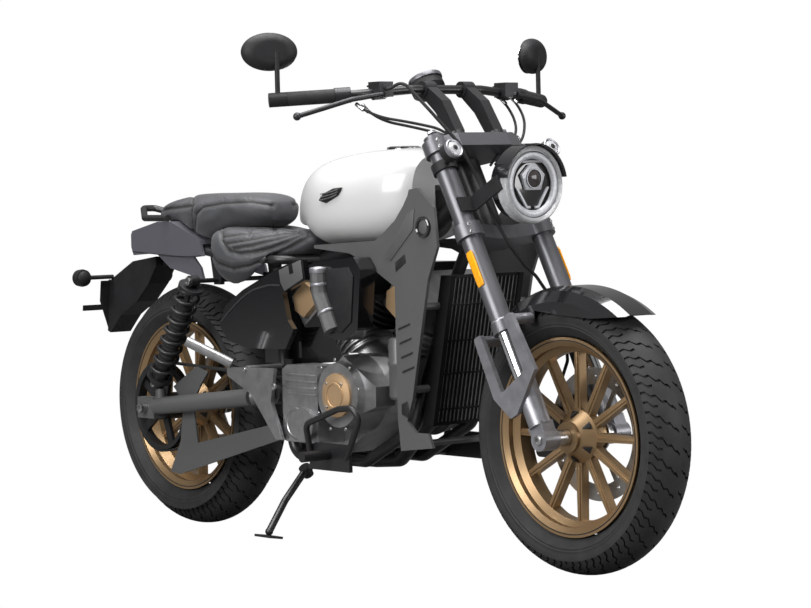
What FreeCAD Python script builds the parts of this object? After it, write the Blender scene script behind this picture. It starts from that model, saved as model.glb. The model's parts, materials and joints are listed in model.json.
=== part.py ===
"""A cruiser motorcycle with a V-twin engine, parked on its side stand.

Lengths are in millimetres and angles in degrees. Everything is laid out in the bike's own
upright frame: X runs forward, Y to the rider's left and Z up, from the floor under the rear
axle. The whole bike is then leaned over onto its side stand.
"""

import FreeCAD
import Part
import math
import os

import Sketcher
from types import SimpleNamespace

Vector = FreeCAD.Vector
Rotation = FreeCAD.Rotation
Placement = FreeCAD.Placement

X_AXIS = Vector(1, 0, 0)
Y_AXIS = Vector(0, 1, 0)
Z_AXIS = Vector(0, 0, 1)

# Driving sizes, one group for each sub-assembly

SIZES = {
    # Stance and steering geometry
    "wheelbase": 1505,
    "rake_angle": 28,
    "fork_offset": 42,
    "fork_spacing": 224,
    "lean_angle": 9,
    "crown_radius": 75,
    "overrun": 5,
    "seat_gap": 0.3,

    # Tyres
    "front_tyre_radius": 320,
    "front_tyre_width": 130,
    "rear_tyre_radius": 326,
    "rear_tyre_width": 158,
    "tyre_wall": 12,

    # Wheels
    "rim_radius": 230,
    "rim_lip": 9,
    "rim_wall": 7,
    "front_rim_width": 94,
    "rear_rim_width": 118,
    "spoke_count": 12,
    "spoke_width": 15,
    "spoke_thickness": 22,
    "hub_radius": 36,
    "hub_flange_radius": 62,
    "front_hub_width": 96,
    "rear_hub_width": 110,
    "axle_radius": 11,
    "axle_bore_radius": 6,
    "axle_clearance": 0.08,

    # Brake discs and calipers
    "front_disc_radius": 155,
    "rear_disc_radius": 128,
    "disc_thickness": 5,
    "disc_band": 38,
    "disc_hole_radius": 4,
    "disc_hole_count": 24,
    "caliper_length": 120,
    "caliper_depth": 62,
    "caliper_width": 62,
    "pad_clearance": 1.5,

    # Fork
    "fork_tube_radius": 25,
    "fork_tube_low": 272,
    "fork_tube_high": 788,
    "fork_cap_height": 10,
    "stanchion_radius": 20.5,
    "stanchion_low": 108,
    "seal_height": 26,
    "seal_wall": 4,
    "lug_radius": 27,
    "lug_low": 34,
    "axle_length": 262,

    # Triple clamps and steering stem
    "clamp_height": 34,
    "clamp_wall": 9,
    "upper_clamp_height": 741,
    "lower_clamp_height": 516,
    "stem_radius": 14,
    "stem_clearance": 0.3,
    "head_tube_radius": 31,
    "head_gap": 5,

    # Headlight
    "lamp_radius": 90,
    "lamp_depth": 92,
    "lamp_forward": 160,
    "lamp_height": 594,
    "lamp_bezel": 12,

    # Handlebar
    "riser_spacing": 122,
    "riser_radius": 17,
    "bar_radius": 11,
    "bar_height": 929,
    "bar_forward": 27,
    "grip_radius": 17,
    "grip_length": 113,
    "bar_end": 430,
    "mirror_half_width": 66,
    "mirror_half_height": 44,

    # Front mudguard
    "fender_gap": 24,
    "fender_wall": 3,
    "fender_half_width": 76,

    # Fuel tank
    "tank_rear": 478,
    "tank_front": 1035,
    "tank_half_width": 158,
    "tank_low": 757,
    "tank_high": 996,
    "tank_cap_radius": 42,

    # Seats
    "seat_rear": 236,
    "seat_front": 604,
    "seat_half_width": 152,
    "seat_low": 645,
    "seat_high": 812,
    "pillion_rear": -108,
    "pillion_front": 398,
    "pillion_half_width": 118,
    "pillion_low": 764,
    "pillion_high": 892,

    # Frame tubes
    "frame_tube_radius": 15,
    "backbone_radius": 20,
    "cradle_half_width": 92,
    "cradle_low": 226,
    "pivot_forward": 525,
    "pivot_height": 384,

    # Swingarm and shocks
    "swingarm_half_width": 168,
    "swingarm_radius": 23,
    "arm_block_length": 76,
    "arm_block_height": 56,
    "arm_block_width": 30,
    "shock_top_forward": 226,
    "shock_top_height": 668,
    "shock_low_forward": 51,
    "shock_low_height": 394,
    "shock_half_spacing": 176,
    "spring_radius": 29,
    "spring_wire": 5,

    # Engine
    "crank_forward": 832,
    "crank_height": 372,
    "vee_half_angle": 36,
    "case_half_width": 118,
    "cylinder_radius": 56,
    "cylinder_start": 134,
    "cylinder_length": 134,
    "fin_count": 8,
    "fin_reach": 18,
    "fin_thickness": 4,
    "head_height": 88,

    # Belt drive
    "belt_offset": 122,
    "belt_width": 24,
    "belt_thickness": 5,
    "rear_pulley_radius": 118,
    "front_pulley_radius": 44,
    "front_pulley_forward": 678,
    "front_pulley_height": 372,

    # Tyre and wheel sections
    "tyre_shoulder_drop": 44,
    "tyre_wall_height": 30,
    "tyre_wall_tuck": 8,
    "tread_thickness": 14,
    "bead_height": 6,
    "bead_bulge": 6,
    "bead_width": 13,
    "rim_lip_height": 14,
    "rim_drop": 14,
    "rim_floor_margin": 6,
    "hub_collar": 10,
    "hub_end_gap": 1,
    "spoke_root_width": 20,
    "spacer_wall": 8,
    "disc_arm_count": 6,
    "disc_arm_width": 12,
    "pulley_width": 26,
    "pulley_rim_wall": 12,
    "pulley_arm_count": 5,
    "pulley_arm_width": 22,
    "pulley_arm_thickness": 10,
    "belt_clearance": 1,

    # Fork lugs, mudguard stays and caliper places
    "lug_eye_radius": 25,
    "lug_eye_width": 46,
    "lug_socket_depth": 40,
    "stay_rear_ear_x": -20,
    "stay_front_ear_x": 98,
    "stay_ear_z": 280,
    "stay_ear_radius": 13,
    "stay_fork_z": 142,
    "stay_tip_x": -8,
    "stay_tip_z": 78,
    "stay_thickness": 7,
    "front_caliper_angle": 62,
    "rear_caliper_angle": -35,
    "caliper_corner": 14,
    "caliper_bracket_wall": 18,
    "clamp_waist": 32,
    "stem_nut_radius": 20,
    "stem_nut_height": 14,

    # Front mudguard section and trim
    "fender_middle_angle": 65.25,
    "fender_sweep": 76.7,
    "fender_skirt": 85,
    "fender_bend": 22,
    "fender_trim_bend": 60,

    # Headlight bracket and signals
    "lamp_bracket_half": 18,
    "lamp_bracket_wall": 6,
    "signal_forward": 110,
    "signal_half_spacing": 154,
    "signal_height": 706,
    "signal_radius": 23,
    "signal_depth": 26,
    "signal_stalk_radius": 6,

    # Handlebar shape and controls
    "bar_straight": 110,
    "bar_elbow": 250,
    "bar_pullback": 128,
    "bar_rise": 44,
    "bar_bend": 70,
    "bar_end_weight": 4,
    "riser_foot_forward": 68,
    "riser_foot_height": 90,
    "riser_clamp_wall": 9,
    "riser_clamp_width": 34,
    "mirror_clamp_width": 38,
    "mirror_stem": 100,
    "mirror_stem_radius": 6,
    "mirror_toe": 26,
    "mirror_depth": 34,
    "mirror_offset": 14,
    "switch_width": 38,
    "switch_radius": 19,
    "perch_distance": 52,
    "perch_width": 30,
    "perch_radius": 17,
    "reservoir_length": 42,
    "reservoir_height": 36,
    "reservoir_sink": 16,
    "lever_radius": 6,
    "lever_tip_forward": -42,
    "lever_tip_side": 421,
    "lever_tip_height": 895,
    "gauge_forward": -30,
    "gauge_height": 960,
    "gauge_radius": 42,
    "gauge_depth": 30,
    "gauge_tilt": -8,
    "tongue_half_width": 16,
    "tongue_thickness": 5,
    "hose_radius": 4,
    "hose_bend": 26,

    # Tank details
    "tank_tunnel_half": 26,
    "tank_tunnel_front": 905,
    "tank_tunnel_rear": 752,
    "tank_cap_lift": 7,
    "tank_cap_height": 12,
    "tank_mount_forward": 880,
    "seat_well_half": 112,

    # Frame routing
    "neck_forward": 1146,
    "neck_height": 896,
    "backbone_knee_forward": 1010,
    "backbone_knee_height": 806,
    "downtube_top_forward": 1177,
    "downtube_top_height": 848,
    "downtube_knee_forward": 1110,
    "downtube_knee_height": 640,
    "cradle_front": 1020,
    "cradle_rise": 60,
    "cradle_slope": 190,
    "seat_rail_front": 566,
    "seat_rail_height": 722,
    "seat_rail_setback": 78,
    "seat_rail_rear": -112,
    "seat_rail_rear_height": 736,
    "pivot_plate_half": 30,
    "pivot_plate_drop": 84,
    "pivot_plate_rise": 86,
    "pivot_plate_wall": 6,
    "pivot_bolt_radius": 9,

    # Swingarm and shock details
    "arm_kick": 60,
    "arm_eye_width": 24,
    "arm_eye_radius": 24,
    "axle_nut_reach": 14,
    "shock_eye_radius": 15,
    "shock_eye_width": 26,
    "shock_bolt_radius": 6,
    "shock_body_radius": 21,
    "shock_rod_radius": 8,
    "spring_turns": 9,
    "spring_seat": 8,

    # Engine block and covers
    "case_reach_front": 150,
    "case_reach_rear": 97,
    "case_deck": 118,
    "case_corner": 22,
    "case_floor_gap": 3,
    "case_chamfer": 110,
    "case_foot": 35,
    "gearbox_half_width": 96,
    "gearbox_low": 262,
    "gearbox_high": 440,
    "barrel_foot": 88,
    "head_half_width": 124,
    "head_corner": 12,
    "head_cover_margin": 10,
    "head_cover_depth": 14,
    "clutch_forward": 853,
    "clutch_height": 398,
    "clutch_cover_radius": 96,
    "clutch_cover_depth": 80,
    "clutch_nose_reach": 124,
    "clutch_cap_radius": 54,
    "clutch_cap_sink": 6,
    "clutch_cap_depth": 16,
    "gear_cover_rear": 634,
    "gear_cover_low": 275,
    "gear_cover_high": 466,
    "gear_cover_depth": 82,
    "starter_forward": 730,
    "starter_height": 321,
    "starter_radius": 42,
    "starter_reach": 14,

    # Air filter
    "airbox_rear": 782,
    "airbox_front": 980,
    "airbox_low": 535,
    "airbox_high": 736,
    "airbox_side": 220,
    "airbox_depth": 47,
    "airbox_corner": 9,
    "airbox_core_half_length": 84,
    "airbox_core_low": 640,
    "airbox_core_high": 715,
    "battery_rear": 400,
    "battery_front": 555,
    "battery_low": 455,
    "battery_high": 690,
    "manifold_radius": 22,
    "duct_radius": 20,

    # Radiator and its side panels
    "radiator_low": 330,
    "radiator_high": 690,
    "radiator_low_forward": 1106,
    "radiator_high_forward": 1186,
    "radiator_half_width": 115,
    "radiator_depth": 32,
    "radiator_frame": 14,
    "shroud_rear": 736,
    "shroud_front": 1205,
    "shroud_low": 285,
    "shroud_high": 944,
    "shroud_side": 168,
    "shroud_wall": 8,
    "belly_rear": 1062,
    "belly_front": 1130,
    "panel_boss_radius": 9,

    # Exhaust
    "header_radius": 19,
    "header_drop_forward": 1030,
    "header_low": 210,
    "header_turn": 60,
    "header_under": 208,
    "silencer_front": 340,
    "silencer_rear": -110,
    "silencer_side": 224,
    "silencer_height": 236,
    "silencer_radius": 46,

    # Side covers and tail
    "side_cover_rear": 342,
    "side_cover_front": 710,
    "side_cover_low": 498,
    "side_cover_high": 735,
    "side_cover_side": 178,
    "side_cover_wall": 14,
    "side_cover_corner": 5,
    "tail_rear": -153,
    "tail_front": 185,
    "tail_low": 726,
    "tail_high": 826,
    "tail_half_width": 112,
    "tail_wall": 7,
    "tail_roof": 10,
    "grab_half_width": 114,
    "grab_radius": 9,
    "grab_front": 30,
    "grab_rear": -226,
    "grab_rise": 26,
    "holder_rear": -399,
    "holder_front": -150,
    "holder_low": 505,
    "holder_half_width": 34,
    "holder_wall": 5,
    "post_radius": 10,
    "plate_half_width": 62,
    "plate_ear": 56,
    "tail_lamp_depth": 22,
    "tail_lamp_half_width": 60,
    "tail_lamp_height": 26,
    "rear_signal_forward": -352,
    "rear_signal_side": 138,
    "rear_signal_height": 668,

    # Belt guards
    "guard_wall": 5,
    "guard_rear": 54,
    "guard_low": 155,
    "guard_front": 538,
    "guard_front_height": 266,
    "guard_depth": 84,
    "guard_step": 44,
    "upper_guard_rear": 78,
    "upper_guard_front": 202,
    "upper_guard_height": 384,

    # Footrests and controls
    "hanger_side": 210,
    "hanger_wall": 10,
    "hanger_rear": 428,
    "hanger_front": 627,
    "hanger_height": 414,
    "hanger_rise": 42,
    "hanger_tail_low": 279,
    "hanger_boss_forward": 506,
    "hanger_boss_height": 450,
    "peg_radius": 13,
    "peg_length": 92,
    "control_side": 206,
    "control_rear": 752,
    "control_front": 915,
    "control_low": 214,
    "control_height": 66,
    "guard_reach": 30,

    # Side stand
    "stand_forward": 632,
    "stand_eye_side": 132,
    "stand_eye_height": 196,
    "stand_eye_radius": 15,
    "stand_eye_width": 20,
    "stand_bolt_radius": 6,
    "stand_reach": 300,
    "stand_sweep": 62,
    "stand_radius": 9,
    "stand_bow": 8,
    "stand_foot_length": 64,
    "stand_foot_width": 40,
    "stand_foot_thickness": 6,
    "stand_fold_inward": 40,
    "stand_fold_length": 230,
    "stand_lug_wall": 8,
}


# Sizes that remember their formula


class Size:
    """A number together with the sheet formula that gives it."""

    def __init__(self, value, text=None):
        self.value = float(value)
        self.text = text if text is not None else repr(float(value))

    @staticmethod
    def of(other):
        return other if isinstance(other, Size) else Size(other)

    def join(self, other, sign, value):
        return Size(value, f"({self.text} {sign} {other.text})")

    def __add__(self, other):
        other = Size.of(other)
        return self.join(other, "+", self.value + other.value)

    def __radd__(self, other):
        return Size.of(other) + self

    def __sub__(self, other):
        other = Size.of(other)
        return self.join(other, "-", self.value - other.value)

    def __rsub__(self, other):
        return Size.of(other) - self

    def __mul__(self, other):
        other = Size.of(other)
        return self.join(other, "*", self.value * other.value)

    def __rmul__(self, other):
        return Size.of(other) * self

    def __truediv__(self, other):
        other = Size.of(other)
        return self.join(other, "/", self.value / other.value)

    def __neg__(self):
        return Size(-self.value, f"(-{self.text})")

    def __float__(self):
        return self.value


def sine(angle):
    """The sine of a sheet angle in degrees."""
    return Size(math.sin(math.radians(float(angle))), f"sin({Size.of(angle).text})")


def cosine(angle):
    """The cosine of a sheet angle in degrees."""
    return Size(math.cos(math.radians(float(angle))), f"cos({Size.of(angle).text})")


# The document, its sheet and its frames

doc = FreeCAD.newDocument("Cruiser")
sheet = doc.addObject("Spreadsheet::Sheet", "sizes")
for row, (alias, number) in enumerate(SIZES.items(), start=1):
    sheet.set(f"A{row}", alias)
    sheet.set(f"B{row}", str(number))
    sheet.setAlias(f"B{row}", alias)
doc.recompute()

size = SimpleNamespace(**{alias: Size(number, f"sizes.{alias}") for alias, number in SIZES.items()})


def vector(x, y, z):
    return Vector(float(x), float(y), float(z))


def moved(x, y, z):
    """A frame shifted by the given lengths."""
    return Placement(vector(x, y, z), Rotation())


def turned(axis, angle):
    """A frame turned about an axis through its own origin."""
    return Placement(Vector(), Rotation(axis, float(angle)))


bike = Placement(Vector(), Rotation(X_AXIS, float(size.lean_angle)), vector(0, 0, size.crown_radius))
stem_foot_x = size.wheelbase - size.fork_offset * cosine(size.rake_angle)
stem_foot_z = size.front_tyre_radius - size.fork_offset * sine(size.rake_angle)
steer = bike * moved(stem_foot_x, 0, stem_foot_z) * turned(Y_AXIS, -float(size.rake_angle))
front_axle_frame = bike * moved(size.wheelbase, 0, size.front_tyre_radius)
rear_axle_frame = bike * moved(0, 0, size.rear_tyre_radius)

parts = {}


def keep(item, label, frame):
    """Names a finished sub-part and puts it in its place."""
    item.Label = label
    item.Placement = frame
    parts[label] = item
    return item


def bind(item, name, amount):
    """Sets a property, and ties it to the sheet where the amount comes from there."""
    if isinstance(amount, Size):
        item.setExpression(name, amount.text)
    else:
        setattr(item, name, amount)


# Sketches and solid features


def new_body(label, frame):
    body = doc.addObject("PartDesign::Body", label)
    return keep(body, label, frame)


def new_sketch(body, role, lift=None):
    """A sketch on one of the body's own planes, lifted along the plane's normal."""
    sketch = body.newObject("Sketcher::SketchObject", body.Name + "_sketch")
    plane = next(item for item in body.Origin.OriginFeatures if item.Role == role)
    sketch.AttachmentSupport = [(plane, "")]
    sketch.MapMode = "FlatFace"
    if lift is not None:
        bind(sketch, ".AttachmentOffset.Base.z", Size.of(lift))
    return sketch


def fix_point(sketch, geometry, position, x, y):
    """Ties one point of a sketch to its two coordinates."""
    for amount, kind, line in ((x, "DistanceX", -2), (y, "DistanceY", -1)):
        if not isinstance(amount, Size) and amount == 0:
            sketch.addConstraint(Sketcher.Constraint("PointOnObject", geometry, position, line))
            continue
        rule = Sketcher.Constraint(kind, -1, 1, geometry, position, float(amount))
        index = sketch.addConstraint(rule)
        sketch.setExpression(f"Constraints[{index}]", Size.of(amount).text)


def circle(sketch, x, y, radius):
    """A circle of a sketch, tied to its centre and radius."""
    shape = Part.Circle(vector(x, y, 0), Z_AXIS, float(radius))
    geometry = sketch.addGeometry(shape, False)
    fix_point(sketch, geometry, 3, x, y)
    index = sketch.addConstraint(Sketcher.Constraint("Radius", geometry, float(radius)))
    sketch.setExpression(f"Constraints[{index}]", Size.of(radius).text)


def corner_arc(before, corner, after, radius):
    """The tangent points and the arc that round one corner, and whether it turns left."""
    back = (before - corner).normalize()
    ahead = (after - corner).normalize()
    half = back.getAngle(ahead) / 2
    reach = radius / math.tan(half)
    start = corner + back * reach
    end = corner + ahead * reach
    centre = corner + (back + ahead).normalize() * (radius / math.sin(half))
    left = (corner - before).cross(after - corner).z > 0
    first, last = (start, end) if left else (end, start)
    angles = [math.atan2(point.y - centre.y, point.x - centre.x) for point in (first, last)]
    arc = Part.ArcOfCircle(Part.Circle(centre, Z_AXIS, radius), angles[0], angles[1])
    return start, end, arc, left


def outline(sketch, corners):
    """A closed outline through (x, y) or (x, y, radius) corners, each tied to the sheet."""
    count = len(corners)
    points = [vector(corner[0], corner[1], 0) for corner in corners]
    starts, ends, arcs = [], [], []
    for index, corner in enumerate(corners):
        if len(corner) < 3:
            starts.append(points[index])
            ends.append(points[index])
            arcs.append(None)
            continue
        before, after = points[index - 1], points[(index + 1) % count]
        start, end, arc, left = corner_arc(before, points[index], after, float(corner[2]))
        starts.append(start)
        ends.append(end)
        arcs.append((arc, left))
    lines = []
    for index in range(count):
        following = (index + 1) % count
        lines.append(sketch.addGeometry(Part.LineSegment(ends[index], starts[following]), False))
    for index, corner in enumerate(corners):
        line_in, line_out = lines[index - 1], lines[index]
        if arcs[index] is None:
            sketch.addConstraint(Sketcher.Constraint("Coincident", line_in, 2, line_out, 1))
            fix_point(sketch, line_out, 1, corner[0], corner[1])
            continue
        arc, left = arcs[index]
        rounding = sketch.addGeometry(arc, False)
        first, last = (1, 2) if left else (2, 1)
        sketch.addConstraint(Sketcher.Constraint("Tangent", line_in, 2, rounding, first))
        sketch.addConstraint(Sketcher.Constraint("Tangent", rounding, last, line_out, 1))
        radius = sketch.addConstraint(Sketcher.Constraint("Radius", rounding, float(corner[2])))
        sketch.setExpression(f"Constraints[{radius}]", Size.of(corner[2]).text)
        point = sketch.addGeometry(Part.Point(points[index]), True)
        sketch.addConstraint(Sketcher.Constraint("PointOnObject", point, 1, line_in))
        sketch.addConstraint(Sketcher.Constraint("PointOnObject", point, 1, line_out))
        fix_point(sketch, point, 1, corner[0], corner[1])


def pad(body, sketch, length, both_ways=False, backwards=False):
    """Solid stretched from a sketch along its normal."""
    feature = body.newObject("PartDesign::Pad", body.Name + "_pad")
    feature.Profile = sketch
    bind(feature, "Length", length)
    feature.Midplane = both_ways
    feature.Reversed = backwards
    return feature


def pocket(body, sketch, length=None, both_ways=False, backwards=False):
    """Cut stretched from a sketch, through everything unless a length is given."""
    feature = body.newObject("PartDesign::Pocket", body.Name + "_pocket")
    feature.Profile = sketch
    if length is None:
        feature.Type = 1
    else:
        bind(feature, "Length", length)
    feature.Midplane = both_ways
    feature.Reversed = backwards
    return feature


def revolve(body, sketch, axis="V_Axis", angle=360.0, kind="Revolution", both_ways=False):
    """Solid turned from a sketch about one of its axes."""
    feature = body.newObject("PartDesign::" + kind, body.Name + "_turn")
    feature.Profile = sketch
    feature.ReferenceAxis = (sketch, [axis])
    bind(feature, "Angle", angle)
    feature.Midplane = both_ways
    return feature


def repeat_round(body, feature, sketch, count, axis="N_Axis"):
    """Copies a feature evenly round an axis."""
    pattern = body.newObject("PartDesign::PolarPattern", body.Name + "_round")
    pattern.Originals = [feature]
    pattern.Axis = (sketch, [axis])
    pattern.Angle = 360
    bind(pattern, "Occurrences", count)
    body.Tip = pattern
    return pattern


def turned_piece(label, frame, profile, role="XY_Plane", axis="V_Axis"):
    """A whole sub-part turned from one outline."""
    body = new_body(label, frame)
    sketch = new_sketch(body, role)
    outline(sketch, profile)
    revolve(body, sketch, axis)
    return body


# Shapes drawn in space


def shape_part(label, frame, shape):
    """A sub-part whose curved form is worked out directly from the sizes."""
    item = doc.addObject("Part::Feature", label)
    item.Shape = shape
    return keep(item, label, frame)


def soft_path(points, bend):
    """A path of straight runs joined by tangent arcs of the given radius."""
    edges = []
    here = points[0]
    for before, corner, after in zip(points, points[1:], points[2:]):
        back = (before - corner).normalize()
        ahead = (after - corner).normalize()
        half = back.getAngle(ahead) / 2
        if math.pi / 2 - half < 0.002:
            continue
        reach = bend / math.tan(half)
        start = corner + back * reach
        end = corner + ahead * reach
        centre = corner + (back + ahead).normalize() * (bend / math.sin(half))
        middle = centre + (corner - centre).normalize() * bend
        if (start - here).Length > float(size.seat_gap):
            edges.append(Part.LineSegment(here, start).toShape())
        edges.append(Part.Arc(start, middle, end).toShape())
        here = end
    edges.append(Part.LineSegment(here, points[-1]).toShape())
    return Part.Wire(edges)


def tube(points, radius, bend=None, bore=None):
    """A round tube along a bent path."""
    points = [vector(*point) for point in points]
    path = soft_path(points, float(bend if bend is not None else radius * 3))
    heading = points[1] - points[0]

    def swept(section_radius):
        section = Part.Wire(Part.makeCircle(float(section_radius), points[0], heading))
        return path.makePipeShell([section], True, False)

    solid = swept(radius)
    return solid if bore is None else solid.cut(swept(bore))


def cylinder(start, end, radius):
    """A plain round bar between two points."""
    start, end = vector(*start), vector(*end)
    return Part.makeCylinder(float(radius), (end - start).Length, start, end - start)


def prism(corners, low, high, plane="side"):
    """A flat outline given thickness: side outlines are (x, z) and go from y low to high."""
    place = {
        "side": lambda a, b, c: vector(a, c, b),
        "top": lambda a, b, c: vector(a, b, c),
        "front": lambda a, b, c: vector(c, a, b),
    }[plane]
    points = [place(a, b, low) for a, b in corners]
    shift = place(0, 0, Size.of(high) - Size.of(low))
    return Part.Face(Part.makePolygon(points + points[:1])).extrude(shift)


def smooth_loop(points):
    """A closed smooth curve through points."""
    curve = Part.BSplineCurve()
    curve.interpolate([vector(*point) for point in points], PeriodicFlag=True)
    return Part.Wire(curve.toShape())


def loft(loops, straight=False):
    """A solid through closed loops."""
    return Part.makeLoft(loops, True, straight)


def fused(*pieces):
    """Joins solids into one and merges flush faces."""
    return pieces[0].multiFuse(list(pieces[1:])).removeSplitter()


def mirrored(shape):
    """The same shape on the other side of the bike."""
    return shape.mirror(Vector(), Y_AXIS)


# Wheels and tyres


def tyre(label, frame, radius, width, rim_width):
    """A ply carcass on its rim, faceted across so that the lean has its own contact line."""
    half = width / 2
    seat = size.rim_radius - size.rim_lip_height + size.seat_gap
    foot = rim_width / 2 - size.rim_lip - size.seat_gap
    crown_centre = radius - size.crown_radius
    tread = []
    for share in TREAD_SHARES:
        angle = size.lean_angle * share
        across = size.crown_radius * sine(angle)
        tread.append((crown_centre + size.crown_radius * cosine(angle), across))
    shoulder = (radius - size.tyre_shoulder_drop, half)
    wall = (size.rim_radius + size.tyre_wall_height, half - size.tyre_wall_tuck)
    heel = (size.rim_radius + size.bead_height, foot + size.bead_bulge)
    side = [shoulder, wall, heel, (size.rim_radius + size.seat_gap, foot), (seat, foot)]
    inside = [
        (seat, foot - size.tyre_wall),
        (wall[0], wall[1] - size.tyre_wall),
        (shoulder[0] - size.tyre_wall, half - size.tyre_wall),
        (radius - size.tread_thickness, half / 2),
    ]
    right = [(r, -a) for r, a in tread[1:] + side + inside]
    left = [(r, a) for r, a in tread[1:] + side + inside]
    return turned_piece(label, frame, [tread[0]] + left + right[::-1])


def wheel(label, frame, rim_width, hub_width, far_face):
    """A cast wheel: hub, twelve spokes and a drop-centre rim."""
    body = new_body(label, frame)
    half = rim_width / 2
    seat = size.rim_radius - size.rim_lip_height
    inner = seat - size.rim_wall
    drop = inner - size.rim_drop
    hub = new_sketch(body, "XY_Plane")
    outline(hub, [
        (size.axle_radius + size.axle_clearance, -hub_width / 2),
        (size.hub_radius, -hub_width / 2),
        (size.hub_radius, -hub_width / 2 + size.hub_collar),
        (size.hub_flange_radius, -size.spoke_thickness / 2),
        (size.hub_flange_radius, size.spoke_thickness / 2),
        (size.hub_radius, far_face - size.hub_collar),
        (size.hub_radius, far_face),
        (size.axle_radius + size.axle_clearance, far_face),
    ])
    revolve(body, hub)
    spoke = new_sketch(body, "XZ_Plane")
    root = size.hub_flange_radius - size.overrun
    tip = drop + size.rim_wall / 2
    outline(spoke, [
        (root, -size.spoke_root_width / 2),
        (tip, -size.spoke_width / 2),
        (tip, size.spoke_width / 2),
        (root, size.spoke_root_width / 2),
    ])
    arm = pad(body, spoke, size.spoke_thickness, both_ways=True)
    repeat_round(body, arm, spoke, size.spoke_count)
    rim = new_sketch(body, "XY_Plane")
    lip = size.rim_lip
    floor_half = size.spoke_thickness / 2 + size.rim_floor_margin
    outer = [
        (size.rim_radius, half),
        (size.rim_radius, half - lip / 2),
        (seat, half - lip),
        (seat, half - lip - size.bead_width),
        (drop + size.rim_wall, floor_half),
    ]
    inside = [
        (drop, floor_half - size.rim_wall / 2),
        (inner, half - lip - size.bead_width),
        (inner, half - lip),
        (size.rim_radius - lip, half),
    ]
    upper = outer + [(r, -y) for r, y in outer[::-1]]
    lower = [(r, -y) for r, y in inside[::-1]] + inside
    outline(rim, upper + lower)
    revolve(body, rim)
    return body


def disc(label, frame, radius, lateral, carrier_radius, clear_radius):
    """A drilled brake disc on its spider."""
    body = new_body(label, frame)
    band = new_sketch(body, "XZ_Plane", -lateral)
    circle(band, 0, 0, radius)
    circle(band, 0, 0, radius - size.disc_band)
    pad(body, band, size.disc_thickness, both_ways=True)
    arms = new_sketch(body, "XZ_Plane", -lateral)
    reach = radius - size.disc_band + size.overrun
    outline(arms, [
        (carrier_radius, -size.disc_arm_width / 2),
        (reach, -size.disc_arm_width / 2),
        (reach, size.disc_arm_width / 2),
        (carrier_radius, size.disc_arm_width / 2),
    ])
    arm = pad(body, arms, size.disc_thickness, both_ways=True)
    repeat_round(body, arm, arms, size.disc_arm_count)
    ring = new_sketch(body, "XZ_Plane", -lateral)
    circle(ring, 0, 0, carrier_radius + size.overrun)
    circle(ring, 0, 0, clear_radius)
    pad(body, ring, size.disc_thickness, both_ways=True)
    holes = new_sketch(body, "XZ_Plane", -lateral)
    circle(holes, radius - size.disc_band / 2, 0, size.disc_hole_radius)
    hole = pocket(body, holes, size.disc_thickness + size.overrun, both_ways=True)
    repeat_round(body, hole, holes, size.disc_hole_count)
    return body


TREAD_SHARES = (0, 1, 2.6, 4.4, 6.0)

tyre("front_tyre", front_axle_frame, size.front_tyre_radius, size.front_tyre_width, size.front_rim_width)
tyre("rear_tyre", rear_axle_frame, size.rear_tyre_radius, size.rear_tyre_width, size.rear_rim_width)
wheel("front_wheel", front_axle_frame, size.front_rim_width, size.front_hub_width, size.front_hub_width / 2)
wheel("rear_wheel", rear_axle_frame, size.rear_rim_width, size.rear_hub_width, size.rear_hub_width / 2)

front_disc_side = size.front_hub_width / 2 + size.disc_thickness / 2 + size.seat_gap
rear_disc_side = size.rear_hub_width / 2 + size.disc_thickness / 2 + size.seat_gap
disc("front_disc", front_axle_frame, size.front_disc_radius, front_disc_side,
     size.hub_radius, size.axle_radius + size.spacer_wall + size.seat_gap * 2)
disc("rear_disc", rear_axle_frame, size.rear_disc_radius, rear_disc_side,
     size.hub_radius, size.axle_radius + size.spacer_wall + size.seat_gap * 2)


def pulley():
    """The toothed rear belt pulley with its five arms."""
    body = new_body("rear_pulley", rear_axle_frame)
    lateral = size.belt_offset
    rim = new_sketch(body, "XZ_Plane", lateral)
    groove_radius = size.rear_pulley_radius - size.belt_clearance
    circle(rim, 0, 0, groove_radius)
    circle(rim, 0, 0, groove_radius - size.pulley_rim_wall)
    pad(body, rim, size.pulley_width, both_ways=True)
    arms = new_sketch(body, "XZ_Plane", lateral)
    reach = groove_radius - size.pulley_rim_wall + size.overrun / 2
    outline(arms, [
        (size.hub_radius - size.overrun, -size.pulley_arm_width / 2),
        (reach, -size.pulley_arm_width / 2),
        (reach, size.pulley_arm_width / 2),
        (size.hub_radius - size.overrun, size.pulley_arm_width / 2),
    ])
    arm = pad(body, arms, size.pulley_arm_thickness, both_ways=True)
    repeat_round(body, arm, arms, size.pulley_arm_count)
    hub_outer = lateral + size.pulley_width / 2
    hub_inner = size.rear_hub_width / 2 + size.seat_gap
    hub = new_sketch(body, "XY_Plane")
    bore = size.axle_radius + size.spacer_wall + size.seat_gap * 2
    outline(hub, [(bore, -hub_outer), (size.hub_radius, -hub_outer), (size.hub_radius, -hub_inner),
        (bore, -hub_inner)])
    revolve(body, hub)
    return body


pulley()


# Front fork, axle and brake


def both_sides(label, item, frame):
    """A sub-part made of one drawn piece and its mirror image."""
    mirror = doc.addObject("Part::Mirroring", label + "_mirror")
    mirror.Source = item
    mirror.Normal = Y_AXIS
    pair = doc.addObject("Part::Compound", label)
    pair.Links = [item, mirror]
    return keep(pair, label, frame)


def hidden_body(name):
    """A body used as the source of another sub-part."""
    body = doc.addObject("PartDesign::Body", name)
    return body


half_spacing = size.fork_spacing / 2


def fork_piece(name, profile):
    """One turned fork piece on the rider's right, about the leg's own axis."""
    body = hidden_body(name)
    body.Placement = moved(size.fork_offset, -half_spacing, 0)
    sketch = new_sketch(body, "XZ_Plane")
    outline(sketch, profile)
    revolve(body, sketch)
    return body


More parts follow.
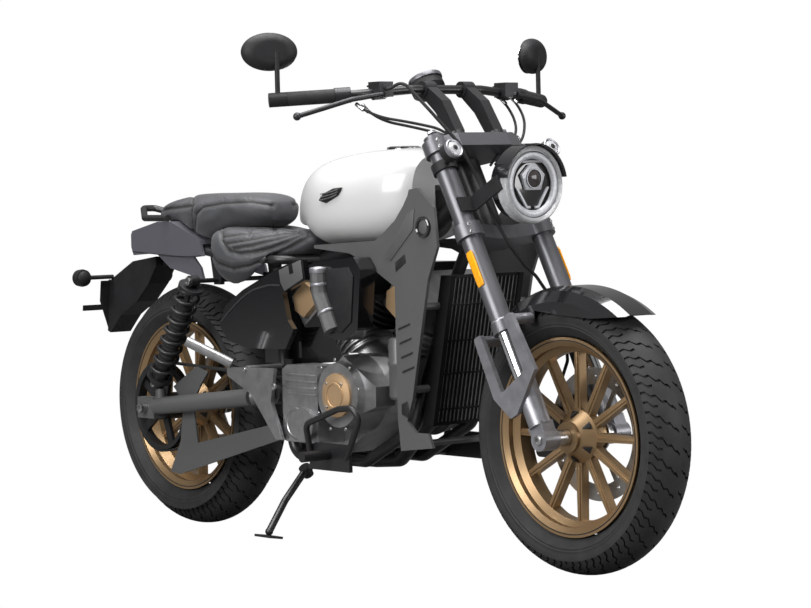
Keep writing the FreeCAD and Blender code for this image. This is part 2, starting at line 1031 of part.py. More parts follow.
tube_piece = fork_piece("fork_tube_side", [
    (size.stanchion_radius + size.seat_gap, size.fork_tube_low),
    (size.fork_tube_radius + size.seal_wall, size.fork_tube_low),
    (size.fork_tube_radius + size.seal_wall, size.fork_tube_low + size.seal_height),
    (size.fork_tube_radius, size.fork_tube_low + size.seal_height),
    (size.fork_tube_radius, size.fork_tube_high),
    (0, size.fork_tube_high),
    (0, size.fork_tube_high - size.fork_cap_height),
    (size.stanchion_radius + size.seat_gap, size.fork_tube_high - size.fork_cap_height),
])
both_sides("fork_tubes", tube_piece, steer)

stanchion_piece = fork_piece("stanchion_side", [
    (0, size.stanchion_low),
    (size.stanchion_radius, size.stanchion_low),
    (size.stanchion_radius, size.fork_tube_high - size.fork_cap_height * 4),
    (0, size.fork_tube_high - size.fork_cap_height * 4),
])
both_sides("fork_stanchions", stanchion_piece, steer)


def fork_lug():
    """The casting at the bottom of a fork leg, which clamps the axle."""
    body = hidden_body("fork_lug_side")
    body.Placement = moved(size.fork_offset, -half_spacing, 0)
    cup = new_sketch(body, "XZ_Plane")
    socket = size.stanchion_radius + size.seat_gap
    outline(cup, [
        (0, size.lug_low),
        (size.lug_radius, size.lug_low),
        (size.lug_radius, size.stanchion_low + size.lug_socket_depth),
        (socket, size.stanchion_low + size.lug_socket_depth),
        (socket, size.stanchion_low - size.seat_gap),
        (0, size.stanchion_low - size.seat_gap),
    ])
    revolve(body, cup)
    eye = new_sketch(body, "XZ_Plane")
    circle(eye, 0, 0, size.lug_eye_radius)
    pad(body, eye, size.lug_eye_width, both_ways=True)
    web = new_sketch(body, "XZ_Plane")
    outline(web, [
        (-size.lug_radius * 0.8, 0),
        (size.lug_radius * 0.8, 0),
        (size.lug_radius * 0.9, size.lug_low + size.overrun),
        (-size.lug_radius * 0.9, size.lug_low + size.overrun),
    ])
    pad(body, web, size.lug_eye_width * 0.8, both_ways=True)
    bore = new_sketch(body, "XZ_Plane")
    circle(bore, 0, 0, size.axle_radius + size.seat_gap)
    pocket(body, bore, both_ways=True)
    plate = new_sketch(body, "XZ_Plane", size.lug_radius - size.overrun)
    ear = size.stay_ear_radius
    corners = [(a - size.fork_offset, b) for a, b in (
        (size.stay_rear_ear_x - ear, size.stay_ear_z + ear),
        (size.stay_rear_ear_x + ear, size.stay_ear_z + ear),
        (size.stay_rear_ear_x + ear, size.stay_fork_z),
        (size.stay_front_ear_x - ear, size.stay_fork_z + ear),
        (size.stay_front_ear_x - ear, size.stay_ear_z + ear),
        (size.stay_front_ear_x + ear, size.stay_ear_z + ear),
        (size.stay_front_ear_x + ear * 1.8, size.stay_fork_z),
        (size.stay_tip_x + ear * 2, size.stay_tip_z),
        (size.stay_tip_x, size.stay_tip_z),
        (size.stay_rear_ear_x - ear * 1.4, size.stay_fork_z),
    )]
    rounding = size.stay_ear_radius / 2
    outline(plate, [(a, b, rounding) for a, b in corners])
    pad(body, plate, size.stay_thickness + size.overrun)
    for centre in (size.stay_rear_ear_x, size.stay_front_ear_x):
        ears = new_sketch(body, "XZ_Plane", size.lug_radius)
        circle(ears, centre - size.fork_offset, size.stay_ear_z, ear)
        pad(body, ears, half_spacing + size.lug_radius - size.fender_half_width - size.seat_gap,
            backwards=True)
    return body


both_sides("fork_lugs", fork_lug(), steer)

axle_end = size.axle_length / 2
lug_inner = half_spacing - size.lug_eye_width / 2
turned_piece("front_axle", steer * moved(size.fork_offset, 0, 0), [
    (size.axle_bore_radius, -axle_end),
    (size.axle_radius, -axle_end),
    (size.axle_radius, -lug_inner + size.seat_gap),
    (size.axle_radius + size.spacer_wall, -lug_inner + size.seat_gap),
    (size.axle_radius + size.spacer_wall, -size.front_hub_width / 2 - size.hub_end_gap),
    (size.axle_radius, -size.front_hub_width / 2 - size.hub_end_gap),
    (size.axle_radius, size.front_hub_width / 2 + size.hub_end_gap),
    (size.axle_radius + size.spacer_wall, size.front_hub_width / 2 + size.hub_end_gap),
    (size.axle_radius + size.spacer_wall, lug_inner - size.seat_gap),
    (size.axle_radius, lug_inner - size.seat_gap),
    (size.axle_radius, axle_end),
    (size.axle_bore_radius, axle_end),
])


def caliper(label, frame, disc_radius, lateral):
    """A caliper block astride a disc, drawn with the disc's centre as origin."""
    body = new_body(label, frame)
    block = new_sketch(body, "XZ_Plane", -lateral)
    low = disc_radius - size.disc_band
    high = disc_radius + size.caliper_depth - size.disc_band
    outline(block, [
        (-size.caliper_length / 2, low, size.caliper_corner),
        (size.caliper_length / 2, low, size.caliper_corner),
        (size.caliper_length / 2, high, size.caliper_corner),
        (-size.caliper_length / 2, high, size.caliper_corner),
    ])
    pad(body, block, size.caliper_width, both_ways=True)
    slot = new_sketch(body, "XZ_Plane", -lateral)
    circle(slot, 0, 0, disc_radius + size.pad_clearance * 2)
    pocket(body, slot, size.disc_thickness + size.pad_clearance * 2, both_ways=True)
    return body


def front_caliper():
    """The front caliper with the arm that bolts to the far fork leg's casting."""
    place = steer * moved(size.fork_offset, 0, 0) * turned(Y_AXIS, -float(size.front_caliper_angle))
    body = caliper("front_caliper", place, size.front_disc_radius, front_disc_side)
    lean, up = sine(size.front_caliper_angle), cosine(size.front_caliper_angle)
    outer = half_spacing - size.lug_radius - size.seat_gap
    arm = new_sketch(body, "XZ_Plane", -outer)
    low = size.front_disc_radius - size.disc_band
    foot, head = size.lug_low + size.lug_radius, size.stanchion_low + size.lug_radius
    outline(arm, [
        (size.caliper_length * 0.2, low + size.caliper_corner),
        (foot * lean, foot * up),
        (head * lean, head * up),
        (size.caliper_length * 0.4, low + size.caliper_depth * 0.5),
    ])
    pad(body, arm, size.caliper_bracket_wall)


def rear_caliper():
    """The rear caliper on the carrier plate that hangs on the axle's spacer."""
    place = rear_axle_frame * turned(Y_AXIS, -float(size.rear_caliper_angle))
    body = caliper("rear_caliper", place, size.rear_disc_radius, rear_disc_side)
    outer = rear_disc_side + size.caliper_width / 2
    ring = size.axle_radius + size.spacer_wall
    plate = new_sketch(body, "XZ_Plane", -outer)
    outline(plate, [
        (-ring, 0), (ring, 0),
        (ring * 1.5, size.rear_disc_radius - size.disc_band + size.caliper_corner),
        (-ring * 1.5, size.rear_disc_radius - size.disc_band + size.caliper_corner),
    ])
    pad(body, plate, size.caliper_bracket_wall)
    boss = new_sketch(body, "XZ_Plane", -outer)
    circle(boss, 0, 0, ring * 1.7)
    pad(body, boss, size.caliper_bracket_wall)
    bore = new_sketch(body, "XZ_Plane")
    circle(bore, 0, 0, ring + size.seat_gap)
    pocket(body, bore, both_ways=True)


front_caliper()
rear_caliper()


# Triple clamps and steering stem


def triple_clamps():
    """Both clamps, joined by the steering stem that turns in the head tube."""
    body = new_body("triple_clamps", steer)
    eye = size.fork_tube_radius + size.clamp_wall
    for height in (size.lower_clamp_height, size.upper_clamp_height):
        front = (size.fork_offset, size.clamp_waist)
        if height is size.upper_clamp_height:
            front = (size.riser_foot_forward + size.riser_radius + size.overrun,
                size.riser_spacing / 2 + size.riser_radius)
        plate = new_sketch(body, "XY_Plane", height)
        outline(plate, [
            (size.clamp_waist * -0.8, -size.clamp_waist, size.clamp_wall),
            (size.fork_offset - eye * 0.6, -half_spacing - eye * 0.5, size.clamp_wall),
            (size.fork_offset + eye * 0.8, -half_spacing - eye * 0.5, size.clamp_wall),
            (front[0], -front[1], size.clamp_wall),
            (front[0], front[1], size.clamp_wall),
            (size.fork_offset + eye * 0.8, half_spacing + eye * 0.5, size.clamp_wall),
            (size.fork_offset - eye * 0.6, half_spacing + eye * 0.5, size.clamp_wall),
            (size.clamp_waist * -0.8, size.clamp_waist, size.clamp_wall),
        ])
        pad(body, plate, size.clamp_height)
        if height is size.lower_clamp_height:
            stem = new_sketch(body, "XY_Plane", size.lower_clamp_height)
            circle(stem, 0, 0, size.stem_radius)
            pad(body, stem, size.upper_clamp_height - size.lower_clamp_height + size.clamp_height)
    for height in (size.lower_clamp_height, size.upper_clamp_height):
        for side in (-1, 1):
            boss = new_sketch(body, "XY_Plane", height)
            circle(boss, size.fork_offset, half_spacing * side, eye)
            pad(body, boss, size.clamp_height)
            hole = new_sketch(body, "XY_Plane", height - size.overrun)
            circle(hole, size.fork_offset, half_spacing * side, size.fork_tube_radius + size.seat_gap)
            pocket(body, hole, size.clamp_height + size.overrun * 2, backwards=True)
    nut = new_sketch(body, "XY_Plane", size.upper_clamp_height + size.clamp_height - size.overrun)
    circle(nut, 0, 0, size.stem_nut_radius)
    pad(body, nut, size.stem_nut_height + size.overrun)
    return body


triple_clamps()


# Front mudguard


FENDER_EDGE_SHARES = ((0.788, 0.410), (0.854, 0.196), (0.809, -0.091), (0.776, -0.373))


def front_mudguard():
    """A wrap-over mudguard turned about the axle, its skirts trimmed to a long S."""
    middle = float(size.fender_middle_angle)
    frame = steer * moved(size.fork_offset, 0, 0) * turned(Y_AXIS, -middle)
    body = new_body("front_mudguard", frame)
    shell = new_sketch(body, "XY_Plane")
    outer = size.front_tyre_radius + size.fender_gap + size.fender_wall
    half = size.fender_half_width
    wall = size.fender_wall
    skirt = outer - size.fender_skirt
    bend = size.fender_bend
    outside = [
        (skirt, half), (outer - bend * 1.6, half), (outer - bend * 0.45, half - bend * 0.7),
        (outer, half - bend * 1.9),
    ]
    inside = [
        (skirt, half - wall), (outer - bend * 1.6 - wall * 0.3, half - wall),
        (outer - bend * 0.45 - wall * 0.7, half - bend * 0.7 - wall * 0.7),
        (outer - wall, half - bend * 1.9),
    ]
    path = outside + [(r, -y) for r, y in outside[::-1]]
    back = [(r, -y) for r, y in inside] + inside[::-1]
    outline(shell, path + back)
    revolve(body, shell, angle=size.fender_sweep, both_ways=True)
    trim = new_sketch(body, "XZ_Plane")
    bend = size.fender_trim_bend
    edge = [(outer * a, outer * b, bend) for a, b in FENDER_EDGE_SHARES]
    outline(trim, [(0, outer), (outer * 0.64, outer * 0.62)] + edge + [(outer * 0.775, -outer),
        (0, -outer)])
    pocket(body, trim, size.fender_half_width * 2 + size.overrun, both_ways=True)
    lean, up = sine(size.fender_middle_angle), cosine(size.fender_middle_angle)
    ear = size.stay_ear_radius
    for ear_x in (size.stay_rear_ear_x, size.stay_front_ear_x):
        along = (ear_x - size.fork_offset) * up + size.stay_ear_z * lean
        across = size.stay_ear_z * up - (ear_x - size.fork_offset) * lean
        for lift in (half, -half + wall):
            tab = new_sketch(body, "XZ_Plane", lift)
            outline(tab, [(along - ear, across - ear), (along + ear * 2.2, across - ear),
                          (along + ear * 2.2, across + ear), (along - ear, across + ear)])
            pad(body, tab, wall, backwards=True)
    return body


front_mudguard()


# Headlight and front signals

lamp_frame = steer * moved(size.lamp_forward, 0, size.lamp_height) * turned(Y_AXIS, float(size.rake_angle))


def headlight():
    """A round lamp: bowl, bezel and a lens set back behind the bezel."""
    return turned_piece("headlight", lamp_frame, [
        (-size.lamp_depth * 0.72, 0),
        (-size.lamp_depth * 0.72, size.lamp_radius * 0.45),
        (-size.lamp_depth * 0.35, size.lamp_radius * 0.88),
        (0, size.lamp_radius),
        (size.lamp_depth * 0.28, size.lamp_radius),
        (size.lamp_depth * 0.28, size.lamp_radius - size.lamp_bezel),
        (size.lamp_depth * 0.2, size.lamp_radius - size.lamp_bezel),
        (size.lamp_depth * 0.26, 0),
    ], axis="H_Axis")


headlight()


def headlight_bracket():
    """Two arms that carry the lamp from the fork legs, with a visor above."""
    arm_y = size.lamp_radius + size.seat_gap
    solids = []
    for side in (-1, 1):
        arm = prism([
            (size.fork_offset + size.fork_tube_radius + size.seat_gap,
                size.lamp_height - size.lamp_bracket_half),
            (size.lamp_forward + size.lamp_bracket_half, size.lamp_height - size.lamp_bracket_half),
            (size.lamp_forward + size.lamp_bracket_half, size.lamp_height + size.lamp_bracket_half),
            (size.fork_offset + size.fork_tube_radius + size.seat_gap,
                size.lamp_height + size.lamp_bracket_half),
        ], arm_y, arm_y + size.lamp_bracket_wall)
        reach = prism([
            (size.fork_offset + size.fork_tube_radius + size.seat_gap,
                size.lamp_height - size.lamp_bracket_half),
            (size.fork_offset + size.fork_tube_radius + size.lamp_bracket_wall,
                size.lamp_height - size.lamp_bracket_half),
            (size.fork_offset + size.fork_tube_radius + size.lamp_bracket_wall,
                size.lamp_height + size.lamp_bracket_half),
            (size.fork_offset + size.fork_tube_radius + size.seat_gap,
                size.lamp_height + size.lamp_bracket_half),
        ], arm_y, half_spacing + size.fork_tube_radius)
        piece = fused(arm, reach)
        solids.append(piece if side > 0 else mirrored(piece))
    shape_part("headlight_bracket", steer, Part.Compound(solids))


headlight_bracket()


def front_signals():
    """Small round lamps on stalks from the fork legs."""
    centre = (size.signal_forward, size.signal_half_spacing, size.signal_height)
    lamp = cylinder(centre, (centre[0] + size.signal_depth, centre[1], centre[2]), size.signal_radius)
    band_radius = size.fork_tube_radius + size.signal_stalk_radius
    foot = vector(size.fork_offset, half_spacing, size.signal_height)
    end = vector(size.signal_forward + size.signal_depth / 2, size.signal_half_spacing, size.signal_height)
    stalk = Part.makeCylinder(float(size.signal_stalk_radius), (end - foot).Length, foot, end - foot)
    low = foot - Z_AXIS * float(size.signal_radius / 2)
    band = Part.makeCylinder(float(band_radius), float(size.signal_radius), low)
    bore = Part.makeCylinder(float(size.fork_tube_radius + size.seat_gap), float(size.signal_radius) * 2,
        low - Z_AXIS * float(size.signal_radius / 2))
    piece = fused(lamp, stalk, band).cut(bore)
    shape_part("front_signals", steer, Part.Compound([piece, mirrored(piece)]))


front_signals()


# Handlebar and what it carries


def bar_points():
    """The right half of the handlebar's centre line, from the middle outwards."""
    return [
        (size.bar_forward, 0, size.bar_height),
        (size.bar_forward, -size.bar_straight, size.bar_height),
        (size.bar_forward - size.bar_pullback * 0.22, -size.bar_elbow,
            size.bar_height + size.bar_rise * 0.05),
        (size.bar_forward - size.bar_pullback, -size.bar_end, size.bar_height + size.bar_rise),
    ]


def along_grip(distance):
    """A point on the grip's centre line, so far in from the bar's end."""
    elbow, tip = (vector(*point) for point in bar_points()[-2:])
    point = tip + (elbow - tip).normalize() * float(distance)
    return (point.x, point.y, point.z)


def handlebar():
    """A bent bar in two clamps on angled risers."""
    right = bar_points()
    left = [(x, -y, z) for x, y, z in right[1:]]
    bar = tube(right[::-1] + left, size.bar_radius, size.bar_bend)
    solids = [bar]
    foot = size.upper_clamp_height + size.clamp_height
    for side in (-1, 1):
        y = size.riser_spacing / 2 * side
        reach, base_x = size.riser_radius, size.riser_foot_forward
        knee_x, knee_z = base_x - reach * 0.7, foot + size.riser_foot_height
        base = (base_x, y, foot + size.seat_gap)
        flange = (base_x, y, foot + size.bar_radius)
        solids.append(cylinder(base, flange, reach + size.riser_clamp_wall / 3))
        arm = prism([
            (base_x - reach * 0.9, foot + size.riser_clamp_wall),
            (base_x + reach * 0.9, foot + size.riser_clamp_wall),
            (knee_x + reach * 1.1, knee_z + reach * 0.4), (size.bar_forward + reach, size.bar_height),
            (size.bar_forward - reach * 0.8, size.bar_height - reach * 0.4),
            (knee_x - reach * 0.9, knee_z - reach * 0.5),
        ], y - reach * 0.85, y + reach * 0.85)
        solids.append(arm)
        clamp = size.bar_radius + size.riser_clamp_wall
        start = (size.bar_forward, y - size.riser_clamp_width / 2, size.bar_height)
        solids.append(cylinder(start, (start[0], y + size.riser_clamp_width / 2, start[2]), clamp))
    shape_part("handlebar", steer, fused(*solids))


def grips():
    """Ribbed rubber grips with weights at the bar's ends."""
    piece = cylinder(along_grip(size.mirror_clamp_width),
        along_grip(size.mirror_clamp_width + size.grip_length), size.grip_radius)
    core = cylinder(along_grip(0), along_grip(size.bar_elbow), size.bar_radius + size.seat_gap)
    piece = piece.cut(core)
    shape_part("grips", steer, Part.Compound([piece, mirrored(piece)]))


def mirrors():
    """Oval mirrors on stems that rise from the bar's ends."""
    inner = along_grip(size.mirror_clamp_width - size.seat_gap * 2)
    outer = along_grip(-size.bar_end_weight)
    weight = cylinder(outer, inner, size.grip_radius)
    weight = weight.cut(cylinder(along_grip(0), along_grip(size.bar_elbow),
        size.bar_radius + size.seat_gap))
    base = along_grip(size.mirror_clamp_width / 2 - size.bar_end_weight / 2)
    upright = vector(sine(size.rake_angle), 0, cosine(size.rake_angle))
    foot = vector(*base) + upright * float(size.grip_radius * 0.8)
    top = foot + upright * float(size.mirror_stem)
    stem = cylinder(foot, top, size.mirror_stem_radius)
    toe = math.radians(float(size.mirror_toe))
    ahead = vector(cosine(size.rake_angle), 0, -sine(size.rake_angle))
    across = (Y_AXIS * math.cos(toe) + ahead * math.sin(toe)).normalize()
    facing = across.cross(upright)
    centre = top - facing * float(size.mirror_depth * 0.4) - across * float(size.mirror_offset)
    loops = []
    for depth_share, size_share in MIRROR_SHELL_SHARES:
        middle = centre + facing * float(size.mirror_depth * depth_share)
        points = []
        for index in range(16):
            angle = 2 * math.pi * index / 16
            wide = across * (math.cos(angle) * float(size.mirror_half_width * size_share))
            tall = upright * (math.sin(angle) * float(size.mirror_half_height * size_share))
            points.append(middle + wide + tall)
        loops.append(smooth_loop([(p.x, p.y, p.z) for p in points]))
    shell = loft(loops)
    piece = fused(weight, stem, shell)
    shape_part("mirrors", steer, Part.Compound([piece, mirrored(piece)]))


MIRROR_SHELL_SHARES = ((-0.5, 0.98), (0.0, 1.0), (0.35, 0.82), (0.5, 0.5))


def perch_line():
    """Where the reservoir's perch sits on the bar, and the bar's direction there."""
    elbow = vector(*bar_points()[-2])
    inward = (vector(*bar_points()[1]) - elbow).normalize()
    return elbow + inward * float(size.perch_distance), inward


def reservoir_place():
    """The level frame of the reservoir's lower rear corner."""
    perch, inward = perch_line()
    upright = vector(sine(size.rake_angle), 0, cosine(size.rake_angle))
    corner = perch + upright * float(size.bar_radius - size.reservoir_sink) + vector(
        size.reservoir_length * -0.3, size.reservoir_length / -2, 0)
    return Placement(corner, Rotation(Y_AXIS, float(size.rake_angle)))


def hand_controls():
    """Switch boxes, perches with their reservoirs, and levers."""
    solids = []
    inner = size.mirror_clamp_width + size.grip_length + size.seat_gap
    box = cylinder(along_grip(inner), along_grip(inner + size.switch_width), size.switch_radius)
    core = cylinder(along_grip(0), along_grip(size.bar_elbow), size.bar_radius + size.seat_gap)
    solids.append(box.cut(core))
    perch, inward = perch_line()
    start = perch - inward * float(size.perch_width / 2)
    collar = Part.makeCylinder(float(size.perch_radius), float(size.perch_width), start, inward)
    run = Part.makeCylinder(float(size.bar_radius + size.seat_gap), float(size.perch_width) * 3,
                            start - inward * float(size.perch_width), inward)
    tank = Part.makeBox(float(size.reservoir_length), float(size.reservoir_length),
        float(size.reservoir_height))
    tank.Placement = reservoir_place()
    pivot = perch + vector(size.perch_radius * 1.6, -size.perch_width * 0.5, -size.perch_radius * 1.2)
    arm = cylinder(perch, pivot, size.perch_radius * 0.5)
    tip = vector(size.lever_tip_forward, -size.lever_tip_side, size.lever_tip_height)
    reach = pivot + (tip - pivot) * 0.4 + vector(size.perch_radius, 0, 0)
    lever = tube([tuple(pivot), tuple(reach), tuple(tip)], size.lever_radius, size.lever_radius * 8)
    ball = Part.makeSphere(float(size.lever_radius) * 1.6, tip)
    body = fused(collar, tank, arm, lever, ball).cut(run)
    solids.append(body)
    shape_part("hand_controls", steer, Part.Compound(solids + [mirrored(item) for item in solids]))


def instrument():
    """A round gauge on a tongue behind the bar clamps."""
    centre = (size.gauge_forward, 0, size.gauge_height)
    tilt = turned(Y_AXIS, float(size.gauge_tilt))
    can = Part.makeCylinder(float(size.gauge_radius), float(size.gauge_depth))
    can = can.fuse(Part.makeCone(float(size.gauge_radius) * 0.7, float(size.gauge_radius),
                                 float(size.gauge_depth) * 0.4, vector(0, 0, size.gauge_depth * -0.4)))
    can.Placement = Placement(vector(*centre), tilt.Rotation)
    tongue = prism([
        (size.gauge_forward, size.gauge_height - size.gauge_depth * 0.3),
        (size.bar_forward - size.bar_radius - size.seat_gap, size.bar_height - size.tongue_thickness),
        (size.bar_forward - size.bar_radius - size.seat_gap, size.bar_height),
        (size.gauge_forward, size.gauge_height),
    ], -size.tongue_half_width, size.tongue_half_width)
    shape_part("instrument", steer, fused(can, tongue))


handlebar()
grips()
mirrors()
hand_controls()
instrument()


HOSE_POINT_SHARES = (
    (0.34, -0.63, 0.988), (0.40, -0.51, 0.893), (0.40, -0.33, 0.797), (0.33, -0.21, 0.689), (0.29,
    -0.17, 0.603), (0.24, -0.06, 0.521), (0.14, 0.10, 0.481), (0.06, 0.25, 0.457), (0.02, 0.34, 0.411),
    (0.02, 0.36, 0.355), (0.02, 0.36, 0.291), (-0.04, 0.33, 0.228), (-0.15, 0.25, 0.178),
)


def brake_hoses():
    """The hose from the right-hand reservoir down behind the far fork leg to the caliper."""
    reach = size.bar_elbow + size.fork_offset
    port = vector(size.reservoir_length + size.seat_gap, size.reservoir_length / 2,
        size.reservoir_height / 2)
    beyond = vector(size.reservoir_length * 1.3, size.reservoir_length / 2, size.reservoir_height / 2)
    points = [tuple(reservoir_place().multVec(port)), tuple(reservoir_place().multVec(beyond))]
    points += [(size.bar_elbow * a, reach * b, size.bar_height * c) for a, b, c in HOSE_POINT_SHARES]
    place = moved(size.fork_offset, 0, 0) * turned(Y_AXIS, -float(size.front_caliper_angle))
    side = front_disc_side + size.caliper_width * 0.3
    high = size.front_disc_radius + size.caliper_depth / 2 - size.disc_band
    points.append(tuple(place.multVec(vector(size.caliper_length / 2 + size.seat_gap, side, high))))
    shape_part("brake_hoses", steer, tube(points, size.hose_radius, size.hose_bend))


brake_hoses()


# Fuel tank and seats, lofted through cross-sections


def section_loop(x, half_width, low, high, squareness, droop=0.0, count=20):
    """A closed cross-section at one station: rounder or squarer, with its widest line low or high."""
    middle = (float(low) + float(high)) / 2 + droop * (float(high) - float(low))
    points = []
    for index in range(count):
        angle = 2 * math.pi * index / count
        power = 2.0 / squareness
        across = math.copysign(abs(math.cos(angle)) ** power, math.cos(angle))
        up = math.copysign(abs(math.sin(angle)) ** power, math.sin(angle))
        span = (float(high) - middle) if up > 0 else (middle - float(low))
        points.append((float(x), float(half_width) * across, middle + span * up))
    return smooth_loop(points)


TANK_SHARES = (
    (0.00, 0.07, 0.25, 0.38), (0.05, 0.21, 0.21, 0.55), (0.16, 0.47, 0.17, 0.75), (0.30, 0.76, 0.04, 0.885),
    (0.48, 0.98, 0.0, 0.955), (0.66, 1.00, 0.0, 0.99), (0.84, 0.93, 0.03, 1.00), (0.94, 0.80, 0.09, 0.985),
    (1.00, 0.62, 0.20, 0.93),
)


def fuel_tank():
    """A teardrop tank, narrow at the seat, with a tunnel for the backbone."""
    length = size.tank_front - size.tank_rear
    height = size.tank_high - size.tank_low
    loops = []
    for along, wide, low, high in TANK_SHARES:
        loops.append(section_loop(
            size.tank_rear + length * along, size.tank_half_width * wide,
            size.tank_low + height * low, size.tank_low + height * high, TANK_SQUARENESS, -0.08))
    solid = loft(loops)
    tunnel = prism([
        (size.tank_rear - size.overrun, size.tank_low - size.overrun * 4),
        (size.tank_front + size.overrun, size.tank_low - size.overrun * 4),
        (size.tank_front + size.overrun, size.tank_tunnel_front),
        (size.tank_rear - size.overrun, size.tank_tunnel_rear),
    ], -size.tank_tunnel_half, size.tank_tunnel_half)
    solid = solid.cut(tunnel)
    recess = Part.makeCylinder(float(size.tank_cap_radius + size.seat_gap), float(size.tank_high),
        vector(cap_x, 0, cap_z))
    return shape_part("fuel_tank", bike, solid.cut(recess))


TANK_SQUARENESS = 2.7
cap_x = size.tank_rear + (size.tank_front - size.tank_rear) * 0.74
cap_z = size.tank_high - size.tank_cap_lift
fuel_tank()

turned_piece("tank_cap", bike * moved(cap_x, 0, cap_z + size.seat_gap), [
    (0, 0),
    (size.tank_cap_radius, 0),
    (size.tank_cap_radius, size.tank_cap_height * 0.8),
    (size.tank_cap_radius * 0.8, size.tank_cap_height),
    (0, size.tank_cap_height),
], role="XZ_Plane")

RIDER_SEAT_SHARES = (
    (0.00, 0.82, 0.42, 0.90), (0.08, 0.96, 0.16, 0.96), (0.22, 1.00, 0.0, 0.95), (0.42, 0.93, 0.05, 0.90),
    (0.62, 0.74, 0.22, 0.89), (0.80, 0.56, 0.42, 0.90), (0.94, 0.46, 0.60, 0.88), (1.00, 0.36, 0.66, 0.83),
)
PASSENGER_SEAT_SHARES = (
    (0.00, 0.45, 0.40, 0.70), (0.06, 0.56, 0.36, 0.80), (0.15, 0.68, 0.30, 0.88), (0.28, 0.80, 0.20, 0.95),
    (0.42, 0.95, 0.06, 1.00), (0.545, 1.00, 0.0, 1.00), (0.70, 0.98, 0.06, 1.00), (0.82, 0.88, 0.16, 0.98),
    (0.93, 0.68, 0.28, 0.92), (1.00, 0.40, 0.34, 0.80),
)


def cushion(label, shares, rear, front, half_width, low, high, roundness, cut=None):
    """A padded seat lofted through its stations, with what it sits over cut from below."""
    loops = []
    for along, wide, bottom, top in shares:
        loops.append(section_loop(
            rear + (front - rear) * along, half_width * wide,
            low + (high - low) * bottom, low + (high - low) * top, roundness, 0.12))
    solid = loft(loops)
    shape_part(label, bike, solid if cut is None else solid.cut(cut))


def radiator_face(share_up, forward=0.0):
    """A point (x, z) on the tilted plane of the radiator."""
    low_x, high_x = size.radiator_low_forward, size.radiator_high_forward
    return (low_x + (high_x - low_x) * share_up + forward,
        size.radiator_low + (size.radiator_high - size.radiator_low) * share_up)


def rail_height(x):
    """The height of the seat rails' centre line above a point of the bike."""
    run = size.seat_rail_front - size.seat_rail_setback - size.shock_top_forward
    slope = (size.seat_rail_rear_height - size.seat_rail_height) / run
    return size.seat_rail_rear_height - slope * (x - size.shock_top_forward)


def under_seat():
    """The room below the rider's seat for the rails, and the tank's tail in front of it."""
    rail = size.frame_tube_radius * 0.8 + size.seat_gap
    knee = size.seat_rail_front - size.seat_rail_setback
    back, ahead = size.seat_rear - size.overrun * 4, size.seat_front + size.overrun * 8
    slope = (size.backbone_knee_height - size.seat_rail_height) / (
        size.backbone_knee_forward - size.seat_rail_front)
    spine = size.backbone_radius * 1.02 + size.seat_gap
    well = prism([
        (back, size.seat_low - size.overrun * 4), (ahead, size.seat_low - size.overrun * 4),
        (ahead, size.seat_rail_height + slope * (ahead - size.seat_rail_front) + spine),
        (size.seat_rail_front - size.overrun, size.seat_rail_height + spine),
        (knee, size.seat_rail_height + rail), (back, rail_height(back) + rail),
    ], -size.seat_well_half, size.seat_well_half)
    tail = doc.getObject("fuel_tank").Shape.copy()
    tail.Placement = moved(0, 0, -size.seat_gap)
    lower = doc.getObject("fuel_tank").Shape.copy()
    lower.Placement = moved(0, 0, -size.overrun)
    return [well, tail, lower]


TAIL_TOP_SHARES = ((0.00, 0.62), (0.02, 0.72), (0.38, 0.97), (0.56, 0.97), (0.95, 0.48))


def tail_corners(shares):
    """Side outline points of the tail cover."""
    width = size.tail_front - size.tail_rear
    height = size.tail_high - size.tail_low
    return [(size.tail_rear + width * a, size.tail_low + height * b) for a, b in shares]


def under_passenger():
    """What the passenger's seat sits over: the tail cover and the back of the rider's seat."""
    roof = [(x, z + size.seat_gap) for x, z in tail_corners(TAIL_TOP_SHARES)[2:]]
    floor = size.tail_low - size.overrun * 4
    back = size.pillion_rear - size.overrun * 8
    ahead = size.pillion_front + size.overrun * 8
    shelf = size.seat_high - size.overrun
    edge = prism([(back, floor), (back, roof[0][1])] + roof + [
        (size.tail_front, size.pillion_low + size.overrun),
        (size.shock_top_forward, shelf - size.overrun * 3),
        (size.seat_rear + size.arm_kick, shelf), (ahead, shelf + size.overrun), (ahead, floor),
    ], -size.pillion_half_width - size.overrun, size.pillion_half_width + size.overrun)
    seat = doc.getObject("rider_seat").Shape.copy()
    seat.Placement = moved(0, 0, size.seat_gap)
    return [edge, seat]


cushion("rider_seat", RIDER_SEAT_SHARES, size.seat_rear, size.seat_front, size.seat_half_width,
        size.seat_low, size.seat_high, 3.6, under_seat())
cushion("passenger_seat", PASSENGER_SEAT_SHARES, size.pillion_rear, size.pillion_front,
        size.pillion_half_width, size.pillion_low, size.pillion_high, 3.0, under_passenger())


# Frame and rear end


def stand_axis():
    """The stand's eye, its direction when down, and the axis it folds back about."""
    floor = size.crown_radius - (size.crown_radius - size.stand_reach * sine(size.lean_angle)) / cosine(
        size.lean_angle)
    foot = vector(size.stand_forward + size.stand_sweep, -size.stand_reach, floor)
    eye = vector(size.stand_forward, -size.stand_eye_side, size.stand_eye_height)
    up = vector(0, sine(size.lean_angle), cosine(size.lean_angle))
    ankle = foot + up * float(size.stand_radius + size.stand_foot_thickness)
    folded = vector(-size.stand_fold_length, -size.stand_fold_inward, 0)
    return eye, foot, ankle, (ankle - eye).cross(folded).normalize()


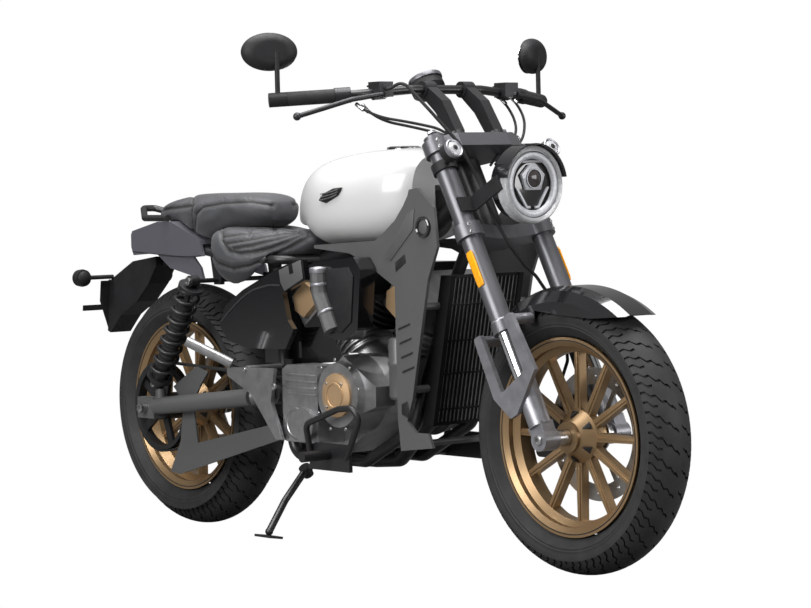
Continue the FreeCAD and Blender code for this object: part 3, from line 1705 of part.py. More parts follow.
def stand_lug():
    """The bolt and the ear that carry the side stand on the right-hand cradle tube."""
    eye, foot, ankle, axis = stand_axis()
    half = float(size.stand_eye_width) / 2
    wall = float(size.stand_lug_wall)
    near = eye + axis * (half + float(size.seat_gap) * 2)
    bolt = Part.makeCylinder(float(size.stand_bolt_radius), half * 2 + wall, eye - axis * half, axis)
    ear = Part.makeCylinder(float(size.stand_eye_radius) * 0.9, wall, near, axis)
    middle = near + axis * (wall / 2)
    rail = vector(size.stand_forward, -size.cradle_half_width, size.cradle_low)
    arm = Part.makeCylinder(wall / 2, (rail - middle).Length, middle, rail - middle)
    room = Part.makeCylinder(float(size.stand_eye_radius) + wall / 8, half * 2 + (near - eye).Length,
        eye - axis * (half * 2), axis)
    return [bolt, ear, arm.cut(room)]


TAIL_BACK_SHARE = 0.79


def frame_tubes():
    """Head tube, backbone, double cradle, seat rails and pivot plates."""
    tail_back = size.tail_low + (size.tail_high - size.tail_low) * TAIL_BACK_SHARE
    rail_top = tail_back - size.tail_roof - size.seat_gap - size.frame_tube_radius * 0.8
    head = Part.makeCylinder(float(size.head_tube_radius),
        float(size.upper_clamp_height - size.lower_clamp_height
                             - size.clamp_height - size.head_gap * 2))
    head_place = moved(stem_foot_x, 0, stem_foot_z) * turned(Y_AXIS, -float(size.rake_angle))
    base = size.lower_clamp_height + size.clamp_height + size.head_gap
    head.Placement = head_place * moved(0, 0, base)
    stem = Part.makeCylinder(float(size.stem_radius + size.stem_clearance), 1000)
    stem.Placement = head_place
    r = size.frame_tube_radius
    half = size.cradle_half_width
    neck = size.head_tube_radius
    solids = [head]
    solids.append(tube([
        (size.neck_forward, 0, size.neck_height),
        (size.backbone_knee_forward, 0, size.backbone_knee_height),
        (size.seat_rail_front, 0, size.seat_rail_height)], size.backbone_radius, size.backbone_radius * 5))
    for side in (-1, 1):
        solids.append(tube([
            (size.downtube_top_forward, 0, size.downtube_top_height),
            (size.downtube_knee_forward, half * side * 0.55, size.downtube_knee_height),
            (size.cradle_front, half * side, size.cradle_low + size.cradle_slope * 0.5),
            (size.cradle_front - size.cradle_slope, half * side, size.cradle_low),
            (size.pivot_forward + size.cradle_rise * 0.3, half * side, size.cradle_low),
            (size.pivot_forward - r, half * side, size.pivot_height * 0.9),
            (size.seat_rail_front - size.seat_rail_setback, half * side, size.seat_rail_height * 0.97),
        ], r, r * 3))
        solids.append(tube([
            (size.seat_rail_front, 0, size.seat_rail_height),
            (size.seat_rail_front - size.seat_rail_setback, half * side, size.seat_rail_height),
            (size.shock_top_forward, half * side, size.seat_rail_rear_height),
            (size.seat_rail_rear, half * side * 0.9, rail_top),
        ], r * 0.8, r * 3))
        plate = prism([
            (size.pivot_forward - size.pivot_plate_half, size.pivot_height - size.pivot_plate_drop),
            (size.pivot_forward + size.pivot_plate_half, size.pivot_height - size.pivot_plate_drop),
            (size.pivot_forward + size.pivot_plate_half * 0.7, size.pivot_height + size.pivot_plate_rise),
            (size.pivot_forward - size.pivot_plate_half * 0.9, size.pivot_height + size.pivot_plate_rise),
        ], half + r * 0.3, half + r * 0.3 + size.pivot_plate_wall)
        solids.append(plate if side > 0 else mirrored(plate))
    for side in (-1, 1):
        hanger = prism([
            (size.shock_top_forward - r, size.shock_top_height - r * 0.8),
            (size.shock_top_forward + r, size.shock_top_height - r * 0.8),
            (size.shock_top_forward + r * 2, size.seat_rail_rear_height),
            (size.shock_top_forward - r * 2, size.seat_rail_rear_height),
        ], half - r * 0.4, half + r * 0.4)
        solids.append(hanger if side > 0 else mirrored(hanger))
    for x, z in ((size.shock_top_forward, size.seat_rail_rear_height),
        (size.seat_rail_rear + r, rail_top - r * 0.3)):
        solids.append(cylinder((x, -half, z), (x, half, z), r * 0.8))
    knee = size.downtube_knee_height
    share = (knee - size.panel_boss_radius - size.radiator_low) / (size.radiator_high - size.radiator_low)
    mount_end = radiator_face(share, -size.radiator_depth - size.seat_gap)[0]
    for side in (-1, 1):
        y = half * side * 0.55
        solids.append(cylinder((size.downtube_knee_forward, y, knee), (mount_end, y, knee),
            size.panel_boss_radius))
    under_x = size.pivot_forward + size.cradle_rise * 0.5
    under_z = size.cradle_low + r * 1.2
    solids.append(cylinder((under_x, -half, under_z), (under_x, half, under_z), r * 0.8))
    solids.append(cylinder((size.shock_top_forward, -size.shock_half_spacing - size.shock_eye_width / 2,
        size.shock_top_height),
                           (size.shock_top_forward, size.shock_half_spacing + size.shock_eye_width / 2,
                               size.shock_top_height), size.shock_bolt_radius))
    solids.append(cylinder((size.pivot_forward, -half - r, size.pivot_height),
        (size.pivot_forward, half + r, size.pivot_height), size.pivot_bolt_radius))
    mount_x = size.tank_mount_forward
    tunnel_slope = (size.tank_tunnel_front - size.tank_tunnel_rear) / (
        size.tank_front - size.tank_rear + size.overrun * 2)
    mount_rear = mount_x - size.panel_boss_radius
    mount_top = size.tank_tunnel_rear + tunnel_slope * (
        mount_rear - size.tank_rear + size.overrun) - size.seat_gap
    solids.append(cylinder((mount_x, 0, size.backbone_knee_height - size.backbone_radius),
        (mount_x, 0, mount_top), size.panel_boss_radius))
    solids += stand_lug()
    shape_part("frame", bike, fused(*solids).cut(stem))


frame_tubes()


def swingarm():
    """Round-tube arms with block ends, joined by a cross tube and the pivot tube."""
    half = size.swingarm_half_width
    r = size.swingarm_radius
    solids = []
    axle_z = size.rear_tyre_radius
    for side in (-1, 1):
        y = half * side
        block_front = size.arm_block_length / 2
        solids.append(cylinder((block_front - size.overrun, y, axle_z + size.overrun),
            (size.pivot_forward - size.arm_kick, y, size.pivot_height - size.overrun * 2), r))
        block = Part.makeBox(float(size.arm_block_length), float(size.arm_block_width),
            float(size.arm_block_height),
                             vector(-size.arm_block_length / 2, y - size.arm_block_width / 2,
                                 axle_z - size.arm_block_height / 2))
        solids.append(block)
        solids.append(cylinder((size.pivot_forward - size.arm_kick, y,
            size.pivot_height - size.overrun * 2),
            (size.pivot_forward,
                (size.cradle_half_width + size.frame_tube_radius * 2 + size.arm_eye_width / 2) * side,
                size.pivot_height), r))
        inner = (size.cradle_half_width + size.frame_tube_radius * 1.4 + size.seat_gap) * side
        outer = (size.cradle_half_width + size.frame_tube_radius * 2 + size.arm_eye_width) * side
        solids.append(cylinder((size.pivot_forward, inner, size.pivot_height),
            (size.pivot_forward, outer, size.pivot_height), size.arm_eye_radius))
        solids.append(cylinder((size.shock_low_forward, y, size.shock_low_height - size.shock_eye_radius),
            (size.shock_low_forward, y, axle_z), r * 0.6))
    brace_x = size.pivot_forward - size.arm_kick - r
    solids.append(cylinder((brace_x, -half, size.pivot_height - size.overrun * 3),
        (brace_x, half, size.pivot_height - size.overrun * 3), r * 0.9))
    body = fused(*solids)
    cuts = [cylinder((0, -half * 2, axle_z), (0, half * 2, axle_z), size.axle_radius + size.seat_gap)]
    cuts.append(cylinder((size.pivot_forward, -half * 2, size.pivot_height),
        (size.pivot_forward, half * 2, size.pivot_height), size.pivot_bolt_radius + size.seat_gap))
    for side in (-1, 1):
        y = size.shock_half_spacing * side
        cuts.append(cylinder((size.shock_low_forward, y - size.shock_eye_width / 2 - size.seat_gap,
            size.shock_low_height),
                             (size.shock_low_forward, y + size.shock_eye_width / 2 + size.seat_gap,
                                 size.shock_low_height), size.shock_eye_radius + size.seat_gap))
    shape_part("swingarm", bike, body.cut(cuts))


swingarm()

rear_axle_end = size.swingarm_half_width + size.arm_block_width / 2 + size.axle_nut_reach
turned_piece("rear_axle", rear_axle_frame, [
    (0, -rear_axle_end),
    (size.axle_radius, -rear_axle_end),
    (size.axle_radius, -size.swingarm_half_width + size.arm_block_width / 2 + size.seat_gap),
    (size.axle_radius + size.spacer_wall,
        -size.swingarm_half_width + size.arm_block_width / 2 + size.seat_gap),
    (size.axle_radius + size.spacer_wall, -size.belt_offset - size.pulley_width / 2 - size.hub_end_gap),
    (size.axle_radius, -size.belt_offset - size.pulley_width / 2 - size.hub_end_gap),
    (size.axle_radius, rear_disc_side + size.disc_thickness / 2 + size.hub_end_gap),
    (size.axle_radius + size.spacer_wall, rear_disc_side + size.disc_thickness / 2 + size.hub_end_gap),
    (size.axle_radius + size.spacer_wall,
        size.swingarm_half_width - size.arm_block_width / 2 - size.seat_gap),
    (size.axle_radius, size.swingarm_half_width - size.arm_block_width / 2 - size.seat_gap),
    (size.axle_radius, rear_axle_end),
    (0, rear_axle_end),
])


def rear_shocks():
    """Twin shocks: rod, body, two eyes and a coil spring each."""
    top = vector(size.shock_top_forward, -size.shock_half_spacing, size.shock_top_height)
    low = vector(size.shock_low_forward, -size.shock_half_spacing, size.shock_low_height)
    heading = (top - low).normalize()
    length = (top - low).Length
    eye = float(size.shock_eye_radius)
    width = float(size.shock_eye_width)
    solids = []
    for point in (top, low):
        solids.append(Part.makeCylinder(eye, width, point - Y_AXIS * (width / 2), Y_AXIS))
    solids.append(Part.makeCylinder(float(size.shock_body_radius), length * 0.45, low, heading))
    solids.append(Part.makeCylinder(float(size.shock_rod_radius), length, low, heading))
    seat = float(size.spring_radius + size.spring_wire)
    for start in (eye, length - eye - float(size.spring_seat)):
        solids.append(Part.makeCylinder(seat, float(size.spring_seat), low + heading * start, heading))
    coil_length = length - 2 * eye - 2 * float(size.spring_seat) + float(size.spring_wire)
    pitch = coil_length / float(size.spring_turns)
    helix = Part.makeHelix(pitch, coil_length, float(size.spring_radius))
    section = Part.Wire(Part.makeCircle(float(size.spring_wire), vector(size.spring_radius, 0, 0), Y_AXIS))
    coil = Part.Wire(helix.Edges).makePipeShell([section], True, True)
    start = low + heading * (eye + float(size.spring_seat) - float(size.spring_wire) / 2)
    coil.Placement = Placement(start, Rotation(Z_AXIS, heading))
    for start in (eye, length - eye - float(size.spring_seat)):
        room = low + heading * (start - float(size.seat_gap))
        coil = coil.cut(Part.makeCylinder(seat + 1.0, float(size.spring_seat + size.seat_gap * 2), room,
            heading))
    piece = fused(*solids)
    bolt = cylinder((size.shock_top_forward, -size.shock_half_spacing * 2, size.shock_top_height),
                    (size.shock_top_forward, size.shock_half_spacing * 2, size.shock_top_height),
                    size.shock_bolt_radius + size.seat_gap)
    piece = piece.cut(bolt)
    springs = [coil, mirrored(coil)]
    shape_part("rear_shocks", bike, Part.Compound([piece, mirrored(piece)] + springs))


rear_shocks()


# Engine


def engine_case():
    """The crankcase as one plain block, rounded at its corners."""
    body = new_body("engine_case", bike)
    side = new_sketch(body, "XZ_Plane")
    front = size.crank_forward + size.case_reach_front
    rear = size.crank_forward - size.case_reach_rear
    low = size.cradle_low + size.frame_tube_radius + size.case_floor_gap
    corner = size.case_corner
    outline(side, [
        (rear, low), (rear + size.case_foot, low, corner),
        (front - corner * 1.4, low + size.case_chamfer, corner),
        (front, size.crank_height + corner * 2, corner),
        (front - corner, size.crank_height + size.case_deck, corner),
        (rear + corner * 2, size.crank_height + size.case_deck, corner / 2),
        (rear, size.crank_height + size.case_deck * 0.7, corner / 2),
    ])
    pad(body, side, size.case_half_width * 2, both_ways=True)
    box = new_sketch(body, "XZ_Plane")
    gearbox_rear = size.pivot_forward + size.pivot_plate_half + size.seat_gap
    outline(box, [
        (gearbox_rear, size.gearbox_low, corner), (rear + corner * 2, size.gearbox_low),
        (rear + corner * 2, size.gearbox_high),
        (gearbox_rear, size.gearbox_high, corner),
    ])
    pad(body, box, size.gearbox_half_width * 2, both_ways=True)
    shaft = new_sketch(body, "XZ_Plane", size.gearbox_half_width - size.overrun)
    circle(shaft, size.front_pulley_forward, size.front_pulley_height,
        size.front_pulley_radius - size.belt_clearance)
    pad(body, shaft, size.belt_offset + size.pulley_width / 2 - size.gearbox_half_width + size.overrun)
    return body


engine_case()


def vee_cylinder(name, direction):
    """A finned barrel under a squarer finned head."""
    place = moved(size.crank_forward, 0, size.crank_height) * turned(Y_AXIS,
        float(size.vee_half_angle) * direction)
    foot = size.cylinder_start
    top = foot + size.cylinder_length
    r = size.cylinder_radius
    solids = [Part.makeCylinder(float(r), float(top - size.barrel_foot + size.head_height * 0.5),
        vector(0, 0, size.barrel_foot))]
    pitch = size.cylinder_length / size.fin_count
    for index in range(int(size.fin_count.value)):
        z = foot + pitch * (index + 0.5)
        fin = Part.makeCylinder(float(r + size.fin_reach), float(size.fin_thickness), vector(0, 0, z))
        solids.append(fin)
    half_x = r + size.fin_reach * 0.25
    half_y = size.head_half_width
    head = Part.makeBox(float(half_x * 2), float(half_y * 2), float(size.head_height),
        vector(-half_x, -half_y, top))
    head = head.makeFillet(float(size.head_corner),
        [edge for edge in head.Edges if abs(edge.tangentAt(0).z) > 0.9])
    solids.append(head)
    shape = fused(*solids)
    shape.Placement = place
    return shape


case_top = size.crank_height + size.case_deck
trim_box = Part.makeBox(4000, 4000, float(case_top + size.seat_gap), vector(-2000, -2000, 0))
barrels = [vee_cylinder("front", 1), vee_cylinder("rear", -1)]
shape_part("cylinders", bike, Part.Compound([barrel.cut(trim_box) for barrel in barrels]))


def head_covers():
    """Bronze covers on the flanks of both heads."""
    solids = []
    for direction in (-1, 1):
        place = moved(size.crank_forward, 0, size.crank_height) * turned(Y_AXIS,
            float(size.vee_half_angle) * direction)
        low = size.cylinder_start + size.cylinder_length + size.head_cover_margin
        high = size.cylinder_start + size.cylinder_length + size.head_height - size.head_cover_margin
        half = size.cylinder_radius - size.head_cover_margin
        middle = (low + high) / 2
        cover = prism([
            (-half, middle), (-half * 0.6, high), (half * 0.6, high), (half, middle), (half * 0.6, low),
            (-half * 0.6, low),
        ], size.head_half_width + size.seat_gap, size.head_half_width + size.head_cover_depth)
        cover.Placement = place
        solids.append(cover)
        solids.append(mirrored(cover))
    shape_part("head_covers", bike, Part.Compound(solids))


head_covers()


def belt_loop(extra_rear, extra_front, half_width, name=None):
    """A flat loop round both pulleys, as a face-built solid at the given radii."""
    rear = vector(0, 0, size.rear_tyre_radius)
    front = vector(size.front_pulley_forward, 0, size.front_pulley_height)
    axis = front - rear
    gap = axis.Length
    tilt = math.atan2(axis.z, axis.x)
    big, small = float(size.rear_pulley_radius) + extra_rear, float(size.front_pulley_radius) + extra_front
    lean = math.asin((big - small) / gap)
    points = []
    for sign in (1, -1):
        angle = tilt + sign * (math.pi / 2 - lean)
        normal = vector(math.cos(angle), 0, math.sin(angle))
        points.append((rear + normal * big, front + normal * small))
    back = rear - axis * (big / gap)
    nose = front + axis * (small / gap)
    edges = [
        Part.LineSegment(points[0][0], points[0][1]).toShape(),
        Part.Arc(points[0][1], nose, points[1][1]).toShape(),
        Part.LineSegment(points[1][1], points[1][0]).toShape(),
        Part.Arc(points[1][0], back, points[0][0]).toShape(),
    ]
    face = Part.Face(Part.Wire(edges))
    face.translate(vector(0, -size.belt_offset - half_width, 0))
    return face.extrude(vector(0, half_width * 2, 0))


def engine_covers():
    """Clutch and transmission covers on the right, the generator cover on the left."""
    inner = size.case_half_width + size.seat_gap
    clutch = Part.makeCone(float(size.clutch_cover_radius), float(size.clutch_cover_radius) * 0.82,
                           float(size.clutch_cover_depth),
                           vector(size.clutch_forward, -inner, size.clutch_height), vector(0, -1, 0))
    seat = Part.makeCylinder(float(size.clutch_cap_radius + size.seat_gap), float(size.clutch_cap_sink),
                             vector(size.clutch_forward,
                                 -inner - size.clutch_cover_depth + size.clutch_cap_sink,
                                 size.clutch_height), vector(0, -1, 0))
    nose = prism([
        (size.clutch_forward, size.clutch_height - size.clutch_cover_radius * 0.7),
        (size.clutch_forward + size.clutch_nose_reach,
            size.clutch_height - size.clutch_cover_radius * 0.25),
        (size.clutch_forward + size.clutch_nose_reach,
            size.clutch_height + size.clutch_cover_radius * 0.25),
        (size.clutch_forward, size.clutch_height + size.clutch_cover_radius),
    ], -inner - size.clutch_cover_depth * 0.75, -inner)
    right = fused(clutch, nose).cut(seat)
    gear_front = size.clutch_forward - size.clutch_cover_radius * 0.8
    room = belt_loop(float(size.overrun) * 2, float(size.overrun) * 2,
        float(size.belt_offset - inner) + float(size.pulley_width) / 2 + float(size.overrun))
    gear = prism([
        (size.gear_cover_rear, size.gear_cover_low + size.case_corner),
        (size.gear_cover_rear + size.case_corner * 0.5, size.gear_cover_low),
        (gear_front, size.gear_cover_low), (gear_front, size.gear_cover_high),
        (size.gear_cover_rear + size.case_corner, size.gear_cover_high),
        (size.gear_cover_rear, size.gear_cover_high - size.case_corner * 0.5),
    ], -inner - size.gear_cover_depth, -inner)
    pod = Part.makeCylinder(float(size.starter_radius), float(size.gear_cover_depth + size.starter_reach),
                            vector(size.starter_forward, -inner, size.starter_height), vector(0, -1, 0))
    far = Part.makeCone(float(size.clutch_cover_radius), float(size.clutch_cover_radius) * 0.82,
        float(size.clutch_cover_depth),
                        vector(size.crank_forward, inner, size.crank_height), vector(0, 1, 0))
    shape_part("engine_covers", bike, Part.Compound([fused(right, gear, pod).cut(room), far]))


engine_covers()

cap_face = size.case_half_width + size.seat_gap + size.clutch_cover_depth - size.clutch_cap_sink + size.seat_gap
turned_piece("clutch_cap", bike * moved(size.clutch_forward, 0, size.clutch_height), [
    (0, -cap_face),
    (0, -cap_face - size.clutch_cap_depth),
    (size.clutch_cap_radius * 0.7, -cap_face - size.clutch_cap_depth),
    (size.clutch_cap_radius, -cap_face - size.clutch_cap_depth * 0.7),
    (size.clutch_cap_radius, -cap_face),
])

AIRBOX_SHARES = (
    (0.05, 0.93), (0.88, 1.00), (1.00, 0.85), (0.92, 0.13), (0.67, 0.00), (0.52, 0.00), (0.26, 0.055),
    (0.00, 0.60),
)
AIRBOX_CORE_SHARES = (
    (-0.32, -1.20), (0.32, -1.20), (1.00, -0.20), (1.28, 0.67), (1.28, 1.00), (-1.28, 1.00), (-1.28, 0.67),
    (-1.00, -0.20),
)


def airbox():
    """The air filter and its cover in the vee, with a side duct, and the battery box behind the engine."""
    width = size.airbox_front - size.airbox_rear
    height = size.airbox_high - size.airbox_low
    corners = [(size.airbox_rear + width * a, size.airbox_low + height * b) for a, b in AIRBOX_SHARES]
    cover = prism(corners, -size.airbox_side, -size.airbox_side + size.airbox_depth)
    cover = cover.makeFillet(float(size.airbox_corner), [
        edge for edge in cover.Edges if abs(edge.tangentAt(edge.FirstParameter).y) > 0.9])
    duct = tube([
        (size.airbox_rear + width * 0.22, -size.airbox_side - size.duct_radius * 0.2,
            size.airbox_high - height * 0.16),
        (size.airbox_rear + width * 0.24, -size.airbox_side - size.duct_radius * 0.2,
            size.airbox_high - height * 0.45),
        (size.airbox_rear + width * 0.46, -size.airbox_side - size.duct_radius * 0.1,
            size.airbox_low + height * 0.12),
    ], size.duct_radius, size.duct_radius * 2)
    tall = size.airbox_core_high - size.airbox_core_low
    core = prism([
        (size.crank_forward + size.airbox_core_half_length * a, size.airbox_core_low + tall * b) for a,
        b in AIRBOX_CORE_SHARES
    ], -size.airbox_side + size.airbox_depth - size.overrun, size.head_half_width)
    room = size.cradle_half_width - size.frame_tube_radius - size.seat_gap
    battery = prism([
        (size.battery_rear, size.battery_low), (size.battery_front, size.battery_low),
        (size.battery_front, size.battery_high), (size.battery_rear, size.battery_high),
    ], -room, room)
    pipes = []
    for direction in (-1, 1):
        place = moved(size.crank_forward, 0, size.crank_height) * turned(Y_AXIS,
            float(size.vee_half_angle) * direction)
        face = size.cylinder_radius + size.fin_reach * 0.25 + size.seat_gap
        middle = size.cylinder_start + size.cylinder_length + size.head_height / 2
        start = place.multVec(vector(-face * direction, 0, middle))
        end = place.multVec(vector(-(face + size.airbox_core_half_length * 0.6) * direction, 0, middle))
        pipes.append(Part.makeCylinder(float(size.manifold_radius), (end - start).Length, start,
            end - start))
    shape_part("airbox", bike, Part.Compound([fused(cover, duct, core, *pipes), battery]))


airbox()


# Cooling, exhaust and body panels


def radiator():
    """A tilted core in a frame, with upright fins and four cross bars."""
    half = size.radiator_half_width
    core = prism([radiator_face(0), radiator_face(1), radiator_face(1, -size.radiator_depth),
        radiator_face(0, -size.radiator_depth)], -half, half)
    solids = [core]
    wall = size.radiator_frame
    for side in (-1, 1):
        y = (half - wall / 2) * side
        rail = prism([radiator_face(0, wall / 2), radiator_face(1, wall / 2), radiator_face(1, -wall / 2),
            radiator_face(0, -wall / 2)], y - wall / 2, y + wall / 2)
        solids.append(rail)
    for share in RADIATOR_BAR_SHARES:
        x, z = radiator_face(share)
        solids.append(Part.makeBox(float(wall / 2), float(half * 2), float(wall / 2),
            vector(x - wall / 4, -half, z)))
    shape_part("radiator", bike, fused(*solids))


RADIATOR_BAR_SHARES = (0.0, 0.1, 0.34, 0.56, 0.8, 0.98)
radiator()

SHROUD_SHARES = (
    (0.853, 0.93), (0.98, 0.86), (1.00, 0.72), (0.92, 0.60), (0.90, 0.54), (0.78, 0.17), (0.735, 0.09),
    (0.80, 0.05), (0.90, 0.05), (0.93, 0.00), (0.68, -0.02), (0.66, 0.10), (0.66, 0.575), (0.42, 0.663),
    (0.296, 0.695), (0.00, 0.713), (0.00, 0.725), (0.507, 0.742), (0.588, 0.775), (0.672, 0.815),
    (0.738, 0.865), (0.778, 0.904), (0.789, 0.925),
)


def radiator_shrouds():
    """Side panels from the tank's front edge down past the radiator."""
    width = size.shroud_front - size.shroud_rear
    height = size.shroud_high - size.shroud_low
    corners = [(size.shroud_rear + width * a, size.shroud_low + height * b) for a, b in SHROUD_SHARES]
    panel = prism(corners, size.shroud_side - size.shroud_wall, size.shroud_side)
    bosses = []
    for share in (0.25, 0.8):
        x, z = radiator_face(share, -size.radiator_depth * 0.9)
        bosses.append(cylinder((x, size.radiator_half_width + size.seat_gap, z),
            (x, size.shroud_side - size.shroud_wall / 2, z), size.panel_boss_radius))
    panel = fused(panel, *bosses)
    reach = size.shroud_side - size.shroud_wall / 2
    belly = prism([
        (size.belly_rear, size.shroud_low), (size.belly_front, size.shroud_low),
        (size.belly_front, size.shroud_low + size.shroud_wall),
        (size.belly_rear, size.shroud_low + size.shroud_wall),
    ], -reach, reach)
    shape_part("radiator_shrouds", bike, fused(mirrored(panel), panel, belly))


radiator_shrouds()

SIDE_COVER_SHARES = (
    (0.00, 0.245), (0.076, 0.464), (0.283, 0.633), (0.693, 0.873), (0.973, 0.983), (1.00, 0.751),
    (0.742, 0.612),
    (0.791, 0.325), (0.853, 0.224), (0.758, 0.017), (0.323, 0.008), (0.09, 0.084),
)


def side_covers():
    """Curved panels below the seat."""
    width = size.side_cover_front - size.side_cover_rear
    height = size.side_cover_high - size.side_cover_low
    corners = [(size.side_cover_rear + width * a, size.side_cover_low + height * b) for a,
        b in SIDE_COVER_SHARES]
    panel = prism(corners, size.side_cover_side - size.side_cover_wall, size.side_cover_side)
    panel = panel.makeFillet(float(size.side_cover_corner), [
        edge for edge in panel.Edges if abs(edge.tangentAt(edge.FirstParameter).y) > 0.9])
    boss_x, boss_z = size.hanger_boss_forward, size.side_cover_low + height * 0.3
    boss = cylinder((boss_x, size.cradle_half_width + size.frame_tube_radius + size.seat_gap, boss_z),
        (boss_x, size.side_cover_side - size.side_cover_wall / 2, boss_z), size.panel_boss_radius)
    panel = fused(panel, boss)
    shape_part("side_covers", bike, Part.Compound([mirrored(panel), panel]))


side_covers()

TAIL_STRIP_SHARES = ((0.30, 0.20), (0.82, 0.12), (0.945, -0.26), (0.98, -0.58), (0.53, -0.28))
TAIL_LOW_SHARES = ((1.00, 0.05), (0.80, 0.00), (0.25, 0.10), (0.03, 0.06), (0.00, 0.28))


def tail_cover():
    """The tail section under the passenger seat, open below for the tyre, with a strip below each side."""
    top = tail_corners(TAIL_TOP_SHARES)
    low = tail_corners(TAIL_LOW_SHARES)
    block = prism(top + low, -size.tail_half_width, size.tail_half_width)
    floor = size.tail_low - size.overrun
    back = size.tail_rear + size.tail_wall
    roof = [(back, top[1][1] - size.tail_roof)] + [(x, z - size.tail_roof) for x, z in top[2:]]
    ahead = size.tail_front + size.overrun
    drop = (top[3][1] - top[4][1]) / (top[4][0] - top[3][0]) * (ahead - top[4][0])
    hollow = prism([(back, floor)] + roof + [(ahead, top[4][1] - size.tail_roof - drop), (ahead, floor)],
                   -size.tail_half_width + size.tail_wall, size.tail_half_width - size.tail_wall)
    strip = prism(tail_corners(TAIL_STRIP_SHARES), size.tail_half_width - size.tail_wall * 1.5,
                  size.tail_half_width - size.tail_wall * 0.5)
    shape_part("tail_cover", bike, fused(block.cut(hollow), strip, mirrored(strip)))


tail_cover()


def grab_rail():
    """A bent tube round the back of the passenger seat, drawn together at the rear."""
    y = size.grab_half_width
    roof = tail_corners(TAIL_TOP_SHARES)[2][1]
    foot = roof + size.grab_radius + size.seat_gap
    top = foot + size.grab_rise
    knee = size.tail_rear + size.grab_radius
    right = [(size.grab_front, -y, foot), (knee, -y * 0.62, foot), (size.grab_rear, -y * 0.16, top)]
    points = right + [(a, -b, c) for a, b, c in right[::-1]]
    shape_part("grab_rail", bike, tube(points, size.grab_radius, size.grab_radius * 2))


grab_rail()


HOLDER_SHARES = (
    (1.00, 1.00), (0.546, 0.938), (0.072, 0.689), (0.00, 0.045), (0.056, 0.023), (0.277, 0.249),
    (0.598, 0.43), (0.839, 0.657), (1.00, 0.884),
)


def plate_holder():
    """The arm behind the wheel with its blank plate."""
    width = size.holder_front - size.holder_rear
    height = size.tail_low - size.seat_gap - size.holder_low
    corners = [(size.holder_rear + width * a, size.holder_low + height * b) for a, b in HOLDER_SHARES]
    arm = prism(corners, -size.holder_half_width, size.holder_half_width)
    low, high = corners[3], corners[2]
    half = size.plate_half_width
    plate = prism([
        high, (high[0] - size.holder_wall, high[1]), (low[0] - size.holder_wall, low[1]), low,
    ], -half, half)
    middle = low[1] + (high[1] - low[1]) * 0.6
    taper = [(-half, high[1] + size.holder_wall), (-half, middle), (-half * 0.4, low[1] - size.holder_wall)]
    plate = plate.common(prism(taper + [(-y, z) for y, z in taper[::-1]], low[0] - size.holder_wall * 2,
                               high[0] + size.holder_wall, "front"))
    strap = []
    for share in (0.42, 0.53):
        strap.append((low[0] + (high[0] - low[0]) * share, low[1] + (high[1] - low[1]) * share))
    wall = size.holder_wall
    ears = prism([strap[0], strap[1], (strap[1][0] - wall, strap[1][1]), (strap[0][0] - wall, strap[0][1])],
                 -half - size.plate_ear, half + size.plate_ear)
    post_x = size.seat_rail_rear + size.frame_tube_radius
    top = corners[0][1]
    tongue = prism([
        (size.holder_front - size.post_radius * 3, top - size.post_radius * 3),
        (post_x + size.post_radius, top - size.post_radius * 2),
        (post_x + size.post_radius, top), (size.holder_front - size.post_radius, top),
    ], -size.post_radius, size.post_radius)
    tail_back = size.tail_low + (size.tail_high - size.tail_low) * TAIL_BACK_SHARE
    rail_low = tail_back - size.tail_roof - size.seat_gap * 2 - size.frame_tube_radius * 1.9
    post = cylinder((post_x, 0, top - size.post_radius), (post_x, 0, rail_low), size.post_radius)
    shape_part("plate_holder", bike, fused(arm, plate, ears, tongue, post))


plate_holder()


def rear_lights():
    """The tail lamp under the seat's end and two round signals."""
    z = size.tail_low + (size.tail_high - size.tail_low) * 0.3
    lamp = Part.makeBox(float(size.tail_lamp_depth), float(size.tail_lamp_half_width) * 2,
        float(size.tail_lamp_height),
                        vector(size.tail_rear - size.tail_lamp_depth - size.seat_gap,
                            -size.tail_lamp_half_width, z))
    x, y, z = size.rear_signal_forward, size.rear_signal_side, size.rear_signal_height
    ball = Part.makeCylinder(float(size.signal_radius), float(size.signal_depth), vector(x, y, z),
        vector(-1, 0, 0))
    stalk = cylinder((x - size.signal_depth / 2, size.holder_half_width + size.seat_gap, z),
        (x - size.signal_depth / 2, y, z), size.signal_stalk_radius)
    signal = fused(ball, stalk)
    shape_part("rear_lights", bike, Part.Compound([lamp, signal, mirrored(signal)]))


rear_lights()


def exhaust():
    """Two header pipes that join under the engine and end in a silencer on the left."""
    r = size.header_radius
    drop = size.header_drop_forward
    place = moved(size.crank_forward, 0, size.crank_height) * turned(Y_AXIS, float(size.vee_half_angle))
    face = size.cylinder_radius + size.fin_reach * 0.25 + size.seat_gap
    middle = size.cylinder_start + size.cylinder_length + size.head_height / 2
    front = tube([
        tuple(place.multVec(vector(face, 0, middle))),
        tuple(place.multVec(vector(face + r * 2.2, 0, middle))),
        (drop, 0, size.header_low + size.header_turn * 2.8),
        (drop - size.header_turn * 2.4, r * 1.3, size.header_low + size.header_turn * 1.15),
        (drop - size.header_turn * 4.0, r * 2.6, size.header_low + r * 0.4),
        (size.gear_cover_rear + size.header_turn, r * 2.6, size.header_low),
        (size.pivot_forward + size.header_turn * 1.2, r * 2.6, size.header_under),
        (size.silencer_front + size.header_turn * 1.3, size.silencer_side * 0.4, size.header_under),
        (size.silencer_front + size.header_turn * 0.3, size.silencer_side * 0.85, size.header_under),
        (size.silencer_front, size.silencer_side, size.silencer_height),
    ], r, r * 2)
    silencer = cylinder((size.silencer_front + r, size.silencer_side, size.silencer_height),
                        (size.silencer_rear, size.silencer_side, size.silencer_height + r * 2),
                        size.silencer_radius)
    shape_part("exhaust", bike, fused(front, silencer))


exhaust()


# Belt drive, guards and foot controls


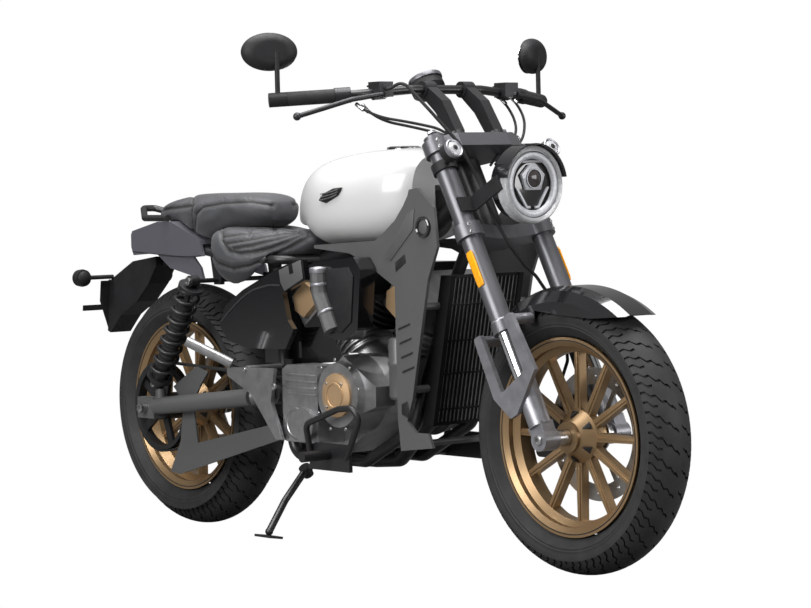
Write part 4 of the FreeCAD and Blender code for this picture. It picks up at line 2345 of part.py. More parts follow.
def drive_belt():
    """The belt as one fixed loop."""
    half = float(size.belt_width) / 2
    thick = float(size.belt_thickness)
    shape_part("drive_belt", bike, belt_loop(thick, thick, half).cut(belt_loop(0.0, 0.0, half * 2)))


drive_belt()


def belt_guards():
    """The guard above the belt's upper run and the long one below its lower run, flat on the arm."""
    y = size.swingarm_half_width - size.swingarm_radius - size.seat_gap
    arm_rise = (size.pivot_height - size.rear_tyre_radius - size.overrun * 3) / (
        size.pivot_forward - size.arm_kick - size.arm_block_length / 2)
    seat = size.rear_tyre_radius + size.overrun + arm_rise * (size.upper_guard_rear + size.guard_step)
    low = prism([
        (size.guard_rear, size.guard_low), (size.guard_rear + size.guard_step,
            size.guard_low - size.guard_step * 0.1),
        (size.guard_front, size.guard_front_height),
        (size.guard_front - size.guard_step, size.guard_front_height + size.guard_step * 0.8),
        (size.upper_guard_rear + size.guard_step * 2.4, size.guard_low + size.guard_depth),
        (size.upper_guard_rear + size.guard_step * 2, seat),
        (size.upper_guard_rear + size.guard_step, seat),
        (size.upper_guard_rear + size.guard_step * 0.6, size.guard_low + size.guard_depth),
    ], -y, -y + size.guard_wall)
    high = prism([
        (size.upper_guard_rear, size.upper_guard_height),
        (size.upper_guard_rear + size.guard_step, seat + size.seat_gap),
        (size.upper_guard_rear + size.guard_step * 2, seat + size.seat_gap),
        (size.upper_guard_front, size.upper_guard_height + size.guard_step * 0.2),
        (size.upper_guard_front + size.guard_step * 0.8, size.upper_guard_height + size.guard_step),
        (size.upper_guard_front - size.guard_step * 0.4, size.upper_guard_height + size.guard_step * 1.3),
    ], -y, -y + size.guard_wall)
    shape_part("belt_guards", bike, Part.Compound([low, high]))


belt_guards()


def passenger_footrests():
    """Cast hangers behind the rider's legs with folding pegs."""
    y = size.hanger_side
    hanger = prism([
        (size.hanger_front, size.hanger_height + size.hanger_rise),
        (size.hanger_rear, size.hanger_height + size.hanger_rise * 0.9),
        (size.hanger_rear, size.hanger_height + size.hanger_rise * 0.4),
        (size.hanger_front - size.hanger_rise * 2.4, size.hanger_height - size.hanger_rise * 0.6),
        (size.hanger_front, size.hanger_tail_low),
        (size.hanger_front + size.hanger_rise * 0.6, size.hanger_tail_low),
        (size.hanger_front - size.hanger_rise * 0.4, size.hanger_height - size.hanger_rise),
    ], y, y + size.hanger_wall)
    boss = cylinder((size.hanger_boss_forward,
        size.cradle_half_width + size.frame_tube_radius + size.seat_gap, size.hanger_boss_height),
                    (size.hanger_boss_forward, y + size.hanger_wall / 2, size.hanger_boss_height),
                    size.panel_boss_radius)
    peg_x = size.hanger_rear + size.peg_radius
    peg_z = size.hanger_height + size.hanger_rise + size.peg_radius * 0.5
    tip = (peg_x - size.peg_length * 0.8, y + size.peg_length, peg_z + size.peg_length * 0.65)
    peg = cylinder((peg_x, y + size.hanger_wall * 0.5, peg_z), tip, size.peg_radius)
    piece = fused(hanger, boss, peg)
    shape_part("passenger_footrests", bike, Part.Compound([piece, mirrored(piece)]))


passenger_footrests()


def rider_footrests():
    """Rider's pegs on cast brackets with a bent guard tube, brake pedal and gear lever."""
    y = size.control_side
    bracket = prism([
        (size.control_rear, size.control_low), (size.control_front, size.control_low),
        (size.control_front, size.control_low + size.control_height),
        (size.control_rear + size.control_height * 0.4, size.control_low + size.control_height),
    ], y, y + size.hanger_wall)
    guard = tube([
        (size.control_front - size.peg_radius, y + size.hanger_wall * 0.8,
            size.control_low + size.control_height * 0.5),
        (size.control_front + size.control_height * 1.3, y + size.guard_reach,
            size.control_low + size.control_height * 2.5),
        (size.control_front - size.control_height * 0.2, y + size.guard_reach,
            size.control_low + size.control_height * 2.35),
        (size.control_rear + size.control_height * 0.3, y + size.guard_reach,
            size.control_low + size.control_height * 1.7),
        (size.control_rear + size.peg_radius, y + size.hanger_wall * 0.8,
            size.control_low + size.control_height * 0.3),
    ], size.peg_radius * 0.6, size.peg_radius * 2)
    peg_x = (size.control_front + size.control_rear) / 2
    peg_z = size.control_low + size.control_height * 0.6
    peg = cylinder((peg_x, y + size.hanger_wall * 0.5, peg_z), (peg_x, y + size.peg_length, peg_z),
        size.peg_radius)
    bar_x = size.control_rear + size.control_height * 0.4
    bar = cylinder((bar_x, size.cradle_half_width + size.frame_tube_radius + size.seat_gap,
        size.cradle_low),
                   (bar_x, y + size.hanger_wall * 0.5, size.cradle_low), size.panel_boss_radius)
    piece = fused(bracket, guard, peg, bar)
    shape_part("rider_footrests", bike, Part.Compound([piece, mirrored(piece)]))


rider_footrests()


def side_stand():
    """The stand, swung down: an eye, a bent leg and a flat foot on the floor."""
    eye, foot, ankle, axis = stand_axis()
    half = float(size.stand_eye_width) / 2
    barrel = Part.makeCylinder(float(size.stand_eye_radius), half * 2, eye - axis * half, axis)
    along = (ankle - eye).normalize()
    knee = eye + (ankle - eye) * 0.5 + axis.cross(along) * float(size.stand_bow)
    leg = tube([tuple(eye), tuple(knee), tuple(ankle)], size.stand_radius, size.stand_radius * 6)
    sole = Part.makeBox(float(size.stand_foot_length), float(size.stand_foot_width),
        float(size.stand_foot_thickness),
                        vector(-size.stand_foot_length / 2, -size.stand_foot_width / 2, 0))
    sole.Placement = Placement(foot, Rotation(X_AXIS, -float(size.lean_angle)))
    ankle_ball = Part.makeSphere(float(size.stand_radius) * 1.1, ankle)
    hole = Part.makeCylinder(float(size.stand_bolt_radius + size.axle_clearance), half * 4,
        eye - axis * (half * 2), axis)
    shape_part("side_stand", bike, fused(barrel, leg, ankle_ball, sole).cut(hole))


side_stand()


# Checks, origin and files

doc.recompute()
hidden = [item for item in doc.Objects if "Invalid" in item.State or "Error" in item.State]
if hidden:
    raise RuntimeError("Failed: " + ", ".join(item.Name for item in hidden))
for label, item in parts.items():
    if item.Shape.isNull() or not item.Shape.isValid():
        raise RuntimeError("Bad shape: " + label)

bounds = FreeCAD.BoundBox()
for item in parts.values():
    bounds.add(item.Shape.optimalBoundingBox(False, False))
origin_shift = Placement(Vector(-bounds.Center.x, -bounds.Center.y, -bounds.ZMin), Rotation())
for item in parts.values():
    item.Placement = origin_shift * item.Placement
doc.recompute()

os.makedirs("parts", exist_ok=True)
for label, item in parts.items():
    item.Shape.exportStep(f"parts/{label}.step")
print("Size", bounds.XLength, bounds.YLength, bounds.ZLength, "origin", origin_shift.Base)
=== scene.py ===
"""Looks of a cruiser motorcycle that leans on its side stand."""

import json
import logging
import math
from dataclasses import dataclass
from enum import Enum
from typing import Iterable, Sequence

import bpy
import numpy
from mathutils import Matrix, Vector

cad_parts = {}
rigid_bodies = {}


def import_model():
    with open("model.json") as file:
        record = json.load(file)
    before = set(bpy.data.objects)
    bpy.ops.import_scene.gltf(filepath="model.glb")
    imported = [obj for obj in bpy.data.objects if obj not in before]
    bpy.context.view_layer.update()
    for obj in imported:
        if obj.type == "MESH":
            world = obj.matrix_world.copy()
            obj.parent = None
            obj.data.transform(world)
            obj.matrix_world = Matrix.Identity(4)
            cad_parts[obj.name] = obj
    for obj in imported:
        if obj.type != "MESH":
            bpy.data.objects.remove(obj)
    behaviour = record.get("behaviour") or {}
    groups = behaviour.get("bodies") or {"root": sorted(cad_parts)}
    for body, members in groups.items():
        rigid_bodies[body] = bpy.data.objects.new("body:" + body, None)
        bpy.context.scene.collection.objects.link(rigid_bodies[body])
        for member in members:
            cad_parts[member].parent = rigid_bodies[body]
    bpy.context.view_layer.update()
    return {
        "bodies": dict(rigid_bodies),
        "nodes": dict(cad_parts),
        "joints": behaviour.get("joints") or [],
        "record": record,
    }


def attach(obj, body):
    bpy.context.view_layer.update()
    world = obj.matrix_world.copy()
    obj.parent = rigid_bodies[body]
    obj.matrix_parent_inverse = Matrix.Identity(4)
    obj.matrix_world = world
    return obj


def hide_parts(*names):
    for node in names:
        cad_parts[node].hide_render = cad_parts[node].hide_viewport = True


LOG = logging.getLogger("motorcycle")
Point = tuple[float, float, float]
Colour = tuple[float, float, float]
Points = Sequence[Sequence[float]]
Rings = Sequence[tuple[float, float]]

# Forms are drawn in millimetres, and Blender works in metres.
PER_METRE = 1000.0
NEAR_SIDE = (0.0, -1.0, 0.0)
UPWARD = (0.0, 0.0, 1.0)


class Body(str, Enum):
    """The rigid bodies that a piece can ride on."""

    CHASSIS = "chassis"
    STEERING = "steering"
    FRONT_WHEEL = "front_wheel"
    REAR_WHEEL = "rear_wheel"
    SIDE_STAND = "side_stand"


@dataclass(frozen=True)
class Stance:
    """Where the upright machine stands in the frame, in metres, and how far it leans, in degrees."""

    forward: float = -0.7105
    left: float = 0.180116
    crown: float = 0.075
    lean: float = 9.0
    rake: float = 28.0
    stem_forward: float = 1.467917
    stem_height: float = 0.300282
    wheelbase: float = 1.505
    front_axle: float = 0.320
    rear_axle: float = 0.326

    def upright(self) -> Matrix:
        """Leans the machine.

        Returns:
            The matrix from the upright machine to the leaning one.
        """
        shift = Matrix.Translation((self.forward, self.left, self.crown))
        lean = Matrix.Rotation(math.radians(self.lean), 4, "X")
        return shift @ lean @ Matrix.Translation((0.0, 0.0, -self.crown))

    def steering(self) -> Matrix:
        """Returns the matrix from the fork's own frame, with Z up the stem."""
        foot = Matrix.Translation((self.stem_forward, 0.0, self.stem_height))
        return self.upright() @ foot @ Matrix.Rotation(math.radians(-self.rake), 4, "Y")

    def front_wheel(self) -> Matrix:
        """Returns the matrix from the front axle's centre."""
        return self.upright() @ Matrix.Translation((self.wheelbase, 0.0, self.front_axle))

    def rear_wheel(self) -> Matrix:
        """Returns the matrix from the rear axle's centre."""
        return self.upright() @ Matrix.Translation((0.0, 0.0, self.rear_axle))


STANCE = Stance()


class Shader:
    """Builds one material from shader nodes."""

    def __init__(self, name: str) -> None:
        """Starts a material with one Principled shader.

        Args:
            name: the material's name.
        """
        self.material = bpy.data.materials.new(name)
        self.material.use_nodes = True
        self.nodes = self.material.node_tree.nodes
        self.links = self.material.node_tree.links
        self.surface = self.nodes["Principled BSDF"]
        self.coordinates = self.nodes.new("ShaderNodeTexCoord").outputs["Object"]

    def node(self, kind: str, **inputs: object) -> bpy.types.Node:
        """Adds a node and sets its inputs by name.

        Args:
            kind: the node's type without the ShaderNode prefix.
            inputs: socket names, with spaces as underscores, and their values or sockets.

        Returns:
            The new node.
        """
        made = self.nodes.new("ShaderNode" + kind)
        for name, value in inputs.items():
            socket = made.inputs[name.replace("_", " ")]
            if isinstance(value, bpy.types.NodeSocket):
                self.links.new(value, socket)
            else:
                socket.default_value = value
        return made

    def set(self, **inputs: object) -> None:
        """Sets or links inputs of the Principled shader.

        Args:
            inputs: socket names, with spaces as underscores, and their values or sockets.
        """
        for name, value in inputs.items():
            socket = self.surface.inputs[name.replace("_", " ")]
            if isinstance(value, bpy.types.NodeSocket):
                self.links.new(value, socket)
            else:
                socket.default_value = value

    def noise(self, scale: float, detail: float = 2.0, roughness: float = 0.5,
              vector: bpy.types.NodeSocket | None = None) -> bpy.types.NodeSocket:
        """Returns a noise pattern from 0 to 1.

        Args:
            scale: how many features there are to a metre.
            detail: how many octaves are added.
            roughness: how strong the finer octaves are.
            vector: the coordinates, or None for the object's own.

        Returns:
            The noise node's factor.
        """
        made = self.node("TexNoise", Vector=vector or self.coordinates, Scale=scale, Detail=detail,
                         Roughness=roughness)
        return made.outputs["Fac"]

    def ramp(self, factor: bpy.types.NodeSocket, colours: Sequence[Sequence[float]],
             start: float = 0.3, end: float = 0.7) -> bpy.types.NodeSocket:
        """Returns a colour that follows a factor.

        Args:
            factor: the value from 0 to 1.
            colours: the colours at the start and at the end.
            start: the factor up to which the first colour holds.
            end: the factor from which the last colour holds.

        Returns:
            The ramp's colour.
        """
        made = self.node("ValToRGB", Fac=factor)
        for element, position, colour in zip(made.color_ramp.elements, (start, end), colours):
            element.position = position
            element.color = (*colour, 1.0)
        return made.outputs["Color"]

    def between(self, factor: bpy.types.NodeSocket, low: float, high: float) -> bpy.types.NodeSocket:
        """Stretches a factor over a range.

        Args:
            factor: the value from 0 to 1.
            low: the result at 0.
            high: the result at 1.

        Returns:
            The result's socket.
        """
        made = self.node("MapRange", Value=factor)
        made.inputs["To Min"].default_value = low
        made.inputs["To Max"].default_value = high
        return made.outputs["Result"]

    def bump(self, height: bpy.types.NodeSocket, strength: float, distance: float,
             before: bpy.types.NodeSocket | None = None) -> bpy.types.NodeSocket:
        """Returns a normal that is roughened by a height.

        Args:
            height: the height pattern.
            strength: how much of it counts.
            distance: how far it stands out, in metres.
            before: a normal that is roughened already.

        Returns:
            The bump node's normal.
        """
        made = self.node("Bump", Height=height, Strength=strength, Distance=distance)
        if before is not None:
            self.links.new(before, made.inputs["Normal"])
        return made.outputs["Normal"]


def shades(colour: Colour, spread: float) -> tuple[Colour, Colour]:
    """Spreads a colour.

    Args:
        colour: the middle colour.
        spread: how far the shades lie from it, as a share.

    Returns:
        A darker and a lighter shade.
    """
    darker = tuple(part * (1.0 - spread) for part in colour)
    lighter = tuple(min(1.0, part * (1.0 + spread)) for part in colour)
    return darker, lighter


@dataclass(frozen=True)
class Paint:
    """A sprayed finish: a base with fine flakes under a clear coat."""

    name: str
    colour: Colour
    metallic: float = 0.0
    roughness: float = 0.4
    coat: float = 0.0
    flake: float = 0.12
    peel: float = 0.02
    flakes: float = 1600.0
    patches: float = 14.0
    ripples: float = 220.0

    def material(self) -> bpy.types.Material:
        """Mixes the paint.

        Returns:
            The paint's material.
        """
        shader = Shader(self.name)
        flakes = shader.noise(self.flakes, 1.0)
        patches = shader.noise(self.patches, 3.0)
        shader.set(Base_Color=shader.ramp(flakes, shades(self.colour, self.flake), 0.35, 0.65))
        shader.set(Metallic=self.metallic, Coat_Weight=self.coat, Coat_Roughness=0.04)
        shader.set(Roughness=shader.between(patches, self.roughness * 0.85, self.roughness * 1.15))
        shader.set(Normal=shader.bump(shader.noise(self.ripples, 1.0), self.peel, 0.001))
        return shader.material


@dataclass(frozen=True)
class Cast:
    """Cast or blasted metal with a fine grain and a random darker and lighter mottle."""

    name: str
    colour: Colour
    metallic: float = 0.9
    roughness: float = 0.42
    grain: float = 0.25
    grains: float = 900.0
    mottle: float = 0.16
    mottles: float = 30.0
    patches: float = 60.0

    def material(self) -> bpy.types.Material:
        """Mixes the casting.

        Returns:
            The casting's material.
        """
        shader = Shader(self.name)
        mottles = shader.noise(self.mottles, 5.0, 0.6)
        patches = shader.noise(self.patches, 3.0)
        shader.set(Base_Color=shader.ramp(mottles, shades(self.colour, self.mottle)))
        shader.set(Metallic=self.metallic)
        shader.set(Roughness=shader.between(patches, self.roughness * 0.8, self.roughness * 1.2))
        shader.set(Normal=shader.bump(shader.noise(self.grains, 2.0), self.grain, 0.0006))
        return shader.material


@dataclass(frozen=True)
class Moulded:
    """Moulded plastic or rubber with a spark-eroded grain."""

    name: str
    colour: Colour
    roughness: float = 0.55
    grain: float = 0.3
    grains: float = 1400.0
    specular: float = 0.3
    mottle: float = 0.22
    mottles: float = 24.0
    patches: float = 90.0

    def material(self) -> bpy.types.Material:
        """Mixes the moulding.

        Returns:
            The moulding's material.
        """
        shader = Shader(self.name)
        mottles = shader.noise(self.mottles, 4.0)
        patches = shader.noise(self.patches, 2.0)
        shader.set(Base_Color=shader.ramp(mottles, shades(self.colour, self.mottle)))
        shader.set(Roughness=shader.between(patches, self.roughness * 0.88, self.roughness * 1.12))
        shader.set(Specular_IOR_Level=self.specular)
        shader.set(Normal=shader.bump(shader.noise(self.grains, 1.0), self.grain, 0.0004))
        return shader.material


@dataclass(frozen=True)
class Leather:
    """Grained cover material with a soft sheen."""

    name: str
    colour: Colour
    roughness: float = 0.52
    mottle: float = 0.2
    mottles: float = 18.0
    pores: float = 650.0
    crease: float = 0.16
    wrinkles: float = 60.0
    # The seams' colour: the dark seam line, and painted shade in the seam's crease.
    seam_shade_colour: Colour = (0.003, 0.003, 0.003)

    def material(self) -> bpy.types.Material:
        """Mixes the leather, darker where the seam attribute marks a seam: the dark seam line, with painted
        shade in its crease.

        Returns:
            The leather's material.
        """
        shader = Shader(self.name)
        cells = shader.node("TexVoronoi", Vector=shader.coordinates, Scale=self.pores)
        cells.feature = "DISTANCE_TO_EDGE"
        creases = shader.ramp(cells.outputs["Distance"], ((0.0,) * 3, (1.0,) * 3), 0.0, self.crease)
        cover = shader.ramp(shader.noise(self.mottles, 4.0, 0.6), shades(self.colour, self.mottle))
        shader.set(Base_Color=self.shade_seams(shader, cover))
        shader.set(Roughness=shader.between(creases, self.roughness * 1.25, self.roughness * 0.9))
        fine = shader.bump(creases, 0.28, 0.0004)
        shader.set(Normal=shader.bump(shader.noise(self.wrinkles, 3.0), 0.04, 0.001, fine))
        shader.set(Sheen_Weight=0.12, Sheen_Roughness=0.5)
        return shader.material

    def shade_seams(self, shader: Shader, cover: bpy.types.NodeSocket) -> bpy.types.NodeSocket:
        """Darkens the cover's colour along its seams: the dark seam line, and painted shade in the seam's
        crease.

        Args:
            shader: the leather's shader.
            cover: the colour between the seams.

        Returns:
            The colour with its seams and their painted shade.
        """
        seam_shading = shader.node("Attribute")
        seam_shading.attribute_name = "seam"
        mix = shader.node("Mix", Factor=seam_shading.outputs["Fac"])
        mix.data_type = "RGBA"
        plain, dark = (socket for socket in mix.inputs if socket.type == "RGBA")
        shader.links.new(cover, plain)
        dark.default_value = (*self.seam_shade_colour, 1.0)
        return next(socket for socket in mix.outputs if socket.type == "RGBA")


@dataclass(frozen=True)
class Turned:
    """Bare or plated metal with fine lines round its axis."""

    name: str
    colour: Colour
    roughness: float = 0.25
    lines: float = 0.1
    stretch: Point = (60.0, 1500.0, 60.0)

    def material(self) -> bpy.types.Material:
        """Mixes the metal.

        Returns:
            The metal's material.
        """
        shader = Shader(self.name)
        mapping = shader.node("Mapping", Vector=shader.coordinates, Scale=self.stretch)
        lines = shader.noise(1.0, 3.0, 0.6, mapping.outputs["Vector"])
        shader.set(Base_Color=shader.ramp(lines, shades(self.colour, 0.1)))
        shader.set(Metallic=1.0)
        shader.set(Roughness=shader.between(lines, self.roughness * 0.75, self.roughness * 1.25))
        shader.set(Normal=shader.bump(lines, self.lines, 0.0003))
        return shader.material


@dataclass(frozen=True)
class Lens:
    """Clear or tinted plastic over a lamp, with light in its depth."""

    name: str
    colour: Colour
    transmission: float = 0.6
    roughness: float = 0.05
    glow: float = 0.0
    clouds: float = 160.0
    ripples: float = 420.0
    refraction: float = 1.49

    def material(self) -> bpy.types.Material:
        """Mixes the lens.

        Returns:
            The lens's material.
        """
        shader = Shader(self.name)
        shader.set(Base_Color=shader.ramp(shader.noise(self.clouds, 2.0), shades(self.colour, 0.12)))
        shader.set(Transmission_Weight=self.transmission, Roughness=self.roughness, IOR=self.refraction)
        shader.set(Normal=shader.bump(shader.noise(self.ripples, 1.0), 0.05, 0.0004))
        if self.glow:
            shader.set(Emission_Color=(*self.colour, 1.0), Emission_Strength=self.glow)
        return shader.material


class Palette:
    """Every finish of the machine, made once."""

    FINISHES = (
        Paint("tank_pearl", (0.51, 0.515, 0.51), roughness=0.34, coat=0.5, flake=0.03),
        Paint("shroud_grey", (0.105, 0.106, 0.106), metallic=0.35, roughness=0.42, flake=0.2),
        Paint("frame_black", (0.010, 0.010, 0.011), roughness=0.38, peel=0.05),
        Paint("fork_grey", (0.12, 0.12, 0.13), metallic=0.55, roughness=0.36),
        Paint("wheel_bronze", (0.32, 0.21, 0.11), metallic=0.7, roughness=0.36, flake=0.18),
        Paint("cover_bronze", (0.55, 0.37, 0.21), metallic=0.7, roughness=0.4, flake=0.14),
        Paint("gloss_black", (0.006, 0.006, 0.007), roughness=0.14, coat=1.0, flake=0.3, peel=0.01),
        Paint("tail_metallic", (0.19, 0.19, 0.22), metallic=0.6, roughness=0.3, coat=1.0, flake=0.3),
        Cast("engine_cast", (0.33, 0.33, 0.332), roughness=0.44),
        Cast("engine_cover", (0.32, 0.32, 0.325), roughness=0.38, grain=0.15),
        Cast("fork_cast", (0.27, 0.27, 0.29), metallic=0.7, roughness=0.36),
        Cast("black_cast", (0.028, 0.028, 0.030), metallic=0.6, roughness=0.42),
        Moulded("moulded_black", (0.013, 0.013, 0.014), specular=0.22),
        Moulded("radiator_black", (0.006, 0.006, 0.006), roughness=0.6, specular=0.15),
        Moulded("grip_rubber", (0.016, 0.016, 0.016), roughness=0.72),
        Moulded("tyre_rubber", (0.024, 0.024, 0.0245), roughness=0.62, grain=0.2, grains=700.0),
        Leather("seat_leather", (0.030, 0.031, 0.035)),
        Turned("chrome", (0.72, 0.72, 0.73), roughness=0.12, lines=0.03),
        Turned("turned_steel", (0.45, 0.45, 0.45), roughness=0.28),
        Turned("disc_steel", (0.40, 0.39, 0.38), roughness=0.3),
        Lens("clear_lens", (0.80, 0.81, 0.83)),
        # The amber lens's glow is painted light; the fork reflectors, which are no lamps, glow with it too.
        Lens("amber_lens", (0.95, 0.38, 0.01), transmission=0.15, glow=0.12),
        Lens("smoked_lens", (0.06, 0.05, 0.05), transmission=0.2),
        Lens("red_lens", (0.45, 0.01, 0.01), transmission=0.2, glow=0.05),
        Lens("lit_lens", (0.52, 0.53, 0.56), transmission=0.1, roughness=0.12),
        Turned("mirror_glass", (0.82, 0.84, 0.86), roughness=0.02, lines=0.0),
    )

    NODE_FINISHES = {
        "frame": "frame_black", "swingarm": "shroud_grey", "rear_shocks": "frame_black",
        "engine_case": "engine_cast", "cylinders": "engine_cast", "head_covers": "cover_bronze",
        "engine_covers": "engine_cover", "clutch_cap": "cover_bronze", "airbox": "gloss_black",
        "radiator": "radiator_black", "radiator_shrouds": "shroud_grey", "fuel_tank": "tank_pearl",
        "tank_cap": "chrome", "side_covers": "gloss_black", "rider_seat": "seat_leather",
        "passenger_seat": "seat_leather", "grab_rail": "frame_black", "tail_cover": "tail_metallic",
        "rear_lights": "moulded_black", "plate_holder": "moulded_black", "exhaust": "black_cast",
        "drive_belt": "grip_rubber", "belt_guards": "shroud_grey", "passenger_footrests": "engine_cover",
        "rider_footrests": "frame_black", "rear_caliper": "black_cast", "rear_axle": "turned_steel",
        "triple_clamps": "fork_grey", "fork_tubes": "fork_grey", "fork_stanchions": "chrome",
        "fork_lugs": "fork_cast", "front_axle": "turned_steel", "front_mudguard": "gloss_black",
        "headlight": "gloss_black", "headlight_bracket": "moulded_black", "front_signals": "moulded_black",
        "handlebar": "frame_black", "grips": "grip_rubber", "mirrors": "moulded_black",
        "hand_controls": "black_cast", "instrument": "moulded_black", "brake_hoses": "grip_rubber",
        "front_caliper": "black_cast", "front_tyre": "tyre_rubber", "front_wheel": "wheel_bronze",
        "front_disc": "disc_steel", "rear_tyre": "tyre_rubber", "rear_wheel": "wheel_bronze",
        "rear_disc": "disc_steel", "rear_pulley": "black_cast", "side_stand": "frame_black",
    }

    def __init__(self) -> None:
        """Makes every material."""
        self.materials = {finish.name: finish.material() for finish in self.FINISHES}

    def dress(self, piece: bpy.types.Object, finish: str) -> None:
        """Gives a piece one finish all over.

        Args:
            piece: the piece to dress.
            finish: the finish's name.
        """
        piece.data.materials.clear()
        piece.data.materials.append(self.materials[finish])

    def dress_nodes(self, nodes: dict[str, bpy.types.Object]) -> None:
        """Gives each CAD node its finish through its material slots.

        Args:
            nodes: the CAD nodes by name.
        """
        for name, node in nodes.items():
            for slot in node.material_slots:
                slot.material = self.materials[self.NODE_FINISHES[name]]


@dataclass(frozen=True)
class Lamp:
    """One soft area lamp: its place and aim in metres, its width and height, and its watts."""

    name: str
    place: Point
    aim: Point
    size: tuple[float, float]
    power: float

    def hang(self) -> None:
        """Adds the lamp to the scene, turned to its aim."""
        data = bpy.data.lights.new(self.name, "AREA")
        data.shape = "RECTANGLE"
        data.size, data.size_y = self.size
        data.energy = self.power
        item = bpy.data.objects.new(self.name, data)
        bpy.context.collection.objects.link(item)
        item.location = self.place
        item.rotation_euler = (Vector(self.aim) - Vector(self.place)).to_track_quat("-Z", "Y").to_euler()


@dataclass
class Studio:
    """The floor, the lamps, the world and the camera, which is placed for the upright machine."""

    lamps: tuple[Lamp, ...] = (
        Lamp("overhead", (0.2, -0.6, 3.4), (0.1, 0.0, 0.5), (3.6, 2.4), 245.0),
        Lamp("side_fill", (0.6, -4.2, 1.6), (0.0, 0.0, 0.6), (3.0, 2.0), 190.0),
        Lamp("front_fill", (4.6, 1.6, 1.8), (0.6, 0.0, 0.6), (3.6, 1.4), 100.0),
    )
    floor_size: float = 60.0
    floor_drop: float = 0.0005
    floor_grey: float = 0.2
    floor_roughness: float = 0.9
    sky: float = 0.05
    sky_in_reflections: float = 0.20
    lens: float = 120.05
    sensor: float = 36.0
    azimuth: float = 50.35
    elevation: float = 2.5
    roll: float = -1.36
    target: Point = (0.75, 0.0, 0.5)
    aside: float = 0.0814
    above: float = 0.1096
    distance: float = 6.787

    def white_for_camera(self, tree: bpy.types.NodeTree, plain: bpy.types.NodeSocket,
                         white: bpy.types.NodeSocket) -> bpy.types.NodeSocket:
        """Mixes two shaders, so that the camera and glass see the white one.

        Args:
            tree: the node tree to add to.
            plain: the shader for all other light.
            white: the shader that is seen.

        Returns:
            The mixed shader's socket.
        """
        path = tree.nodes.new("ShaderNodeLightPath")
        seen = tree.nodes.new("ShaderNodeMath")
        seen.operation = "MAXIMUM"
        tree.links.new(path.outputs["Is Camera Ray"], seen.inputs[0])
        tree.links.new(path.outputs["Is Transmission Ray"], seen.inputs[1])
        mix = tree.nodes.new("ShaderNodeMixShader")
        for source, socket in zip((seen.outputs[0], plain, white), mix.inputs):
            tree.links.new(source, socket)
        return mix.outputs[0]

    def lay_floor(self) -> None:
        """Adds a wide floor that the camera and glass see as plain white, and that is dark grey to all other
        light.
        """
        bpy.ops.mesh.primitive_plane_add(size=self.floor_size, location=(0.0, 0.0, -self.floor_drop))
        floor = bpy.context.object
        floor.name = "floor"
        material = bpy.data.materials.new("floor_white")
        material.use_nodes = True
        tree = material.node_tree
        surface = tree.nodes["Principled BSDF"]
        surface.inputs["Base Color"].default_value = (self.floor_grey,) * 3 + (1.0,)
        surface.inputs["Roughness"].default_value = self.floor_roughness
        surface.inputs["Specular IOR Level"].default_value = 0.0
        light = tree.nodes.new("ShaderNodeEmission")
        mixed = self.white_for_camera(tree, surface.outputs[0], light.outputs[0])
        tree.links.new(mixed, tree.nodes["Material Output"].inputs["Surface"])
        floor.data.materials.append(material)

    def light_world(self) -> None:
        """Sets a dim sky, brighter in reflections, that the camera sees as white."""
        world = bpy.data.worlds.new("studio")
        bpy.context.scene.world = world
        world.use_nodes = True
        tree = world.node_tree
        sky = tree.nodes["Background"]
        sky.inputs["Color"].default_value = (1.0, 1.0, 1.0, 1.0)
        path = tree.nodes.new("ShaderNodeLightPath")
        strength = tree.nodes.new("ShaderNodeMath")
        strength.operation = "MULTIPLY_ADD"
        tree.links.new(path.outputs["Is Glossy Ray"], strength.inputs[0])
        strength.inputs[1].default_value = self.sky_in_reflections
        strength.inputs[2].default_value = self.sky
        tree.links.new(strength.outputs[0], sky.inputs["Strength"])
        white = tree.nodes.new("ShaderNodeBackground")
        white.inputs["Color"].default_value = (1.0, 1.0, 1.0, 1.0)
        mixed = self.white_for_camera(tree, sky.outputs[0], white.outputs[0])
        tree.links.new(mixed, tree.nodes["World Output"].inputs["Surface"])

    def place_camera(self) -> None:
        """Sets the camera that the photograph was solved for, turned with the lean."""
        azimuth, elevation, roll = map(math.radians, (self.azimuth, self.elevation, self.roll))
        back = Vector((math.sin(azimuth) * math.cos(elevation),
                       -math.cos(azimuth) * math.cos(elevation),
                       math.sin(elevation)))
        right = Vector((math.cos(azimuth), math.sin(azimuth), 0.0))
        up = back.cross(right)
        across = right * math.cos(roll) + up * math.sin(roll)
        upward = up * math.cos(roll) - right * math.sin(roll)
        spot = Vector(self.target) + across * self.aside + upward * self.above + back * self.distance
        turn = Matrix((across, upward, back)).transposed().to_4x4()
        data = bpy.data.cameras.new("camera")
        data.lens = self.lens
        data.sensor_width = self.sensor
        data.sensor_fit = "HORIZONTAL"
        camera = bpy.data.objects.new("camera", data)
        bpy.context.collection.objects.link(camera)
        camera.matrix_world = STANCE.upright() @ Matrix.Translation(spot) @ turn
        bpy.context.scene.camera = camera

    def build(self) -> None:
        """Sets up the whole studio."""
        self.lay_floor()
        self.light_world()
        for lamp in self.lamps:
            lamp.hang()
        self.place_camera()
        bpy.context.scene.view_settings.view_transform = "Standard"


def metres(values: Iterable[float]) -> Vector:
    """Returns a point in metres from one in millimetres."""
    return Vector(values) / PER_METRE


def standing(outline: Points, side: float) -> list[Point]:
    """Returns an outline of forward places and heights as corners at one distance to the side."""
    return [(forward, side, height) for forward, height in outline]


def clear_selection() -> None:
    """Leaves edit mode and deselects everything."""
    if bpy.context.mode != "OBJECT":
        bpy.ops.object.mode_set(mode="OBJECT")
    bpy.ops.object.select_all(action="DESELECT")


def pick(form: bpy.types.Object) -> None:
    """Selects one form and makes it the active one.

    Args:
        form: the form to work on.
    """
    clear_selection()
    form.select_set(True)
    bpy.context.view_layer.objects.active = form


